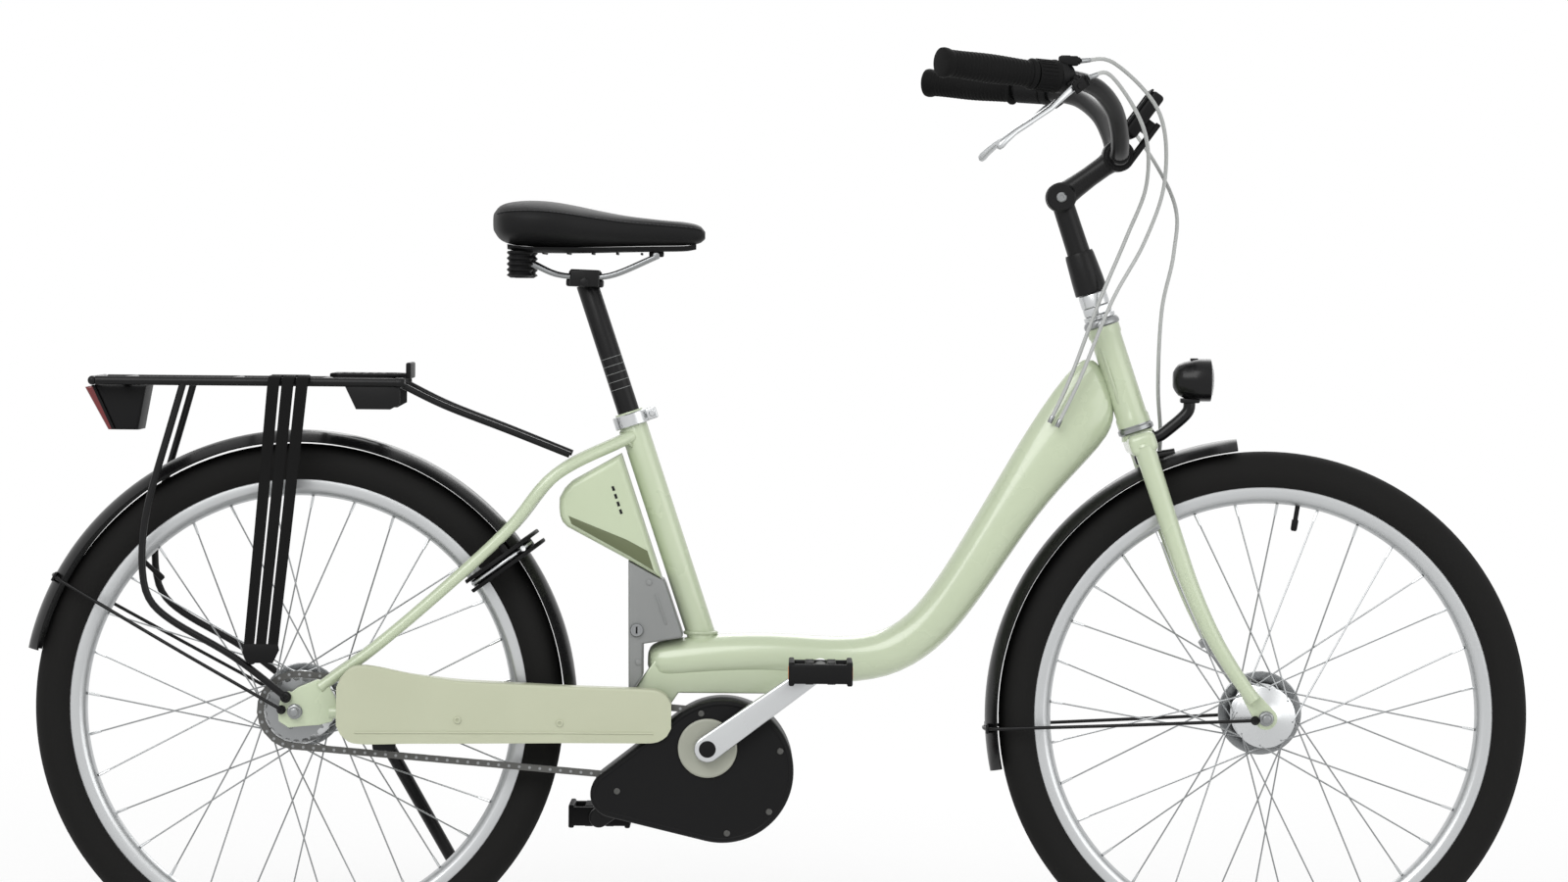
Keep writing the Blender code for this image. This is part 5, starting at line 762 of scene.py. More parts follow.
def makeWelds():
    f = frameSizes
    foot = seat(-0.286)
    foot += seatUp * ((f["seatWeldZ"] - foot.z) / seatUp.z)
    return merge(
        weldRing(steer(0.459, -0.0105), steerAhead, 0.0565, 0.0178),
        weldRing(foot, (0, 0, 1), 0.019, 0.018),
        weldRing(seat(-0.034, -0.012), (0.75, 0, 0.66), 0.0125, 0.019),
    )


addPiece("mainTube", makeMainTube(), "framePaint", "frame", "frame", sharp=60, fine=2)
addPiece("frameTubes", makeFrameTubes(), "framePaint", "frame", sharp=34)
addPiece("motorBracket", makeMotorBracket(), "framePaint", "frame", sharp=30)
addPiece("dropouts", makeDropouts(), "framePaint", "frame", sharp=30)
addPiece("frameWelds", makeWelds(), "weldPaint", "frame", sharp=38)
print("frame made")

# Fork and head set
fork = {"crown": 0.356, "crownDepth": 0.026, "spread": 0.059, "blade": 0.0135, "tip": 0.0088, "inner": 0.1,
        "ear": 0.003, "shoulder": 0.3655}


def makeFork():
    parts = []
    f = fork
    place = Matrix.Translation(steer(f["crown"] + f["crownDepth"] / 2))
    place = place @ Matrix.Rotation(-math.atan2(-steerUp.x, steerUp.z), 4, "Y")
    parts.append(box((0.034, f["spread"] * 2 + f["blade"] * 1.7, f["crownDepth"]), place, 0.0078, 5))
    parts.append(rod(steer(0.376), steer(0.384), 0.0215, 0.0195, 40, 0.0008))
    heights = ((0.366, 0.0), (0.3, 0.0), (0.24, 0.0), (0.18, 0.0015), (0.12, 0.008), (0.07, 0.019),
               (0.026, 0.0325))
    for side in (-1, 1):
        run = [steer(h, a, side * f["spread"]) for h, a in heights]
        parts.append(tube(curved(run, 40), f["blade"], f["tip"], 5))
        y = side * (f["inner"] / 2 + f["ear"])
        top = steer(0.052, 0.024)
        ear = arc((frontAxle.x, frontAxle.z), 0.014, -160, 30, 18)
        ear += [(top.x + 0.007, top.z + 0.002), (top.x - 0.007, top.z - 0.002)]
        parts.append(plate(ear, y - f["ear"], y + f["ear"], 0.0011))
        cap = [(0, 0), (0.014, 0), (0.0128, 0.0035), (0.009, 0.0058), (0, 0.0066)]
        parts.append(lathe(cap, steer(f["shoulder"], 0, side * f["spread"]), steerUp, 32))
    return merge(*parts)


addPiece("forkBlades", makeFork(), "framePaint", "steering", "fork", sharp=34)
cupBore = 0.015
lowerCup = [(cupBore, -0.009), (0.0212, -0.009), (0.0225, -0.0075), (0.0225, -0.003), (0.0208, -0.0012),
            (0.0208, 0.0004), (cupBore, 0.0004)]
upperCup = [(cupBore, 0.0003), (0.021, 0.0003), (0.0225, 0.0018), (0.0225, 0.0052), (0.0212, 0.0075),
            (0.0205, 0.009), (cupBore, 0.009)]
cupFoot = lathe(lowerCup, steer(frameSizes["headLow"]), steerUp)
cupHead = lathe(upperCup, steer(frameSizes["headHigh"]), steerUp)
addPiece("lowerHeadCup", cupFoot, "brushedSteel", "frame", sharp=38)
addPiece("upperHeadCup", cupHead, "brushedSteel", "frame", "headset_upper_cup", sharp=38)


def makeLockNut():
    foot = 0.5296
    washer = [(cupBore, 0), (0.0188, 0), (0.0195, 0.0008), (0.0195, 0.0052), (0.0188, 0.006),
              (cupBore, 0.006)]
    upper = [(cupBore, 0.0172), (0.0172, 0.0172), (0.0178, 0.018), (0.0178, 0.031), (0.0168, 0.0338),
             (cupBore, 0.0338)]
    nut = hexNut(steer(foot + 0.0064), steerUp, 0.0198, 0.0105)
    parts = [lathe(washer, steer(foot), steerUp), nut, lathe(upper, steer(foot), steerUp)]
    return merge(*parts)


addPiece("headLockNut", makeLockNut(), "polishedSilver", "steering", "headset_lock_nut", sharp=30)

# Stem with its hinge knuckle and bar clamp
barClamp = Vector((1.008, 0.0, 1.02))
stemPivot = steer(0.688)


def makeStem():
    foot = 0.5639
    reach = barClamp - stemPivot
    collar = [(0, 0), (0.0198, 0), (0.0205, 0.001), (0.02, 0.018), (0.0182, 0.048), (0.0172, 0.052),
              (0, 0.052)]
    half = [(0.0178, 0.0092), (0.0185, 0.0098), (0.0185, 0.0186), (0.016, 0.0212), (0, 0.0212)]
    knuckle = [(radius, -y) for radius, y in reversed(half)] + half
    arm = [(0, 0.0162, 0.0178), (0.25, 0.014, 0.016), (0.5, 0.0128, 0.0152), (0.75, 0.013, 0.0162),
           (0.93, 0.0152, 0.019)]
    return merge(
        rod(steer(foot), steer(0.684), 0.015, 0.0136, 40),
        lathe(collar, steer(foot), steerUp, 40),
        lathe(knuckle, stemPivot, sideways, 44),
        loft([(stemPivot + reach * share, reach, high, wide) for share, high, wide in arm], 32, 0.9),
        tubeRing(0.0128, 0.0197, -0.0222, -0.0004, barClamp, sideways, 44, 0.0012),
        tubeRing(0.0128, 0.0197, 0.0004, 0.0222, barClamp, sideways, 44, 0.0012),
    )


def makeStemBolts():
    ahead = (barClamp - stemPivot).normalized()
    up = ahead.cross(sideways)
    parts = [screw(stemPivot + sideways * (0.0212 * s), sideways * s, 0.0062, 0.003) for s in (-1, 1)]
    for s in (-1, 1):
        for lift in (-1, 1):
            at = barClamp + ahead * 0.0175 + up * (0.0105 * lift) + sideways * (0.0145 * s)
            parts.append(rod(at, at + ahead * 0.0038, 0.0036, sides=18, edge=0.0005))
    return merge(*parts)


addPiece("stemBody", makeStem(), "blackPaint", "steering", "stem")
addPiece("stemBolts", makeStemBolts(), "brushedSteel", "steering", sharp=30)

# Handlebar and grips
bar = {"radius": 0.0112, "clampRadius": 0.0127, "gripRadius": 0.0168, "gripLength": 0.128, "rib": 0.00055,
       "ribs": 21}
barBends = [(1.008, 0.03, 1.02), (1.007, 0.062, 1.026), (1.003, 0.105, 1.05), (0.992, 0.15, 1.076),
            (0.968, 0.2, 1.098), (0.93, 0.24, 1.107), (0.89, 0.265, 1.11)]
gripWay = Vector((-0.112, 0.062, 0.011)).normalized()
gripStart = Vector(barBends[-1])


def makeBar():
    left = curved(barBends + [tuple(gripStart + gripWay * 0.122)], 48)
    right = [Vector((p.x, -p.y, p.z)) for p in reversed(left)]
    thick, thin = bar["clampRadius"], bar["radius"]
    profile = [(0, -0.052), (thin, -0.052), (thick, -0.034), (thick, 0.034), (thin, 0.052), (0, 0.052)]
    centre = lathe(profile, barClamp, sideways, 32)
    return merge(tube(right + left, bar["radius"], resolution=6), centre)


def flipY(p, side):
    return Vector((p[0], side * p[1], p[2]))


def makeGrip(side):
    r, length = bar["gripRadius"], bar["gripLength"]
    profile = [(0.0116, 0.0), (r * 1.06, 0.0), (r * 1.12, 0.0012), (r * 1.12, 0.0036), (r * 1.02, 0.006)]
    first, last, ribs = 0.008, length - 0.016, bar["ribs"]
    for i in range(ribs):
        along = first + (last - first) * i / (ribs - 1)
        low = r * (0.93 + 0.07 * math.sin(math.pi * i / (ribs - 1)) ** 2 + 0.05 * i / ribs)
        high = low + bar["rib"]
        profile += [(low, along - 0.0014), (high, along - 0.0008), (high, along + 0.0008),
                    (low, along + 0.0014)]
    profile += [(r * 1.02, length - 0.012), (r * 1.1, length - 0.008), (r * 1.12, length - 0.004)]
    profile += [(r * 1.08, length - 0.0012), (r * 0.9, length), (0.0, length)]
    grip = lathe(profile, (0, 0, 0), (0, 0, 1), 44)
    for v in grip.verts:  # a palm rest: the rear of the grip is wider and flatter
        share = max(0.0, (v.co.z - 0.02) / length)
        v.co.x *= 1.0 - 0.06 * share
        v.co.y *= 1.0 + 0.05 * share
    grip.transform(Matrix.Translation(flipY(gripStart, side)) @ facing(flipY(gripWay, side)))
    return grip


addPiece("handlebarTube", makeBar(), "blackPaint", "steering", "handlebar", sharp=30)
for side, sign in (("left", 1), ("right", -1)):
    addPiece(side + "Grip", makeGrip(sign), "gripRubber", "steering", "grip_" + side, sharp=50)
print("fork and bar made")

# Brake brackets and levers, twist shifter and button pad. They are made for the left and mirrored.
control = {"bore": 0.0118, "ring": 0.0163, "halfWidth": 0.005, "cheek": 0.0041, "slot": 0.0034, "pin": 0.0026}
clampAt = Vector(barBends[5])
clampWay = (gripStart - clampAt).normalized()
leverWay = Vector((-0.0985, 0.048, -0.071)).normalized()
leverAxis = leverWay.cross(gripWay).normalized()
leverPivot = Vector((0.9427, 0.2603, 1.097))
leverPlace = axes(leverWay, leverAxis.cross(leverWay), leverAxis, leverPivot)
leverBack = leverPlace @ Vector((-0.0115, 0, 0))


def moved(shape, place):
    shape.transform(place)
    return shape


def makeBracket():
    c = control
    parts = []
    for side in (-1, 1):
        lift = side * (c["slot"] + c["cheek"] / 2)
        parts.append(box((0.0215, 0.0146, c["cheek"]), moveBy(-0.003, 0, lift), 0.0013))
        parts.append(rod((0, 0, side * 0.0076), (0, 0, side * 0.0092), 0.004, 0.0034, 20))
    parts.append(box((0.0066, 0.015, 0.015), moveBy(-0.0108, 0, 0), 0.0016))
    parts.append(rod((0, 0, -0.0076), (0, 0, 0.0076), c["pin"], sides=20))
    for i in range(3):
        start = -0.014 - i * 0.0014
        parts.append(rod((start, 0, 0), (start - 0.0012, 0, 0), 0.0045, 0.0041, 20))
    whole = moved(merge(*parts), leverPlace)
    arm = rod(leverBack, leverBack.lerp(clampAt, 0.42), 0.0062, 0.007, 28)
    clamp = tubeRing(c["bore"], c["ring"], -c["halfWidth"], c["halfWidth"], clampAt, clampWay, 44, 0.0012)
    return merge(whole, arm, clamp)


def makeLever():
    c = control
    stations = [
        (0.0, 0.0, 0.0046, 0.0028), (0.008, 0.0, 0.0045, 0.0029), (0.02, -0.001, 0.0042, 0.0036),
        (0.045, -0.004, 0.0034, 0.0055), (0.075, -0.003, 0.0033, 0.006), (0.1, -0.002, 0.0036, 0.0062),
        (0.116, -0.0035, 0.0044, 0.0062), (0.124, -0.005, 0.005, 0.006), (0.1285, -0.0058, 0.004, 0.0046),
        (0.13, -0.0062, 0.0018, 0.0022),
    ]
    rings = [((x, shift, 0), (0, high, 0), (0, 0, wide)) for x, shift, high, wide in stations]
    blade = ovals(rings, 20, 0.85)
    hub = tubeRing(c["pin"] + 0.0003, 0.0064, -0.003, 0.003, (0, 0, 0), (0, 0, 1), 32, 0.0005)
    nub = rod((-0.0065, 0.003, 0), (0.004, 0.002, 0), 0.0022, 0.0028, 16)
    return moved(merge(blade, hub, nub), leverPlace)


def makeShifterHousing():
    c = control
    at, way = flipY(clampAt, -1), flipY(clampWay, -1)
    drum = tubeRing(c["bore"], 0.019, c["halfWidth"] - 0.001, 0.0156, at, way, 44, 0.0015)
    middle = at + way * 0.0106
    mouth = box((0.024, 0.0085, 0.012), Matrix.Translation(middle + Vector((0.0125, 0.0, 0.0193))), 0.0026, 4)
    profile = [(0, 0), (0.0036, 0), (0.0044, 0.001), (0.0044, 0.004), (0.0034, 0.0052), (0, 0.0052)]
    barrel = lathe(profile, middle + Vector((0.0216, 0.0, 0.0195)), (1, 0, 0), 24)
    window = box((0.011, 0.006, 0.0012), Matrix.Translation(middle + Vector((0.009, 0.0, 0.0254))), 0.0004)
    return merge(drum, mouth, barrel), window


def makeTwistRing():
    start, width, bore = 0.0162, 0.03, control["bore"]
    profile = [(bore, start), (0.0198, start), (0.0205, start + 0.0008), (0.0202, start + 0.003),
               (0.0188, start + 0.006)]
    profile += [(0.0185, start + width - 0.002), (0.0178, start + width), (bore, start + width)]
    ring = lathe(profile, (0, 0, 0), (0, 0, 1), 72)
    grooves = []
    for f in ring.faces:
        middle = f.calc_center_median()
        if start + 0.007 < middle.z < start + width - 0.003 and math.hypot(middle.x, middle.y) > 0.018:
            if math.degrees(math.atan2(middle.y, middle.x)) % 15 < 5:
                grooves.append(f)
    bmesh.ops.inset_region(ring, faces=grooves, thickness=0.0003, depth=-0.0009)
    return moved(ring, Matrix.Translation(flipY(clampAt, -1)) @ facing(flipY(clampWay, -1)))


padLean = Vector((-0.35, -0.25, 1.0))
padUp = (padLean - clampWay * padLean.dot(clampWay)).normalized()
padPlace = axes(clampWay, padUp.cross(clampWay), padUp, clampAt + clampWay * 0.0236)


def makePad():
    ring = tubeRing(control["bore"], 0.016, -0.018, 0.018, (0, 0, 0), (1, 0, 0), 44, 0.0015)
    walls = surround(0.01425, (0.0072, 0.026), 0.01075, (0.0214, 0.0045), 0.011, 0.019, 0.0007)
    deck = box((0.034, 0.024, 0.0058), moveBy(0, 0, 0.0168), 0.001)
    return moved(merge(ring, *walls, deck), padPlace)


def makeModeButton():
    # The rocker is one moulding with two domes on it
    low = 0.0212
    body = box((0.0198, 0.0158, 0.0036), moveBy(0, 0, low + 0.0018), 0.0009)
    dome = [(0, 0), (0.0042, 0), (0.0038, 0.0008), (0.0024, 0.0013), (0, 0.0014)]
    domes = [lathe(dome, (x, 0, low + 0.0036), (0, 0, 1), 24) for x in (-0.005, 0.005)]
    return moved(merge(body, *domes), padPlace)


bracket = makeBracket()
housing, gearWindow = makeShifterHousing()
addPiece("rightBracket", merge(mirrored(bracket), housing), "matteBlack", "steering", "brake_bracket_right")
addPiece("leftBracket", bracket, "matteBlack", "steering", "brake_bracket_left")
addPiece("gearWindow", gearWindow, "screenGlass", "steering", sharp=38)
lever = makeLever()
addPiece("rightLever", mirrored(lever), "brushedSilver", "lever_right", "brake_lever_right", sharp=40)
addPiece("leftLever", lever, "brushedSilver", "lever_left", "brake_lever_left", sharp=40)
addPiece("twistRing", makeTwistRing(), "gripRubber", "shifter", "shifter_twist_ring", sharp=30)
addPiece("buttonPad", makePad(), "matteBlack", "steering", "control_pad")
addPiece("modeButton", makeModeButton(), "greyPlastic", "button", "mode_button")

# Display, tilted towards the rider on two arms
displaySlope = math.radians(54)
displayAlong = Vector((math.cos(displaySlope), 0, math.sin(displaySlope)))
displayFace = Vector((-math.sin(displaySlope), 0, math.cos(displaySlope)))
displayPlace = axes(displayAlong, sideways, displayFace, barClamp + displayAlong * 0.058
                    + displayFace * 0.007)


def makeDisplay():
    body = box((0.0636, 0.0856, 0.0172), displayPlace @ moveBy(0, 0, -0.0013), 0.005, 6)
    bezel = surround(0.0285, (0.0065, 0.085), 0.0392, (0.052, 0.0065), 0.003, 0.0083, 0.0011, displayPlace)
    screen = box((0.05, 0.0716, 0.0018), displayPlace @ moveBy(0, 0, 0.0076), 0.0004)
    arms = []
    for side in (-1, 1):
        at = barClamp + sideways * (0.0275 * side)
        arms.append(tubeRing(0.0129, 0.0164, -0.0044, 0.0044, at, sideways, 36, 0.001))
        low = at - displayFace * 0.016
        arms.append(tube(curved([low, low + displayAlong * 0.03, low + displayAlong * 0.06], 10), 0.0034))
        arms.append(rod(at + sideways * (0.0044 * side), at + sideways * (0.006 * side), 0.003, sides=18))
    foot = barClamp - displayFace * 0.0085 + displayAlong * 0.05
    arms.append(box((0.016, 0.0585, 0.0134), axes(displayAlong, sideways, displayFace, foot), 0.0016))
    return merge(body, *bezel, *arms), screen


displayBody, displayScreen = makeDisplay()
addPiece("displayBody", displayBody, "matteBlack", "steering", "display")
addPiece("displayScreen", displayScreen, "screenGlass", "steering", sharp=38)

# Head light on a bent bracket
lightFoot = steer(0.369, 0.0173)
lightBack = lightFoot + Vector((0.0236, 0, 0.0724))


def makeHeadlight():
    profile = [
        (0, 0), (0.0095, 0), (0.0112, 0.0008), (0.015, 0.003), (0.0192, 0.0066), (0.0222, 0.013),
        (0.0238, 0.019), (0.0252, 0.024), (0.0256, 0.025), (0.026, 0.029), (0.0264, 0.032), (0.0265, 0.045),
        (0.0262, 0.0466), (0.025, 0.047), (0.0243, 0.0466), (0.0241, 0.04), (0.0236, 0.034), (0.012, 0.022),
        (0, 0.02),
    ]
    shell = lathe(profile, lightBack, (1, 0, 0), 64)
    seatAt = lightBack + Vector((0.021, 0, -0.0255))
    run = [lightFoot + steerAhead * 0.0022, lightFoot + steerAhead * 0.014 + steerUp * 0.002]
    run += [seatAt + Vector((-0.004, 0, -0.016)), seatAt + Vector((0, 0, -0.0004))]
    pad = box((0.003, 0.022, 0.02), axes(steerAhead, sideways, steerUp, lightFoot + steerAhead * 0.0016),
              0.001)
    bolt = rod(lightFoot + steerAhead * 0.003, lightFoot + steerAhead * 0.0062, 0.0042, sides=6, edge=0.0003)
    block = box((0.024, 0.02, 0.006), Matrix.Translation(seatAt), 0.0018)
    switch = box((0.01, 0.008, 0.003), Matrix.Translation(lightBack + Vector((0.026, 0, 0.0256))), 0.0012)
    return merge(shell, pad, tube(curved(run, 24), 0.0075), bolt, block, switch)


def makeHeadlightLens():
    profile = [(0, 0.0412), (0.0226, 0.0412), (0.0236, 0.0418), (0.0237, 0.0466), (0.019, 0.0488),
               (0.011, 0.0506), (0, 0.0514)]
    ribs = []
    for y in (-0.012, -0.006, 0, 0.006, 0.012):
        ribs.append(box((0.003, 0.0012, 0.03), Matrix.Translation(lightBack + Vector((0.04, y, 0))), 0.0004))
    return merge(lathe(profile, lightBack, (1, 0, 0), 64), *ribs)


def makeHeadlightBowl():
    profile = [(0.0225, 0.0385), (0.02, 0.03), (0.013, 0.024), (0.004, 0.0226), (0.0034, 0.029), (0, 0.03)]
    return lathe(profile, lightBack, (1, 0, 0), 48)


addPiece("headlightShell", makeHeadlight(), "glossBlack", "steering", "headlight_housing")
addPiece("headlightLens", makeHeadlightLens(), "clearLens", "steering", "headlight_lens")
addPiece("headlightBowl", makeHeadlightBowl(), "reflectorSilver", "steering", sharp=38)
print("controls and light made")

# Hub brakes, axles and their nuts
brake = {"radius": 0.052, "bore": 0.0053, "arm": 0.003, "fin": 5.625}
nuts = {"rod": 0.0047, "bore": 0.0046, "washer": 0.0094, "washerThick": 0.0014, "hex": 0.009,
        "hexHigh": 0.007}
frontHubWidth, rearHubWidth = 0.1, 0.135


def makeHubBrake(axle, innerWidth, flangeY, armTo, inset, strapAt, strapWay, strapBore):
    outer = innerWidth / 2 - 0.0003
    inner = flangeY + 0.0085
    r, bore = brake["radius"], brake["bore"]
    profile = [
        (bore, inner + 0.006), (r * 0.62, inner + 0.006), (r * 0.66, inner + 0.005),
        (r - 0.001, inner + 0.004), (r, inner + 0.0046), (r, inner + 0.0072), (r - 0.001, inner + 0.008),
        (r * 0.74, inner + 0.0105), (r * 0.66, inner + 0.0125), (r * 0.63, outer - 0.0028),
        (r * 0.6, outer - 0.0016), (0.015, outer), (bore, outer),
    ]
    drum = lathe(profile, axle, sideways, 64)
    fins = []
    for f in drum.faces:
        middle = f.calc_center_median() - axle
        turn = math.degrees(math.atan2(middle.z, middle.x))
        if r * 0.76 < math.hypot(middle.x, middle.z) < r * 0.97 and middle.y > inner + 0.0072:
            if int(turn // brake["fin"]) % 2:
                fins.append(f)
    bmesh.ops.inset_region(drum, faces=fins, thickness=0.0004, depth=-0.0012)
    y = outer - inset
    start, end = Vector((axle.x, y, axle.z)), Vector((armTo.x, y, armTo.z))
    start += (end - start).normalized() * r * 0.4
    way = (end - start).normalized()
    up, thick = way.cross(sideways), sideways * brake["arm"]
    arm = ovals([(start, up * 0.0085, thick), (start.lerp(end, 0.35), up * 0.0062, thick),
                 (start.lerp(end, 0.8), up * 0.0046, thick), (end + way * 0.004, up * 0.0044, thick)], 20,
                0.7)
    bolt = rod(end - sideways * 0.0048, end + sideways * 0.0046, 0.003, sides=6)
    band = tubeRing(strapBore, strapBore + 0.0028, -0.005, 0.005, strapAt, strapWay, 36, 0.0008)
    return merge(drum, arm, bolt, band)


def makeAxle(axle, innerWidth):
    n = nuts
    seatAt = innerWidth / 2 + 0.0063
    end, face = seatAt + 0.014, seatAt + n["washerThick"]
    collar = [(n["bore"], seatAt + 0.0082), (0.0066, seatAt + 0.0082), (0.006, seatAt + 0.009),
              (n["bore"], seatAt + 0.009)]
    parts = [rod(axle - sideways * end, axle + sideways * end, n["rod"], sides=28, edge=0.0007)]
    for side in (-1, 1):
        way = sideways * side
        parts.append(tubeRing(n["bore"], n["washer"], seatAt, face, axle, way, 32, 0.0003))
        parts.append(hexNut(axle + way * face, way, n["hex"], n["hexHigh"]))
        parts.append(lathe(collar, axle, way, 24))
    return merge(*parts)


frontArm = steer(0.105, 0.0025)
rearArm = Vector((0.13, 0.0, 0.3129))
frontStrap = steer(0.105, 0.0105, 0.059)
bladeWay = steer(0.12, 0.008) - steer(0.09, 0.0139)
rearStrap, stayWay = (0.13, 0.0676, 0.3232), (1.0, -0.17, -0.045)
frontBrake = makeHubBrake(frontAxle, frontHubWidth, 0.026, frontArm, 0.0054, frontStrap, bladeWay, 0.0122)
rearBrake = makeHubBrake(rearAxle, rearHubWidth, 0.03, rearArm, 0.0107, rearStrap, stayWay, 0.0106)
addPiece("frontBrake", frontBrake, "brushedSteel", "steering", "front_brake")
addPiece("rearBrake", rearBrake, "brushedSteel", "frame", "rear_brake")
addPiece("frontAxleNuts", makeAxle(frontAxle, frontHubWidth), "brushedSteel", "steering", "front_axle",
         sharp=30)
addPiece("rearAxleNuts", makeAxle(rearAxle, rearHubWidth), "brushedSteel", "frame", "rear_axle", sharp=30)
print("brakes and axles made")

# Sprockets, chain, cranks and pedals
drive = {"teeth": 22, "pitch": 0.0127, "chainY": -0.05, "chainHigh": 0.0086, "crankInner": 0.072,
         "crankThick": 0.012, "crankLength": 0.17, "axle": 0.0085, "pedalAxle": 0.0045, "pedalGap": 0.006,
         "pedalLong": 0.078, "pedalWide": 0.092, "pedalHigh": 0.03, "disc": 0.0013, "boltCircle": 0.021,
         "roller": 0.0036, "rollerPin": 0.0018, "link": 0.0041, "linkWaist": 0.72, "linkThick": 0.0004,
         "linkOuter": 0.0031, "linkInner": 0.0023, "rail": 0.0037, "tread": 0.17, "treadStep": 0.09}
pitchRadius = drive["pitch"] / 2 / math.sin(math.pi / drive["teeth"])
chainFall = math.degrees(math.atan2(crankCentre.z - rearAxle.z, crankCentre.x - rearAxle.x))
crankTurn = math.radians(36.0)
crankWay = around(crankTurn)


def atSide(centre, y):
    return Vector((centre.x, y, centre.z))


def makeSprocket(centre, bore, windows):
    tip = pitchRadius - drive["chainHigh"] / 2 - 0.0006
    root = tip - 0.0035
    rise = [(-0.3, root), (-0.2, root + 0.0008), (-0.1, tip - 0.0004), (-0.06, tip)]
    tooth = rise + [(-share, radius) for share, radius in reversed(rise)]
    outline = []
    for i in range(drive["teeth"]):
        for share, radius in tooth:
            turn = math.tau * (i + share) / drive["teeth"]
            outline.append((centre.x + radius * math.cos(turn), centre.z + radius * math.sin(turn)))
    y = drive["chainY"]
    disc = plate(outline, y - drive["disc"], y + drive["disc"])
    collar = tubeRing(bore, bore + 0.0045, -0.0042, 0.0042, atSide(centre, y), sideways, 32)
    bolts = []
    for i in range(windows):
        turn = math.tau * (i + 0.5) / windows
        place = atSide(centre, y - drive["disc"]) + around(turn) * drive["boltCircle"]
        bolts.append(screw(place, (0, -1, 0), 0.0034, 0.0018))
    return merge(disc, collar, *bolts)


def makeChain():
    centres = []
    back = arc((rearAxle.x, rearAxle.z), pitchRadius, 90 + chainFall, 270 + chainFall, 60)
    front = arc((crankCentre.x, crankCentre.z), pitchRadius, chainFall - 90, chainFall + 90, 60)
    loop = [Vector((x, 0, z)) for x, z in back + front]
    loop.append(loop[0])
    total = sum((b - a).length for a, b in zip(loop, loop[1:]))
    count = 2 * round(total / drive["pitch"] / 2)
    step, gone, due = total / count, 0.0, 0.0
    for a, b in zip(loop, loop[1:]):
        span = (b - a).length
        while due < gone + span - 1e-9 and len(centres) < count:
            centres.append(a.lerp(b, (due - gone) / span))
            due += step
        gone += span
    d = drive
    plates, rollers = [], []
    y, long, thin, thick = d["chainY"], d["roller"], d["rollerPin"], d["linkThick"]
    linkProfile = [(0, -thick), (d["link"], -thick), (d["link"], thick), (0, thick)]
    for i, pin in enumerate(centres):
        ahead = centres[(i + 1) % len(centres)] - pin
        turn = axes(ahead.normalized(), sideways, ahead.normalized().cross(sideways), (pin.x, y, pin.z))
        off = d["linkOuter"] if i % 2 else d["linkInner"]
        for side in (-1, 1):
            # A disc drawn out to the next pin, with a waist between the two
            link = lathe(linkProfile, (0, 0, 0), sideways, 14)
            for v in link.verts:
                v.co.x = v.co.x + (ahead.length if v.co.x > 0.0001 else 0.0)
                if abs(v.co.x - ahead.length / 2) < ahead.length / 2 - 0.0005:
                    v.co.z *= d["linkWaist"]
            plates.append(moved(link, turn @ moveBy(0, side * off, 0)))
        rollers.append(rod((pin.x, y - long, pin.z), (pin.x, y + long, pin.z), thin, sides=10))
        rollers.append(rod((pin.x, y - thin, pin.z), (pin.x, y + thin, pin.z), long, sides=12))
    return merge(*plates), merge(*rollers)


def makeCrank(side):
    d = drive
    near, far = side * d["crankInner"], side * (d["crankInner"] + d["crankThick"])
    tip = crankCentre + crankWay * (d["crankLength"] * -side)
    arm = plate(drop(crankCentre, 0.0165, tip, 0.0125, 40, 24), *sorted((near, far)), 0.003, 4)
    face = far + side * 0.00005
    profile = [(0, -0.001), (0.0098, -0.001), (0.0104, 0.0), (0.0098, 0.0011), (0.005, 0.0016), (0, 0.0017)]
    cap = lathe(profile, atSide(crankCentre, face), (0, side, 0), 36)
    end = far + side * (d["pedalGap"] + d["pedalWide"] * 0.82)
    spindle = rod(atSide(tip, near - side * 0.0006), atSide(tip, end), d["pedalAxle"], sides=24)
    shoulder = rod(atSide(tip, far - side * 0.001), atSide(tip, far + side * 0.0054), d["pedalAxle"] * 1.7,
                   sides=6, edge=0.0004)
    return merge(arm, spindle, shoulder), cap


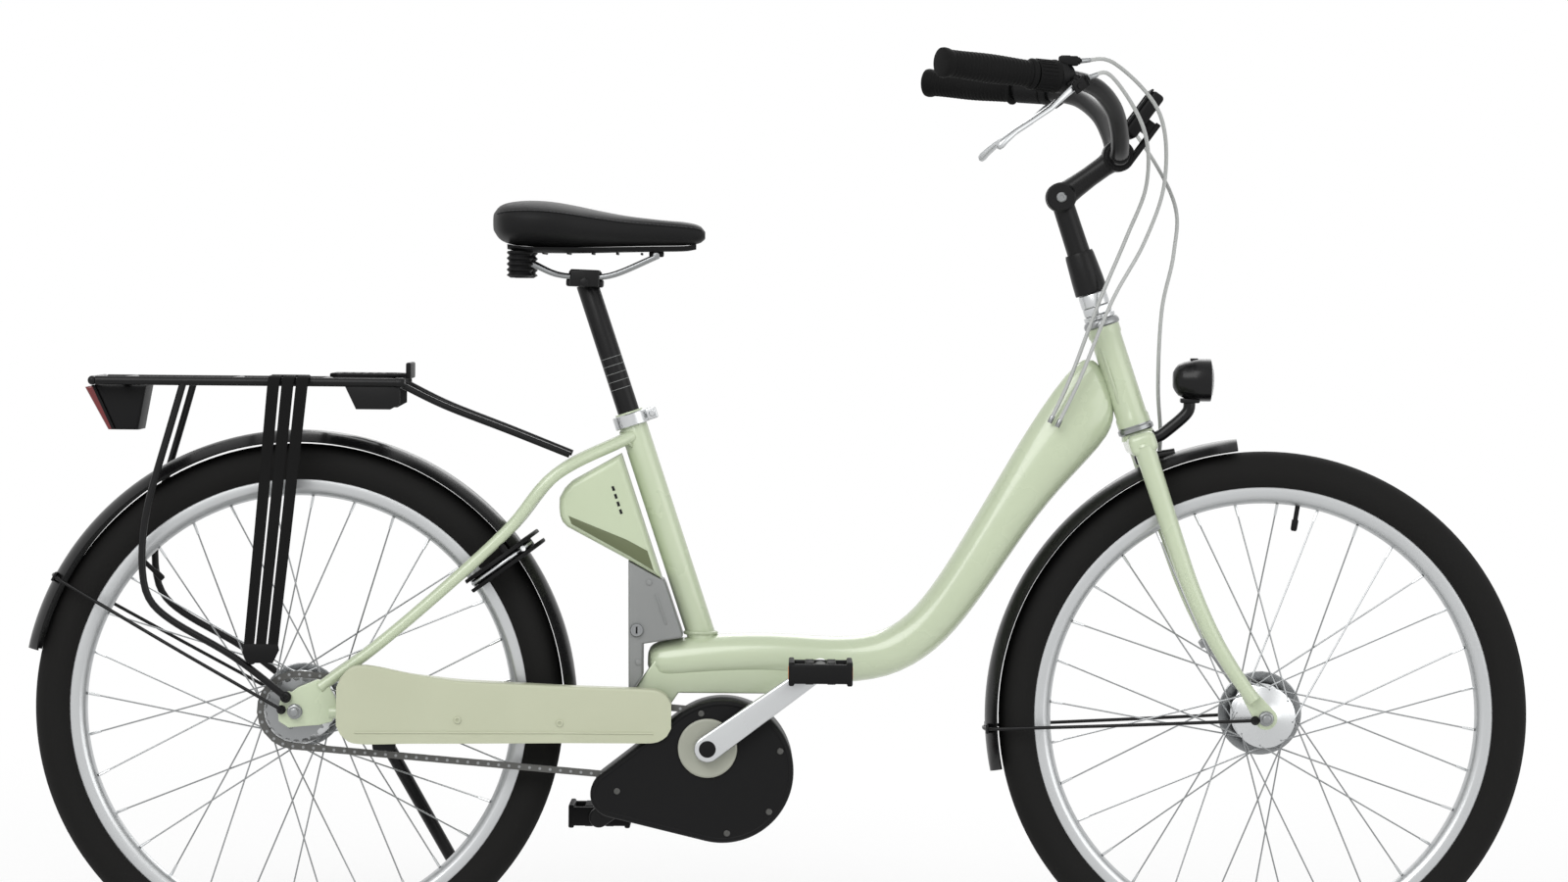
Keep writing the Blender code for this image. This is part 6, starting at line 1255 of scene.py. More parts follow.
def makePedal(side):
    # A cage of two serrated rails round a body on the axle, with a tread block on each half
    d = drive
    inner = side * (d["crankInner"] + d["crankThick"] + d["pedalGap"])
    tip = crankCentre + crankWay * (d["crankLength"] * -side)
    middle = atSide(tip, inner + side * d["pedalWide"] / 2)
    long, wide, high = d["pedalLong"], d["pedalWide"], d["pedalHigh"]
    endCap = [(0, 0), (0.01, 0), (0.0094, 0.0052), (0.007, 0.0064), (0, 0.0066)]
    parts = [
        tubeRing(0.005, 0.011, 0.0006, wide * 0.85, atSide(tip, inner), (0, side, 0), 32, 0.0015),
        lathe(endCap, atSide(tip, inner + side * wide * 0.86), (0, side, 0), 32),
    ]

    def block(size, x, y, z, edge, segments=3):
        return box(size, Matrix.Translation(middle + Vector((x, y, z))), edge, segments)

    for end in (-1, 1):
        rail, pad = end * (long / 2 - d["rail"]), end * long * d["tread"]
        parts.append(block((long * 0.965, 0.0082, high * 0.8), 0, end * (wide / 2 - 0.0043), 0, 0.0032, 4))
        parts.append(block((0.007, wide * 0.97, high * 0.98), rail, 0, 0, 0.0022))
        parts.append(block((long * 0.145, wide * 0.8, high * 0.82), pad, 0, 0, 0.0018))
        for i in range(9):
            y = (i - 4) * wide * d["treadStep"]
            for face in (-1, 1):
                parts.append(block((long * 0.125, 0.003, 0.0014), pad, y, face * (high * 0.41 + 0.0003),
                                   0.0005, 2))
                parts.append(block((0.0046, 0.0034, 0.001), rail, y, face * high * 0.495, 0.0004, 2))
    reflectors = [block((0.0012, wide * 0.46, high * 0.52), end * (long / 2 - 0.0003), 0, 0, 0.0004)
                  for end in (-1, 1)]
    return merge(*parts), merge(*reflectors)


crankEnd = drive["crankInner"] + drive["crankThick"]
crankAxle = rod(atSide(crankCentre, -crankEnd + 0.0012), atSide(crankCentre, crankEnd - 0.0012),
                drive["axle"], sides=32)
addPiece("rearSprocket", makeSprocket(rearAxle, 0.0135, 5), "brushedSteel", "freewheel", "rear_sprocket",
         sharp=30)
addPiece("driveSprocket", merge(makeSprocket(crankCentre, 0.008, 5), crankAxle), "brushedSteel", "crank",
         "crank_axle_and_sprocket", sharp=30)
chainPlates, chainRollers = makeChain()
addPiece("chainPlates", chainPlates, "darkSteel", "frame", "chain", sharp=40)
addPiece("chainRollers", chainRollers, "brushedSteel", "frame", sharp=40)
for label, side, finishName in (("right", -1, "polishedSilver"), ("left", 1, "blackPaint")):
    arm, cap = makeCrank(side)
    addPiece(label + "Crank", arm, finishName, "crank", "crank_" + label)
    addPiece(label + "CrankCap", cap, "matteBlack", "crank")
    cage, lamps = makePedal(side)
    addPiece(label + "Pedal", cage, "matteBlack", "pedal_" + label, "pedal_" + label)
    addPiece(label + "PedalReflectors", lamps, "amber", "pedal_" + label, sharp=38)
print("drive made")

# Chain guard, an L-shaped cover over the upper run. Stations: x, foot, top, outer face and inner edge
chainCover = {"back": 0.052, "front": 0.462, "wall": 0.002, "fold": 0.0034, "endRound": 0.02,
              "endDraw": 0.012, "steps": 80, "screws": ((0.2, 0.32), (0.325, 0.3165)),
              "trimBack": 0.075, "trimFront": 0.44, "trimZ": 0.3045}
guardStations = [
    (0.052, 0.304, 0.368, -0.092, -0.082), (0.06, 0.294, 0.382, -0.092, -0.082),
    (0.078, 0.29, 0.388, -0.0915, -0.08), (0.1, 0.29, 0.386, -0.09, -0.078),
    (0.14, 0.291, 0.377, -0.086, -0.074), (0.2, 0.291, 0.368, -0.08, -0.042),
    (0.33, 0.292, 0.362, -0.0692, -0.042), (0.445, 0.2925, 0.359, -0.0692, -0.042),
    (0.462, 0.3, 0.352, -0.0692, -0.042),
]


def between(stations, x):
    for a, b in zip(stations, stations[1:]):
        if x <= b[0]:
            t = max((x - a[0]) / (b[0] - a[0]), 0.0)
            return [p + (q - p) * t for p, q in zip(a, b)]
    return stations[-1]


def makeChainGuard():
    g = chainCover
    wall, r, outlines = g["wall"], g["fold"], []
    for i in range(g["steps"] + 1):
        x = g["back"] + (g["front"] - g["back"]) * i / g["steps"]
        near = [between(guardStations, x + shift) for shift in (-0.01, -0.005, 0.0, 0.005, 0.01)]
        _, low, high, out, inboard = [sum(column) / 5 for column in zip(*near)]
        # The two ends are rounded off
        end = min(x - g["back"], g["front"] - x)
        if end < g["endRound"]:
            draw = (1 - math.sqrt(max(0.0, 1 - (1 - end / g["endRound"]) ** 2))) * g["endDraw"]
            low, high = low + draw, high - draw
        outer = [(out, low)]
        for k in range(7):
            turn = math.radians(180 - 15 * k)
            outer.append((out + r + r * math.cos(turn), high - r + r * math.sin(turn)))
        outer.append((inboard, high))
        inner = [(inboard, high - wall)]
        for k in range(7):
            turn = math.radians(90 + 15 * k)
            inner.append((out + r + (r - wall) * math.cos(turn), high - r + (r - wall) * math.sin(turn)))
        inner.append((out + wall, low))
        outlines.append([Vector((x, y, z)) for y, z in outer + inner])
    pegs = []
    for (x, z), outer, inner in zip(g["screws"], (-0.0792, -0.069), (-0.0655, -0.0526)):
        pegs.append(rod((x, outer, z), (x, inner, z), 0.005, sides=20))
    return merge(sweep(outlines), *pegs)


def makeGuardTrim():
    # A raised line along the guard's foot and the heads of its two screws
    g = chainCover
    points = []
    for i in range(37):
        x = g["trimBack"] + (g["trimFront"] - g["trimBack"]) * i / 36
        points.append(Vector((x, between(guardStations, x)[3] - 0.0003, g["trimZ"])))
    heads = [screw((x, y, z), (0, -1, 0), 0.0046, 0.002)
             for (x, z), y in zip(g["screws"], (-0.0803, -0.0697))]
    return merge(tube(points, 0.0011, resolution=2), *heads)


addPiece("chainGuard", makeChainGuard(), "guardOlive", "frame", "chain_guard")
addPiece("guardTrim", makeGuardTrim(), "guardOlive", "frame")

# Motor housing below the frame's bracket, with the cover over the drive sprocket
motor = {"centre": Vector((0.525, 0, 0.258)), "radius": 0.087, "tip": Vector((0.392, 0, 0.229)),
         "tipRadius": 0.028, "right": -0.04, "left": 0.056, "cover": -0.0665, "cap": 0.036}


def makeMotor():
    m = motor
    outline = drop(m["centre"], m["radius"], m["tip"], m["tipRadius"], 64, 20)
    body = plate(outline, m["right"], m["left"], 0.007, 5)
    parts = [body]
    # Ribs cast on the left face and round the rim
    for i in range(18):
        turn = math.radians(-150 + i * 15)
        way = around(turn)
        middle = m["centre"] + way * 0.062 + sideways * (m["left"] + 0.0006)
        parts.append(box((0.03, 0.0024, 0.0022), axes(way, sideways, way.cross(sideways), middle), 0.0007, 2))
    parts.append(tubeRing(0.0095, 0.0245, m["left"] - 0.004, 0.0666, atSide(crankCentre, 0), sideways, 48,
                          0.002))
    parts.append(tubeRing(0.0095, 0.015, 0.066, 0.068, atSide(crankCentre, 0), sideways, 40, 0.0008))
    return merge(*parts)


def makeMotorCover():
    # From the sunk face over the outside to the rear rim, and back inside
    m = motor
    back = m["right"] - 0.0003 - m["cover"]
    steps = ((-0.0057, 0.0008), (-0.0045, 0.0), (-0.003, 0.0), (-0.0003, 0.002), (0.001, 0.0052),
             (0.001, back), (-0.0015, back), (-0.0025, 0.0025))
    outlines = []
    for grow, depth in steps:
        y = m["cover"] + depth
        outline = drop(m["centre"], m["radius"] + grow, m["tip"], m["tipRadius"] + grow, 64, 20)
        outlines.append([Vector((x, y, z)) for x, z in outline])
    return sweep(outlines)


def makeCoverTrim():
    # The grey cap round the crank axle and the cover's screws
    m = motor
    edge = m["cap"]
    profile = [(0.0092, 0.0), (edge, 0.0), (edge + 0.0005, 0.0008), (edge, 0.003), (edge - 0.002, 0.004),
               (edge - 0.005, 0.0036), (0.015, 0.003), (0.014, 0.004), (0.0092, 0.004)]
    cap = lathe(profile, atSide(crankCentre, m["cover"] + 0.0004), (0, -1, 0), 56)
    places = [m["centre"] + around(math.radians(turn)) * (m["radius"] - 0.011)
              for turn in (20, 65, 110, 320, 275)]
    places.append(m["tip"] + Vector((0.004, 0, 0.004)))
    heads = [screw(atSide(place, m["cover"] + 0.0008), (0, -1, 0), 0.004, 0.0018) for place in places]
    return cap, merge(*heads)


addPiece("motorBody", makeMotor(), "motorBlack", "frame", "motor_housing")
addPiece("motorCover", makeMotorCover(), "matteBlack", "frame", "motor_side_cover")
coverCap, coverScrews = makeCoverTrim()
addPiece("coverCap", coverCap, "capGrey", "frame")
addPiece("coverScrews", coverScrews, "darkSteel", "frame")
print("motor made")

# Battery behind the seat tube, its dock and the key lock
battery = {
    "half": 0.04, "dockHalf": 0.036, "lockAt": Vector((0.418, 0.0, 0.43)), "lockRadius": 0.0085,
    "gaugeStep": 0.01,
    # Outlines seen from the side, as heights along the seat tube and distances ahead of it
    "case": [
        (-0.047, -0.0245), (-0.06, -0.092), (-0.066, -0.1035), (-0.075, -0.113), (-0.086, -0.117),
        (-0.096, -0.119), (-0.104, -0.1185), (-0.1115, -0.115), (-0.1735, -0.056), (-0.208, -0.0245),
    ],
    "seam": [
        (-0.0462, -0.0238), (-0.0595, -0.0925), (-0.0655, -0.1042), (-0.0745, -0.1138), (-0.0858, -0.1178),
        (-0.096, -0.1198), (-0.1045, -0.1192), (-0.1121, -0.1156), (-0.1741, -0.0566), (-0.2088, -0.024),
    ],
    # The strip of painted shade along the case's lower edge
    "strip": [
        (-0.099, -0.109), (-0.1098, -0.1085), (-0.1705, -0.052), (-0.196, -0.03), (-0.17, -0.03),
        (-0.149, -0.05),
    ],
}


def seatOutline(points):
    flat = [seat(height, ahead) for height, ahead in points]
    return [(p.x, p.z) for p in flat]


def makeBattery():
    half = battery["half"]
    body = plate(seatOutline(battery["case"]), -half, half, 0.0085, 5)
    # A seam round the case where its two shells meet
    band = plate(seatOutline(battery["seam"]), -0.0016, 0.0016, 0.0005, 2)
    return merge(body, band)


def makeBatteryTrim():
    # Painted shade along the lower edge (dark olive sheets on both faces, where shade falls under the case), the
    # charge gauge and the charging port, all on the case's faces
    half = battery["half"]
    strip = seatOutline(battery["strip"])
    parts = [
        plate(strip, -half - 0.0004, -half + 0.001, 0.0003, 2),
        plate(strip, half - 0.001, half + 0.0004, 0.0003, 2),
    ]
    gauge = []
    for i in range(4):
        lamp = seat(-0.084 - battery["gaugeStep"] * i, -0.046, -half - 0.0002)
        gauge.append(box((0.006, 0.0008, 0.0032), axes(seatUp, sideways, seatAhead, lamp), 0.0003, 2))
    plug = [(0, 0.0), (0.0072, 0.0), (0.0076, 0.001), (0.0066, 0.002), (0, 0.0022)]
    port = lathe(plug, seat(-0.084, -0.07, half - 0.0006), sideways, 32)
    return merge(*parts), merge(*gauge), port


def makeDock():
    half = battery["dockHalf"]
    outline = [(0.407, 0.5154), (0.4505, 0.4914), (0.4535, 0.4849), (0.4741, 0.425), (0.4741, 0.4205),
               (0.4255, 0.4126), (0.4255, 0.3724), (0.4085, 0.3466)]
    body = plate(outline, -half, half, 0.0032, 4)
    lips = []
    for side in (-1, 1):
        y = side * (half - 0.0004)
        for x, z in ((0.433, 0.489), (0.4205, 0.39)):
            lips.append(rod((x, y, z), (x, y + side * 0.0018, z), 0.0036, sides=18, edge=0.0004))
        rib = axes(Vector((0.325, 0, -0.946)), sideways, Vector((0.946, 0, 0.325)),
                   (0.448, y + side * 0.0006, 0.456))
        lips.append(box((0.04, 0.002, 0.0024), rib, 0.0007, 2))
    return merge(body, *lips)


def makeBatteryLock():
    face = atSide(battery["lockAt"], -battery["dockHalf"])
    r = battery["lockRadius"]
    profile = [(0, -0.011), (r - 0.0002, -0.011), (r - 0.0002, 0.003), (r - 0.001, 0.004), (0.0052, 0.004),
               (0.005, 0.0034), (0, 0.0034)]
    barrel = lathe(profile, face, (0, -1, 0), 40)
    slot = box((0.0022, 0.0016, 0.0085), Matrix.Translation(face - sideways * 0.0032), 0.0003, 2)
    return barrel, slot


addPiece("batteryCase", makeBattery(), "batteryGreen", "battery", "battery", sharp=34)
batteryShadeStrip, batteryGauge, batteryPort = makeBatteryTrim()
# Dark olive sheets of painted shade along the battery's lower edge
addPiece("batteryShadeStrip", batteryShadeStrip, "paintedShadeOlive", "battery", sharp=34)
addPiece("batteryGauge", batteryGauge, "glossBlack", "battery", sharp=34)
addPiece("batteryPort", batteryPort, "gripRubber", "battery", sharp=34)
addPiece("batteryDock", makeDock(), "greyPlastic", "frame", "battery_dock")
lockBarrel, lockSlot = makeBatteryLock()
addPiece("lockBarrel", lockBarrel, "brushedSteel", "battery_lock", "battery_lock")
addPiece("lockSlot", lockSlot, "matteBlack", "battery_lock", sharp=38)
print("battery made")

# Seat clamp, post with its head, rails
post = {"radius": 0.0136, "insert": 0.13, "head": 0.172, "rail": 0.0036, "bolt": (0.35, 0.858),
        "firstMark": 0.03, "markStep": 0.01, "markWidth": 0.0006, "clampHeight": -0.0105,
        "clampAhead": 0.0275}
railRun = [(0.262, 0.038, 0.892), (0.285, 0.035, 0.881), (0.315, 0.024, 0.868), (0.35, 0.022, 0.865),
           (0.385, 0.022, 0.868), (0.44, 0.014, 0.8918)]


def makeSeatClamp():
    ring = tubeRing(0.0179, 0.022, -0.0185, -0.0025, seatTop, seatUp, 48, 0.001)
    height, ahead = post["clampHeight"], post["clampAhead"]
    lugs = []
    for side in (-1, 1):
        place = axes(seatAhead, sideways, seatUp, seat(height, 0.0262, side * 0.0043))
        lugs.append(box((0.014, 0.0056, 0.015), place, 0.0018, 3))
    bolt = rod(seat(height, ahead, -0.013), seat(height, ahead, 0.0105), 0.0026, sides=20)
    head = screw(seat(height, ahead, -0.0072), (0, -1, 0), 0.0042, 0.005)
    nut = hexNut(seat(height, ahead, 0.0072), (0, 1, 0), 0.0044, 0.0036)
    return merge(ring, *lugs, bolt, head, nut)


def makeSeatPost():
    tubePart = rod(seat(-post["insert"]), seat(post["head"] - 0.006), post["radius"], sides=44, edge=0.0006)
    middle = Matrix.Translation(Vector((0.35, 0.0, 0.8635))) @ Matrix.Rotation(math.radians(2), 4, "Y")
    lower = box((0.046, 0.036, 0.01), middle @ moveBy(0, 0, -0.006), 0.003, 4)
    x, z = post["bolt"]
    cheeks = []
    for side in (-1, 1):
        cheeks.append(box((0.04, 0.0066, 0.016), middle @ moveBy(0, side * 0.014, 0.001), 0.0022, 3))
        cheeks.append(box((0.036, 0.005, 0.021), middle @ moveBy(0, side * 0.0282, 0.0), 0.0018, 3))
        cheeks.append(hexNut((x, side * 0.029, z), (0, side, 0), 0.0062, 0.0044))
    bolt = rod((x, -0.0325, z), (x, 0.0325, z), 0.0038, sides=20)
    return merge(tubePart, lower, *cheeks, bolt)


def makePostMarks():
    # Fine height lines round the post, without figures
    p = post
    inner, outer = p["radius"] - 0.0004, p["radius"] + 0.00012
    starts = [p["firstMark"] + p["markStep"] * i for i in range(5)]
    return merge(*[tubeRing(inner, outer, z, z + p["markWidth"], seatTop, seatUp, 44, 0.0001)
                   for z in starts])


def makeRails():
    rails = [tube(curved(beside(railRun, side), 48), post["rail"]) for side in (-1, 1)]
    nose = rod((0.438, -0.018, 0.8918), (0.438, 0.018, 0.8918), 0.0042, sides=24, edge=0.0006)
    tail = rod((0.264, -0.044, 0.892), (0.264, 0.044, 0.892), 0.0042, sides=24, edge=0.0006)
    return merge(*rails, nose, tail)


addPiece("seatClamp", makeSeatClamp(), "polishedSilver", "frame", "seat_clamp")
addPiece("seatPost", makeSeatPost(), "blackPaint", "seat", "seat_post")
addPiece("postMarks", makePostMarks(), "greyPlastic", "seat", sharp=38)
addPiece("saddleRails", makeRails(), "brushedSteel", "seat", "saddle_rails", sharp=40)

# Saddle: a padded cover over a shell, with a seam round its edge and two dampers below
saddle = {
    "rows": 46, "sides": 64, "seamTurn": 24, "seamBack": 0.244, "seamFront": 0.493, "piping": 0.0011,
    "thread": 0.00042, "stitchLift": 0.0012, "stitchHalf": 0.0013, "baseBack": 0.256, "baseFront": 0.487,
}
saddleStations = [
    (0.2375, 0.943, 0.92, 0.04), (0.244, 0.951, 0.911, 0.066), (0.256, 0.956, 0.905, 0.083),
    (0.28, 0.9585, 0.902, 0.0945), (0.305, 0.9575, 0.9015, 0.0955), (0.335, 0.953, 0.9015, 0.086),
    (0.365, 0.947, 0.902, 0.068), (0.4, 0.941, 0.903, 0.048), (0.44, 0.937, 0.904, 0.033),
    (0.475, 0.9335, 0.905, 0.026), (0.492, 0.929, 0.908, 0.02), (0.498, 0.922, 0.913, 0.012),
]


def smoothBetween(stations, x):
    # The stations read as a smooth curve, so the cushion has no creases across it
    for i in range(len(stations) - 1):
        if x <= stations[i + 1][0] or i == len(stations) - 2:
            break
    a, b, c, d = (stations[max(min(i + k, len(stations) - 1), 0)] for k in (-1, 0, 1, 2))
    t = min(max((x - b[0]) / (c[0] - b[0]), 0.0), 1.0)
    # The shares of the two stations and of the two slopes
    fromShare, inShare = 2 * t**3 - 3 * t * t + 1, t**3 - 2 * t * t + t
    toShare, outShare = 3 * t * t - 2 * t**3, t**3 - t * t
    row = []
    for p, q, r, s in zip(a, b, c, d):
        slopeIn = (r - p) / max(c[0] - a[0], 1e-6) * (c[0] - b[0])
        slopeOut = (s - q) / max(d[0] - b[0], 1e-6) * (c[0] - b[0])
        row.append(fromShare * q + inShare * slopeIn + toShare * r + outShare * slopeOut)
    row[0] = x
    return row


def saddlePoint(x, turn):
    _, top, low, half = smoothBetween(saddleStations, x)
    middle = low + (top - low) * 0.55
    c, s = math.cos(turn), math.sin(turn)
    y = half * math.copysign(abs(c) ** 0.72, c)
    rise = (top - middle) * abs(s) ** 0.85 if s > 0 else -(middle - low) * abs(s) ** 0.55
    if s < 0:
        y *= 1 - 0.12 * abs(s)
    # A shallow channel along the middle and a little more crown on the two seat pads
    if s > 0:
        share = max(0.0, min((x - 0.262) / 0.05, (0.47 - x) / 0.06, 1.0))
        rise -= 0.0034 * share * math.exp(-((y / 0.0105) ** 2))
        rise += 0.0012 * share * math.exp(-(((abs(y) - half * 0.52) / 0.022) ** 2)) * min(half / 0.09, 1.0)
    return Vector((x, y, middle + rise))


def makeSaddle():
    outlines = []
    first, last = saddleStations[0][0], saddleStations[-1][0]
    for i in range(saddle["rows"] + 1):
        # The rows lie closer together towards both ends
        share = i / saddle["rows"]
        eased = 0.5 - 0.5 * math.cos(math.pi * share)
        x = first + (last - first) * (0.35 * share + 0.65 * eased)
        outlines.append([saddlePoint(x, math.tau * (k + 0.5) / saddle["sides"])
                         for k in range(saddle["sides"])])
    return sweep(outlines)


def makeSaddleSeams():
    # Stitched piping where the top panel meets the skirt
    seams, stitches = [], []
    s = saddle
    for side, turn in ((-1, 180 - s["seamTurn"]), (1, s["seamTurn"])):
        line = []
        for i in range(100):
            x = s["seamBack"] + (s["seamFront"] - s["seamBack"]) * i / 99
            line.append(saddlePoint(x, math.radians(turn)))
        seams.append(tube(line, s["piping"], resolution=2))
        for i in range(4, 96, 2):
            way = (line[i + 1] - line[i]).normalized() * s["stitchHalf"]
            middle = line[i] + Vector((0, side * 0.72, 0.7)) * s["stitchLift"]
            stitches.append(rod(middle - way, middle + way, s["thread"], sides=6))
    return merge(*seams), merge(*stitches)


def makeSaddleBase():
    underside = [
        (0.256, 0.905, 0.06), (0.28, 0.902, 0.08), (0.305, 0.9015, 0.082), (0.335, 0.9015, 0.07),
        (0.365, 0.902, 0.053), (0.4, 0.903, 0.036), (0.44, 0.904, 0.024), (0.475, 0.905, 0.018),
        (0.487, 0.9072, 0.013),
    ]
    edge = [(1, 0), (0.985, 0.003), (0.93, 0.0055), (0.84, 0.0065)]
    section = [(-1, 0)] + edge + [(-share, fall) for share, fall in reversed(edge[1:])]
    outlines = []
    for i in range(49):
        along = saddle["baseBack"] + (saddle["baseFront"] - saddle["baseBack"]) * i / 48
        x, low, half = smoothBetween(underside, along)
        outlines.append([Vector((x, half * share, low - 0.0006 - fall)) for share, fall in section])
    parts = [sweep(outlines)]
    for side in (-1, 1):
        foot = Vector((0.272, side * 0.062, 0.0))
        profile = [(0, 0.863), (0.0115, 0.863), (0.013, 0.864)]
        for i in range(33):
            z = 0.866 + 0.028 * i / 32
            profile.append((0.015 + 0.0014 * math.cos(math.tau * i / 8), z))
        profile += [(0.015, 0.896), (0, 0.896)]
        parts.append(lathe(profile, foot, (0, 0, 1), 40))
    for x in (0.3, 0.33, 0.36, 0.39, 0.42):
        half = between([(0.256, 0.06), (0.305, 0.082), (0.335, 0.07), (0.365, 0.053), (0.4, 0.036),
                        (0.44, 0.024)], x)[1]
        parts.append(box((0.0024, half * 1.5, 0.003), moveBy(x, 0, 0.8938), 0.0008, 2))
    parts.append(box((0.018, 0.026, 0.0075), moveBy(0.438, 0, 0.894), 0.0022))
    parts.append(box((0.016, 0.092, 0.007), moveBy(0.266, 0, 0.8935), 0.0022))
    return merge(*parts)


cushion = addPiece("saddleCover", makeSaddle(), "leatherBlack", "seat", "saddle", sharp=180)
seamLines, seamStitches = makeSaddleSeams()
addPiece("saddleSeams", seamLines, "leatherBlack", "seat", sharp=60)
addPiece("saddleStitches", seamStitches, "threadGrey", "seat", sharp=60)
addPiece("saddleBase", makeSaddleBase(), "matteBlack", "seat", "saddle_base")
print("seat made")

# Mudguards with rolled edges and wire stays
guard = {
    "radius": guardRadius, "half": 0.031, "wall": 0.0022, "sag": 0.013, "wire": 0.0022, "endRound": 0.024,
    "endWidth": 0.55, "frontSpan": (96.0, 192.0), "rearSpan": (5.0, 168.0), "crease": 0.0008,
    "tabHeight": 0.3497, "neckTurn": 109.0,
}


def polar(axle, radius, turn, y=0.0):
    turn = math.radians(turn)
    return Vector((axle.x + radius * math.cos(turn), y, axle.z + radius * math.sin(turn)))


def makeMudguard(axle, start, end, steps):
    g = guard
    right = [0.16, 0.33, 0.5, 0.66, 0.8, 0.9, 0.97, 1.0]
    shares = [-share for share in reversed(right)] + [0.0] + right
    outlines = []
    for i in range(steps + 1):
        turn = start + (end - start) * i / steps
        # Both ends are rounded when seen from above
        near = math.radians(min(turn - start, end - turn)) * g["radius"]
        rounded = math.sqrt(max(0.0, 1 - (1 - min(near / g["endRound"], 1.0)) ** 2))
        draw = g["endWidth"] + (1 - g["endWidth"]) * rounded
        outer, inner = [], []
        for share in shares:
            radius = g["radius"] - g["sag"] * abs(share) ** 2.2
            crease = g["crease"] * math.exp(-((abs(share) - 0.42) / 0.05) ** 2)
            outer.append(polar(axle, radius + crease, turn, share * g["half"] * draw))
            inner.append(polar(axle, radius - g["wall"] + 0.0004, turn, share * (g["half"] - 0.0018) * draw))
        outlines.append(outer + list(reversed(inner)))
    return sweep(outlines)


def makeStay(axle, turn, hubY, hubRadius, hubTurn):
    g = guard
    half = [
        polar(axle, hubRadius, hubTurn, hubY),
        polar(axle, g["radius"] * 0.5, turn * 0.94 + hubTurn * 0.06, (hubY + g["half"]) / 2 + 0.004),
        polar(axle, g["radius"] - g["sag"] - 0.006, turn, g["half"] + 0.0036),
        polar(axle, g["radius"] - g["sag"] * 0.3, turn, g["half"] * 0.88),
        polar(axle, g["radius"] + g["wire"] * 0.6, turn, g["half"] * 0.4),
    ]
    path = half + [Vector((p.x, -p.y, p.z)) for p in reversed(half)]
    parts = [tube(wirePath(path, 6, 3), g["wire"], resolution=3)]
    for side in (-1, 1):
        eye = polar(axle, hubRadius, hubTurn, side * hubY)
        parts.append(tubeRing(0.0026, 0.0056, -0.002, 0.002, eye, sideways, 24, 0.0005))
        parts.append(screw(eye + sideways * (side * 0.002), (0, side, 0), 0.004, 0.0024))
        clip = polar(axle, g["radius"] - 0.0035, turn, side * g["half"] * 0.66)
        out = (clip - axle).normalized()
        place = axes(out.cross(sideways), sideways, -out, clip + out * 0.0016)
        parts.append(box((0.012, 0.014, 0.0034), place, 0.001, 2))
    return merge(*parts)


frontWire = makeStay(frontAxle, 183.0, 0.0585, 0.0138, 190.0)
rearWire = makeStay(rearAxle, 152.0, 0.0769, 0.0165, 172.0)
tabTop = steer(guard["tabHeight"], -0.004)
tab = box((0.018, 0.022, 0.012), axes(steerAhead, sideways, steerUp, tabTop), 0.0022)
neck = rod(tabTop, polar(frontAxle, guardRadius - 0.001, guard["neckTurn"]), 0.006, sides=24)
frontShell = merge(makeMudguard(frontAxle, *guard["frontSpan"], 60), tab, neck)
rearShell = makeMudguard(rearAxle, *guard["rearSpan"], 96)
addPiece("frontMudguard", frontShell, "glossBlack", "steering", "front_mudguard", sharp=40)
addPiece("frontStay", frontWire, "blackPaint", "steering", sharp=40)
addPiece("rearMudguard", rearShell, "glossBlack", "frame", "rear_mudguard", sharp=40)
addPiece("rearStay", rearWire, "blackPaint", "frame", sharp=40)

# Luggage rack, spring clamp, elastic straps and rear light
rack = {
    "top": 0.733, "back": -0.252, "front": 0.128, "half": 0.065, "tube": 0.0055, "clampX": 0.118,
    "bars": (-0.212, -0.08, 0.03), "footX": -0.011, "footY": 0.0781, "footZ": 0.3465, "clampZ": 0.7415,
    "clampHalf": 0.04,
}


def makeRack():
    r = rack
    front, back, half, top, thick = r["front"], r["back"], r["half"], r["top"], r["tube"]
    parts = [rod((x, -half, top), (x, half, top), thick * 0.96, sides=24) for x in (*r["bars"], r["clampX"])]
    cap = [(0, 0), (0.0058, 0), (0.0061, 0.0008), (0.0061, 0.009), (0.005, 0.0112), (0, 0.0118)]
    sidePlate = [(0.056, top), (front - 0.002, top), (front - 0.002, top - 0.0264), (0.114, top - 0.033),
                 (0.072, top - 0.033)]
    rails = []
    for side in (-1, 1):
        y = side * half
        rail = [(front, y, top), (-0.1, y, top), (back + 0.004, y, top)]
        rails.append(tube(curved(rail, 24), thick, resolution=5))
        parts.append(lathe(cap, (front - 0.0075, y, top), (1, 0, 0), 24))
        parts.append(plate(sidePlate, y - 0.0015, y + 0.0015, 0.0006, 2))
        foot = Vector((r["footX"], side * r["footY"], r["footZ"]))
        loop = [(-0.14, y, top - 0.001), (-0.158, side * 0.067, 0.668), (-0.19, side * 0.07, 0.56),
                (-0.189, side * 0.073, 0.468), (-0.15, side * 0.076, 0.436), (-0.075, foot.y, 0.398), foot]
        parts.append(tube(wirePath(loop, 6, 8), thick * 0.82, resolution=4))
        strut = [(front - 0.004, y * 0.94, top - 0.001), (0.18, side * 0.056, 0.705),
                 (0.26, side * 0.05, 0.6745), (0.334, side * 0.044, 0.6456)]
        parts.append(tube(curved(strut, 24), thick * 0.72, resolution=4))
        parts.append(tubeRing(0.0024, 0.007, -0.003, 0.003, foot, sideways, 28, 0.0008))
        parts.append(screw(foot + sideways * (side * 0.003), (0, side, 0), 0.0048, 0.0028))
    parts.append(rod((back, -half - 0.001, top), (back, half + 0.001, top), thick, sides=24))
    for side in (-1, 1):
        ball = bmesh.new()
        corner = moveBy(back, side * half, top)
        bmesh.ops.create_uvsphere(ball, u_segments=24, v_segments=16, radius=thick * 1.02, matrix=corner)
        parts.append(ball)
    return merge(*rails, *parts)


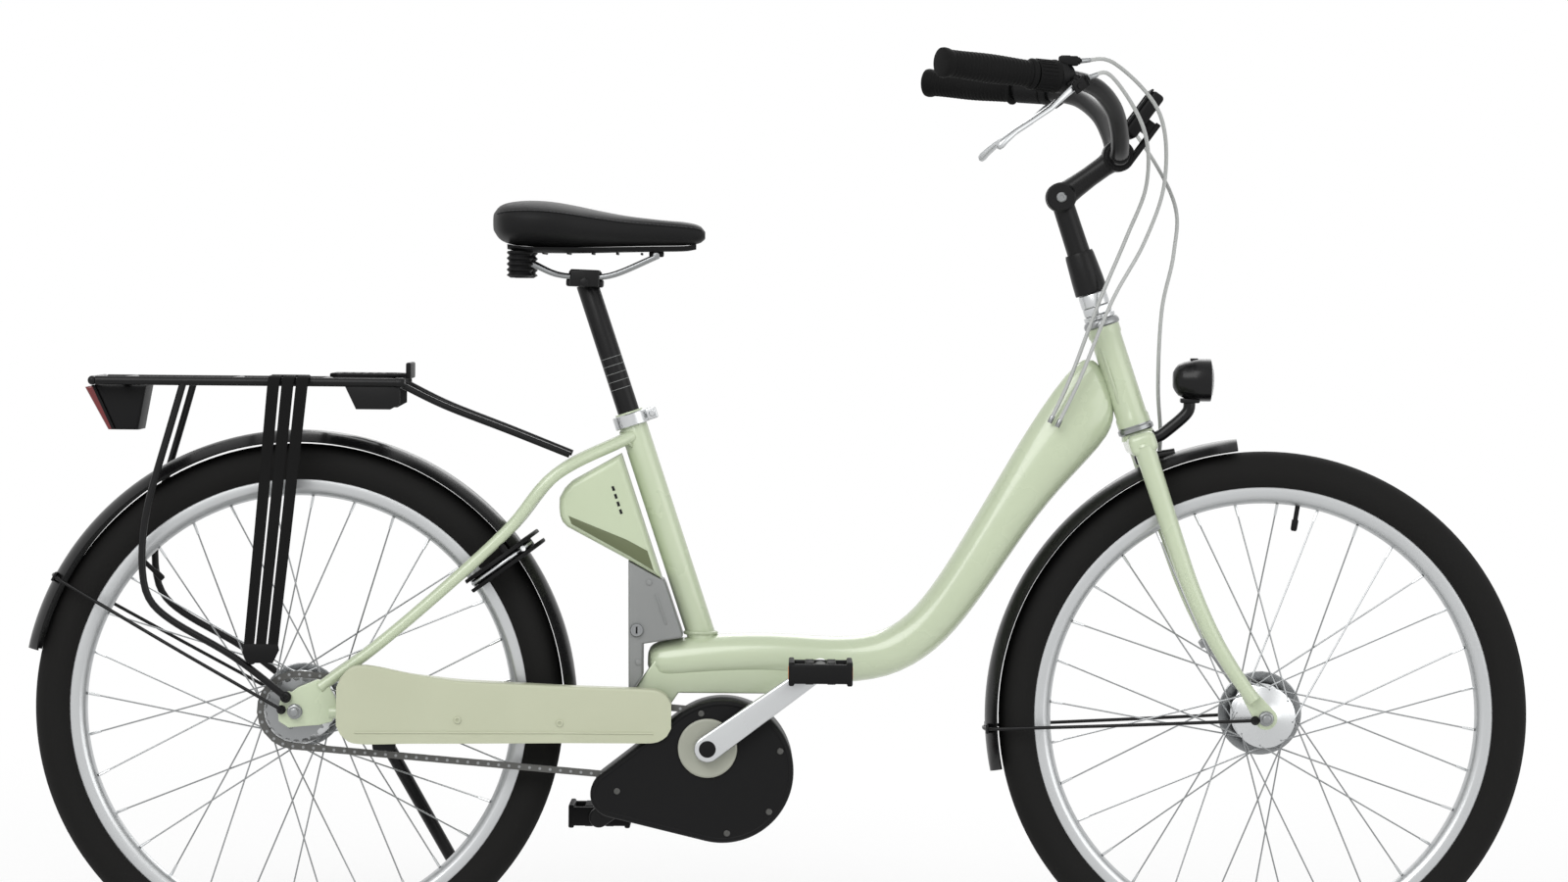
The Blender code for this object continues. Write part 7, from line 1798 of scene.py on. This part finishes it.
def makeRackClamp():
    r = rack
    barrel = tubeRing(0.006, 0.0088, -0.03, 0.03, (r["clampX"], 0, r["top"]), sideways, 36, 0.001)
    z, half = r["clampZ"], r["clampHalf"]
    bars = [box((0.084, 0.01, 0.005), moveBy(0.08, y, z), 0.0018) for y in (-half, half)]
    bars.append(box((0.011, 0.09, 0.005), moveBy(0.0435, 0, z), 0.0018))
    bars.append(box((0.06, 0.072, 0.0034), moveBy(0.079, 0, z - 0.0002), 0.0012))
    bars.append(box((0.018, 0.06, 0.005), moveBy(0.1265, 0, z), 0.0014))
    bars.append(box((0.006, 0.09, 0.02), moveBy(0.1345, 0, z + 0.006), 0.0022))
    for i in range(5):
        bars.append(box((0.006, 0.056, 0.0012), moveBy(0.058 + 0.0105 * i, 0, z + 0.0019), 0.0005, 2))
    return merge(barrel, *bars)


strap = {"bands": 3, "deckY": -0.056, "sideY": -0.0863, "low": 0.404, "half": 0.0064, "taper": 0.001,
         "thick": 0.0011}


def makeStrap():
    s = strap
    top = rack["top"] + rack["tube"] + 0.0003
    lift = top + s["thick"] + 0.0001
    bands = []
    # Three bands fan out over the deck's edge from one hook near the dropout
    for k in range(s["bands"]):
        share = k - 1
        x = -0.009 + 0.0175 * share
        run = [(x, s["deckY"], lift), (x, -0.079, lift), (x - 0.001, s["sideY"] + 0.0001, top - 0.004),
               (-0.0232 + 0.0162 * share, s["sideY"], 0.59), (-0.0415 + 0.0146 * share, s["sideY"], s["low"])]
        path = wirePath(run, 5, 2)
        stations = []
        for i, point in enumerate(path):
            way = (path[min(i + 1, len(path) - 1)] - path[max(i - 1, 0)]).normalized()
            across = Vector((1, 0, 0)) - way * way.x
            across.normalize()
            wide = s["half"] + s["taper"] * max(0.0, min(1.0, (point.z - s["low"]) / (top - s["low"])))
            stations.append((point, across * wide, way.cross(across) * s["thick"]))
        bands.append(ovals(stations, 16, 0.55))
    outline = [(-0.0185, 0.4045), (-0.0262, 0.3885), (-0.058, 0.3885), (-0.0638, 0.401), (-0.062, 0.412),
               (-0.02, 0.412)]
    clip = plate(outline, -0.0876, -0.0849, 0.0008, 2)
    hookBar = box((0.047, 0.008, 0.003), moveBy(-0.009, s["deckY"], top + 0.0015), 0.001, 2)
    hook = rod((-0.052, -0.0874, 0.3908), (-0.052, -0.076, 0.3908), 0.0044, sides=24, edge=0.0005)
    return merge(*bands), merge(clip, hookBar, hook)


def makeRearLight():
    back, top = rack["back"], rack["top"] - rack["tube"] - 0.0003
    foot = top - 0.0552
    body = [(back + 0.0005, top), (back + 0.064, top), (back + 0.054, foot), (back + 0.026, foot)]
    lens = [(back - 0.012, top - 0.003), (back + 0.0001, top - 0.0002), (back + 0.0256, foot),
            (back + 0.0171, foot)]
    edge = [(back - 0.004, top - 0.0006), (back + 0.0006, top - 0.0006), (back + 0.0258, foot + 0.0002),
            (back + 0.0212, foot + 0.0002)]
    shell = plate(body, -0.042, 0.042, 0.004, 4)
    rim = plate(edge, -0.0412, 0.0412, 0.0012)
    cover = plate(lens, -0.0408, 0.0408, 0.0026, 4)
    grooves = []
    for i in range(9):
        z = top - 0.01 - 0.005 * i
        shift = 0.012 - 0.0291 * (top - 0.003 - z) / 0.0522
        grooves.append(box((0.0012, 0.07, 0.0016), moveBy(back - shift + 0.0002, 0, z), 0.0004, 2))
    return merge(shell, rim), merge(cover, *grooves)


addPiece("luggageRack", makeRack(), "blackPaint", "frame", "luggage_rack", sharp=40)
addPiece("rackClamp", makeRackClamp(), "matteBlack", "rack_clamp", "rack_clamp")
strapBands, strapHook = makeStrap()
addPiece("strapBands", strapBands, "gripRubber", "frame", "luggage_strap", sharp=60)
addPiece("strapHook", strapHook, "matteBlack", "frame")
lightShell, rearLens = makeRearLight()
addPiece("rearLightShell", lightShell, "matteBlack", "frame", "rear_light_housing")
addPiece("rearLightLens", rearLens, "redLens", "frame", "rear_light_lens")
print("mudguards and rack made")

# Ring lock round the rear wheel, and its bolt
lock = {"turn": 36.0, "reach": 0.308, "inner": 0.0425, "outer": 0.0605, "half": 0.0095, "bolt": 0.0042,
        "mouth": 38.0, "knobTurn": -60}
lockCentre = polar(rearAxle, lock["reach"], lock["turn"])
lockOut = (lockCentre - rearAxle).normalized()
lockNormal = lockOut.cross(sideways)
lockMean = (lock["inner"] + lock["outer"]) / 2


def lockPoint(radius, turn, off):
    turn = math.radians(turn)
    return lockCentre + (lockOut * math.cos(turn) + sideways * math.sin(turn)) * radius + lockNormal * off


def lockSweep(section, start, end, steps):
    return sweep([[lockPoint(r, start + (end - start) * i / steps, off) for r, off in section]
                  for i in range(steps + 1)])


def makeRingLock():
    a, b, h, groove = lock["inner"], lock["outer"], lock["half"], lock["bolt"] + 0.0004
    e = 0.0018
    half = [(a, -h + e), (a + e * 0.3, -h + e * 0.3), (a + e, -h), (b - e, -h), (b - e * 0.3, -h + e * 0.3),
            (b, -h + e), (b, -groove), (lockMean - groove, -groove)]
    section = half + [(radius, -off) for radius, off in reversed(half)]
    parts = [lockSweep(section, -180 + lock["mouth"], 180 - lock["mouth"], 72)]
    for side in (-1, 1):
        low, high = beside(seatStayRun[2:4], side)
        foot = lockPoint(0.056, side * 74, h - 0.001)
        along = (high - low).normalized()
        offset, pace = (foot - low).cross(along), lockNormal.cross(along)
        near, tubeRadius = offset.dot(pace), frameSizes["seatStay"] * 0.98
        root = near * near - pace.length_squared * (offset.length_squared - tubeRadius**2)
        reach = (-near - math.sqrt(max(root, 0.0))) / pace.length_squared - 0.0004
        parts.append(rod(foot, foot + lockNormal * reach, 0.004, sides=24))
        parts.append(screw(lockPoint(0.052, side * 100, -h), -lockNormal, 0.0032, 0.0014))
    keyhole = [(0, 0), (0.008, 0), (0.008, 0.0016), (0.007, 0.0024), (0, 0.0024)]
    return merge(*parts), lathe(keyhole, lockPoint(lockMean, 60, -h), -lockNormal, 32)


def makeLockBolt():
    b, start = lock["bolt"] * 0.98, lock["mouth"] - 179
    turns = [math.tau * k / 14 for k in range(14)]
    section = [(lockMean + b * math.cos(turn), b * math.sin(turn)) for turn in turns]
    bolt = lockSweep(section, start, start + 110, 48)
    foot, tip = (lockPoint(radius, lock["knobTurn"], 0) for radius in (lockMean, lock["outer"] + 0.012))
    way = tip - foot
    knob = merge(rod(foot, foot + way * 0.62, 0.0028, sides=20),
                 rod(foot + way * 0.55, tip, 0.0034, 0.0036, 24, 0.0008))
    return merge(bolt, knob)


ringLock, lockKey = makeRingLock()
addPiece("ringLock", ringLock, "matteBlack", "frame", "ring_lock")
addPiece("ringLockKeyhole", lockKey, "brushedSteel", "frame")
addPiece("lockBolt", makeLockBolt(), "polishedSilver", "lock_bolt", "lock_bolt", sharp=40)

# Side stand
stand = {"pivot": Vector((0.0975, 0.099, 0.283)), "foot": Vector((0.237, 0.195, 0.0)), "tube": 0.0085,
         "pin": 0.005, "hub": 0.0075}
standDown = (stand["foot"] + Vector((0, 0, 0.01)) - stand["pivot"]).normalized()
standAxis = standDown.cross(Vector((-0.985, 0.03, -0.05)).normalized()).normalized()


def makeStandMount():
    s = stand
    pivot, half = s["pivot"], s["hub"]
    outline = [(0.077, 0.331), (0.08, 0.3335), (0.115, 0.3335), (0.1182, 0.331), (0.113, 0.271),
               (0.11, 0.2688), (0.087, 0.268), (0.0845, 0.27)]
    flat = plate(outline, 0.0813, 0.0853, 0.0009, 2)
    cap = [(0, 0), (0.0092, 0), (0.0095, 0.0004), (0.0095, 0.002), (0.0086, 0.003), (0.0046, 0.003),
           (0.0042, 0.0018), (0, 0.0018)]
    washer = pivot - standAxis * (half + 0.0003)
    end = pivot + standAxis * (half + 0.0006)
    parts = [flat, rod(pivot - standAxis * (half + 0.008), end + standAxis * 0.0012, s["pin"] * 0.98,
                       sides=32)]
    parts.append(rod(washer, washer - standAxis * 0.0088, 0.01, sides=32, edge=0.0008))
    parts.append(lathe(cap, end, standAxis, 32))
    for x in (0.0885, 0.1065):
        parts.append(screw((x, 0.0853, 0.3235), (0, 1, 0), 0.0044, 0.0028))
    return merge(*parts)


def makeStandLeg():
    s = stand
    hub = tubeRing(0.0055, 0.0135, -s["hub"], s["hub"], s["pivot"], standAxis, 40, 0.0014)
    knee = s["pivot"] + standDown * 0.0122
    toe = s["foot"] + Vector((0, 0, 0.02))
    leg = tube(curved([knee, s["pivot"].lerp(toe, 0.5), toe], 20), s["tube"], s["tube"] * 0.9, 6)
    return merge(hub, leg)


def makeStandFoot():
    # A rubber shoe whose sole lies flat on the ground once the bicycle leans
    foot = stand["foot"]
    shoe = box((0.045, 0.031, 0.0196), Matrix.Translation(foot + Vector((0, 0, 0.0132))), 0.0042, 4)
    collar = rod(foot + Vector((0, 0, 0.019)), foot + Vector((0, 0, 0.028)), 0.0125, 0.01, 28, 0.0008)
    whole = merge(shoe, collar)
    sole = leanOver @ foot
    normal = upright.to_3x3() @ Vector((0, 0, 1))
    ground = upright @ Vector((sole.x, sole.y, 0.00005))
    everything = whole.verts[:] + whole.edges[:] + whole.faces[:]
    bmesh.ops.bisect_plane(whole, geom=everything, plane_co=ground, plane_no=normal, clear_inner=True)
    bmesh.ops.holes_fill(whole, edges=[e for e in whole.edges if e.is_boundary])
    return whole


addPiece("standMount", makeStandMount(), "blackPaint", "frame", "stand_mount")
addPiece("standLeg", makeStandLeg(), "blackPaint", "stand", "stand_leg")
addPiece("standFoot", makeStandFoot(), "gripRubber", "stand")
print("lock and stand made")

# Brake and gear cables in smooth runs, with ferrules at their ends
sleeve = {"radius": 0.0025, "ferrule": 0.0031}
cableFoot = leverPivot - leverWay * 0.0184
gearMouth = flipY(clampAt, -1) + flipY(clampWay, -1) * 0.0106 + Vector((0.0268, 0.0, 0.0195))
cableRuns = {
    "front_brake_cable": ("steering", [
        cableFoot, (0.985, 0.238, 1.112), (1.04, 0.15, 1.05), (1.082, 0.06, 0.965), (1.08, 0.026, 0.9),
        (1.066, 0.026, 0.83), steer(0.43, 0.045, 0.028), steer(0.372, 0.03, 0.036),
        steer(0.335, 0.016, 0.0395), steer(0.3, 0.004, 0.0395), steer(0.22, 0.003, 0.0395),
        steer(0.16, 0.006, 0.04), steer(0.119, 0.004, 0.041),
    ]),
    "rear_brake_cable": ("frame", [
        flipY(cableFoot, -1), (0.985, -0.236, 1.11), (1.03, -0.15, 1.05), (1.04, -0.06, 0.985),
        (1.018, -0.03, 0.92), (0.985, -0.03, 0.84), (0.95, -0.0325, 0.745), (0.925, -0.0325, 0.69),
    ]),
    "gear_cable": ("frame", [
        gearMouth, (0.99, -0.215, 1.126), (1.05, -0.13, 1.07), (1.062, -0.066, 0.99), (1.04, -0.04, 0.915),
        (1.0, -0.038, 0.84), (0.962, -0.0385, 0.745), (0.934, -0.0365, 0.685),
    ]),
}
for node, (body, run) in cableRuns.items():
    path = curved(run, 110)
    sleeveShape = tube(path, sleeve["radius"] * 0.98, resolution=3)
    ends = [rod(tip, tip.lerp(inward, 0.6), sleeve["ferrule"], sides=20, edge=0.0004)
            for tip, inward in ((path[0], path[4]), (path[-1], path[-4]))]
    words = node.split("_")
    label = words[0] + "".join(w.title() for w in words[1:])
    addPiece(label, sleeveShape, "cableSleeve", body, node, sharp=60)
    addPiece(label + "Ends", merge(*ends), "brushedSteel", body)
print("cables made")
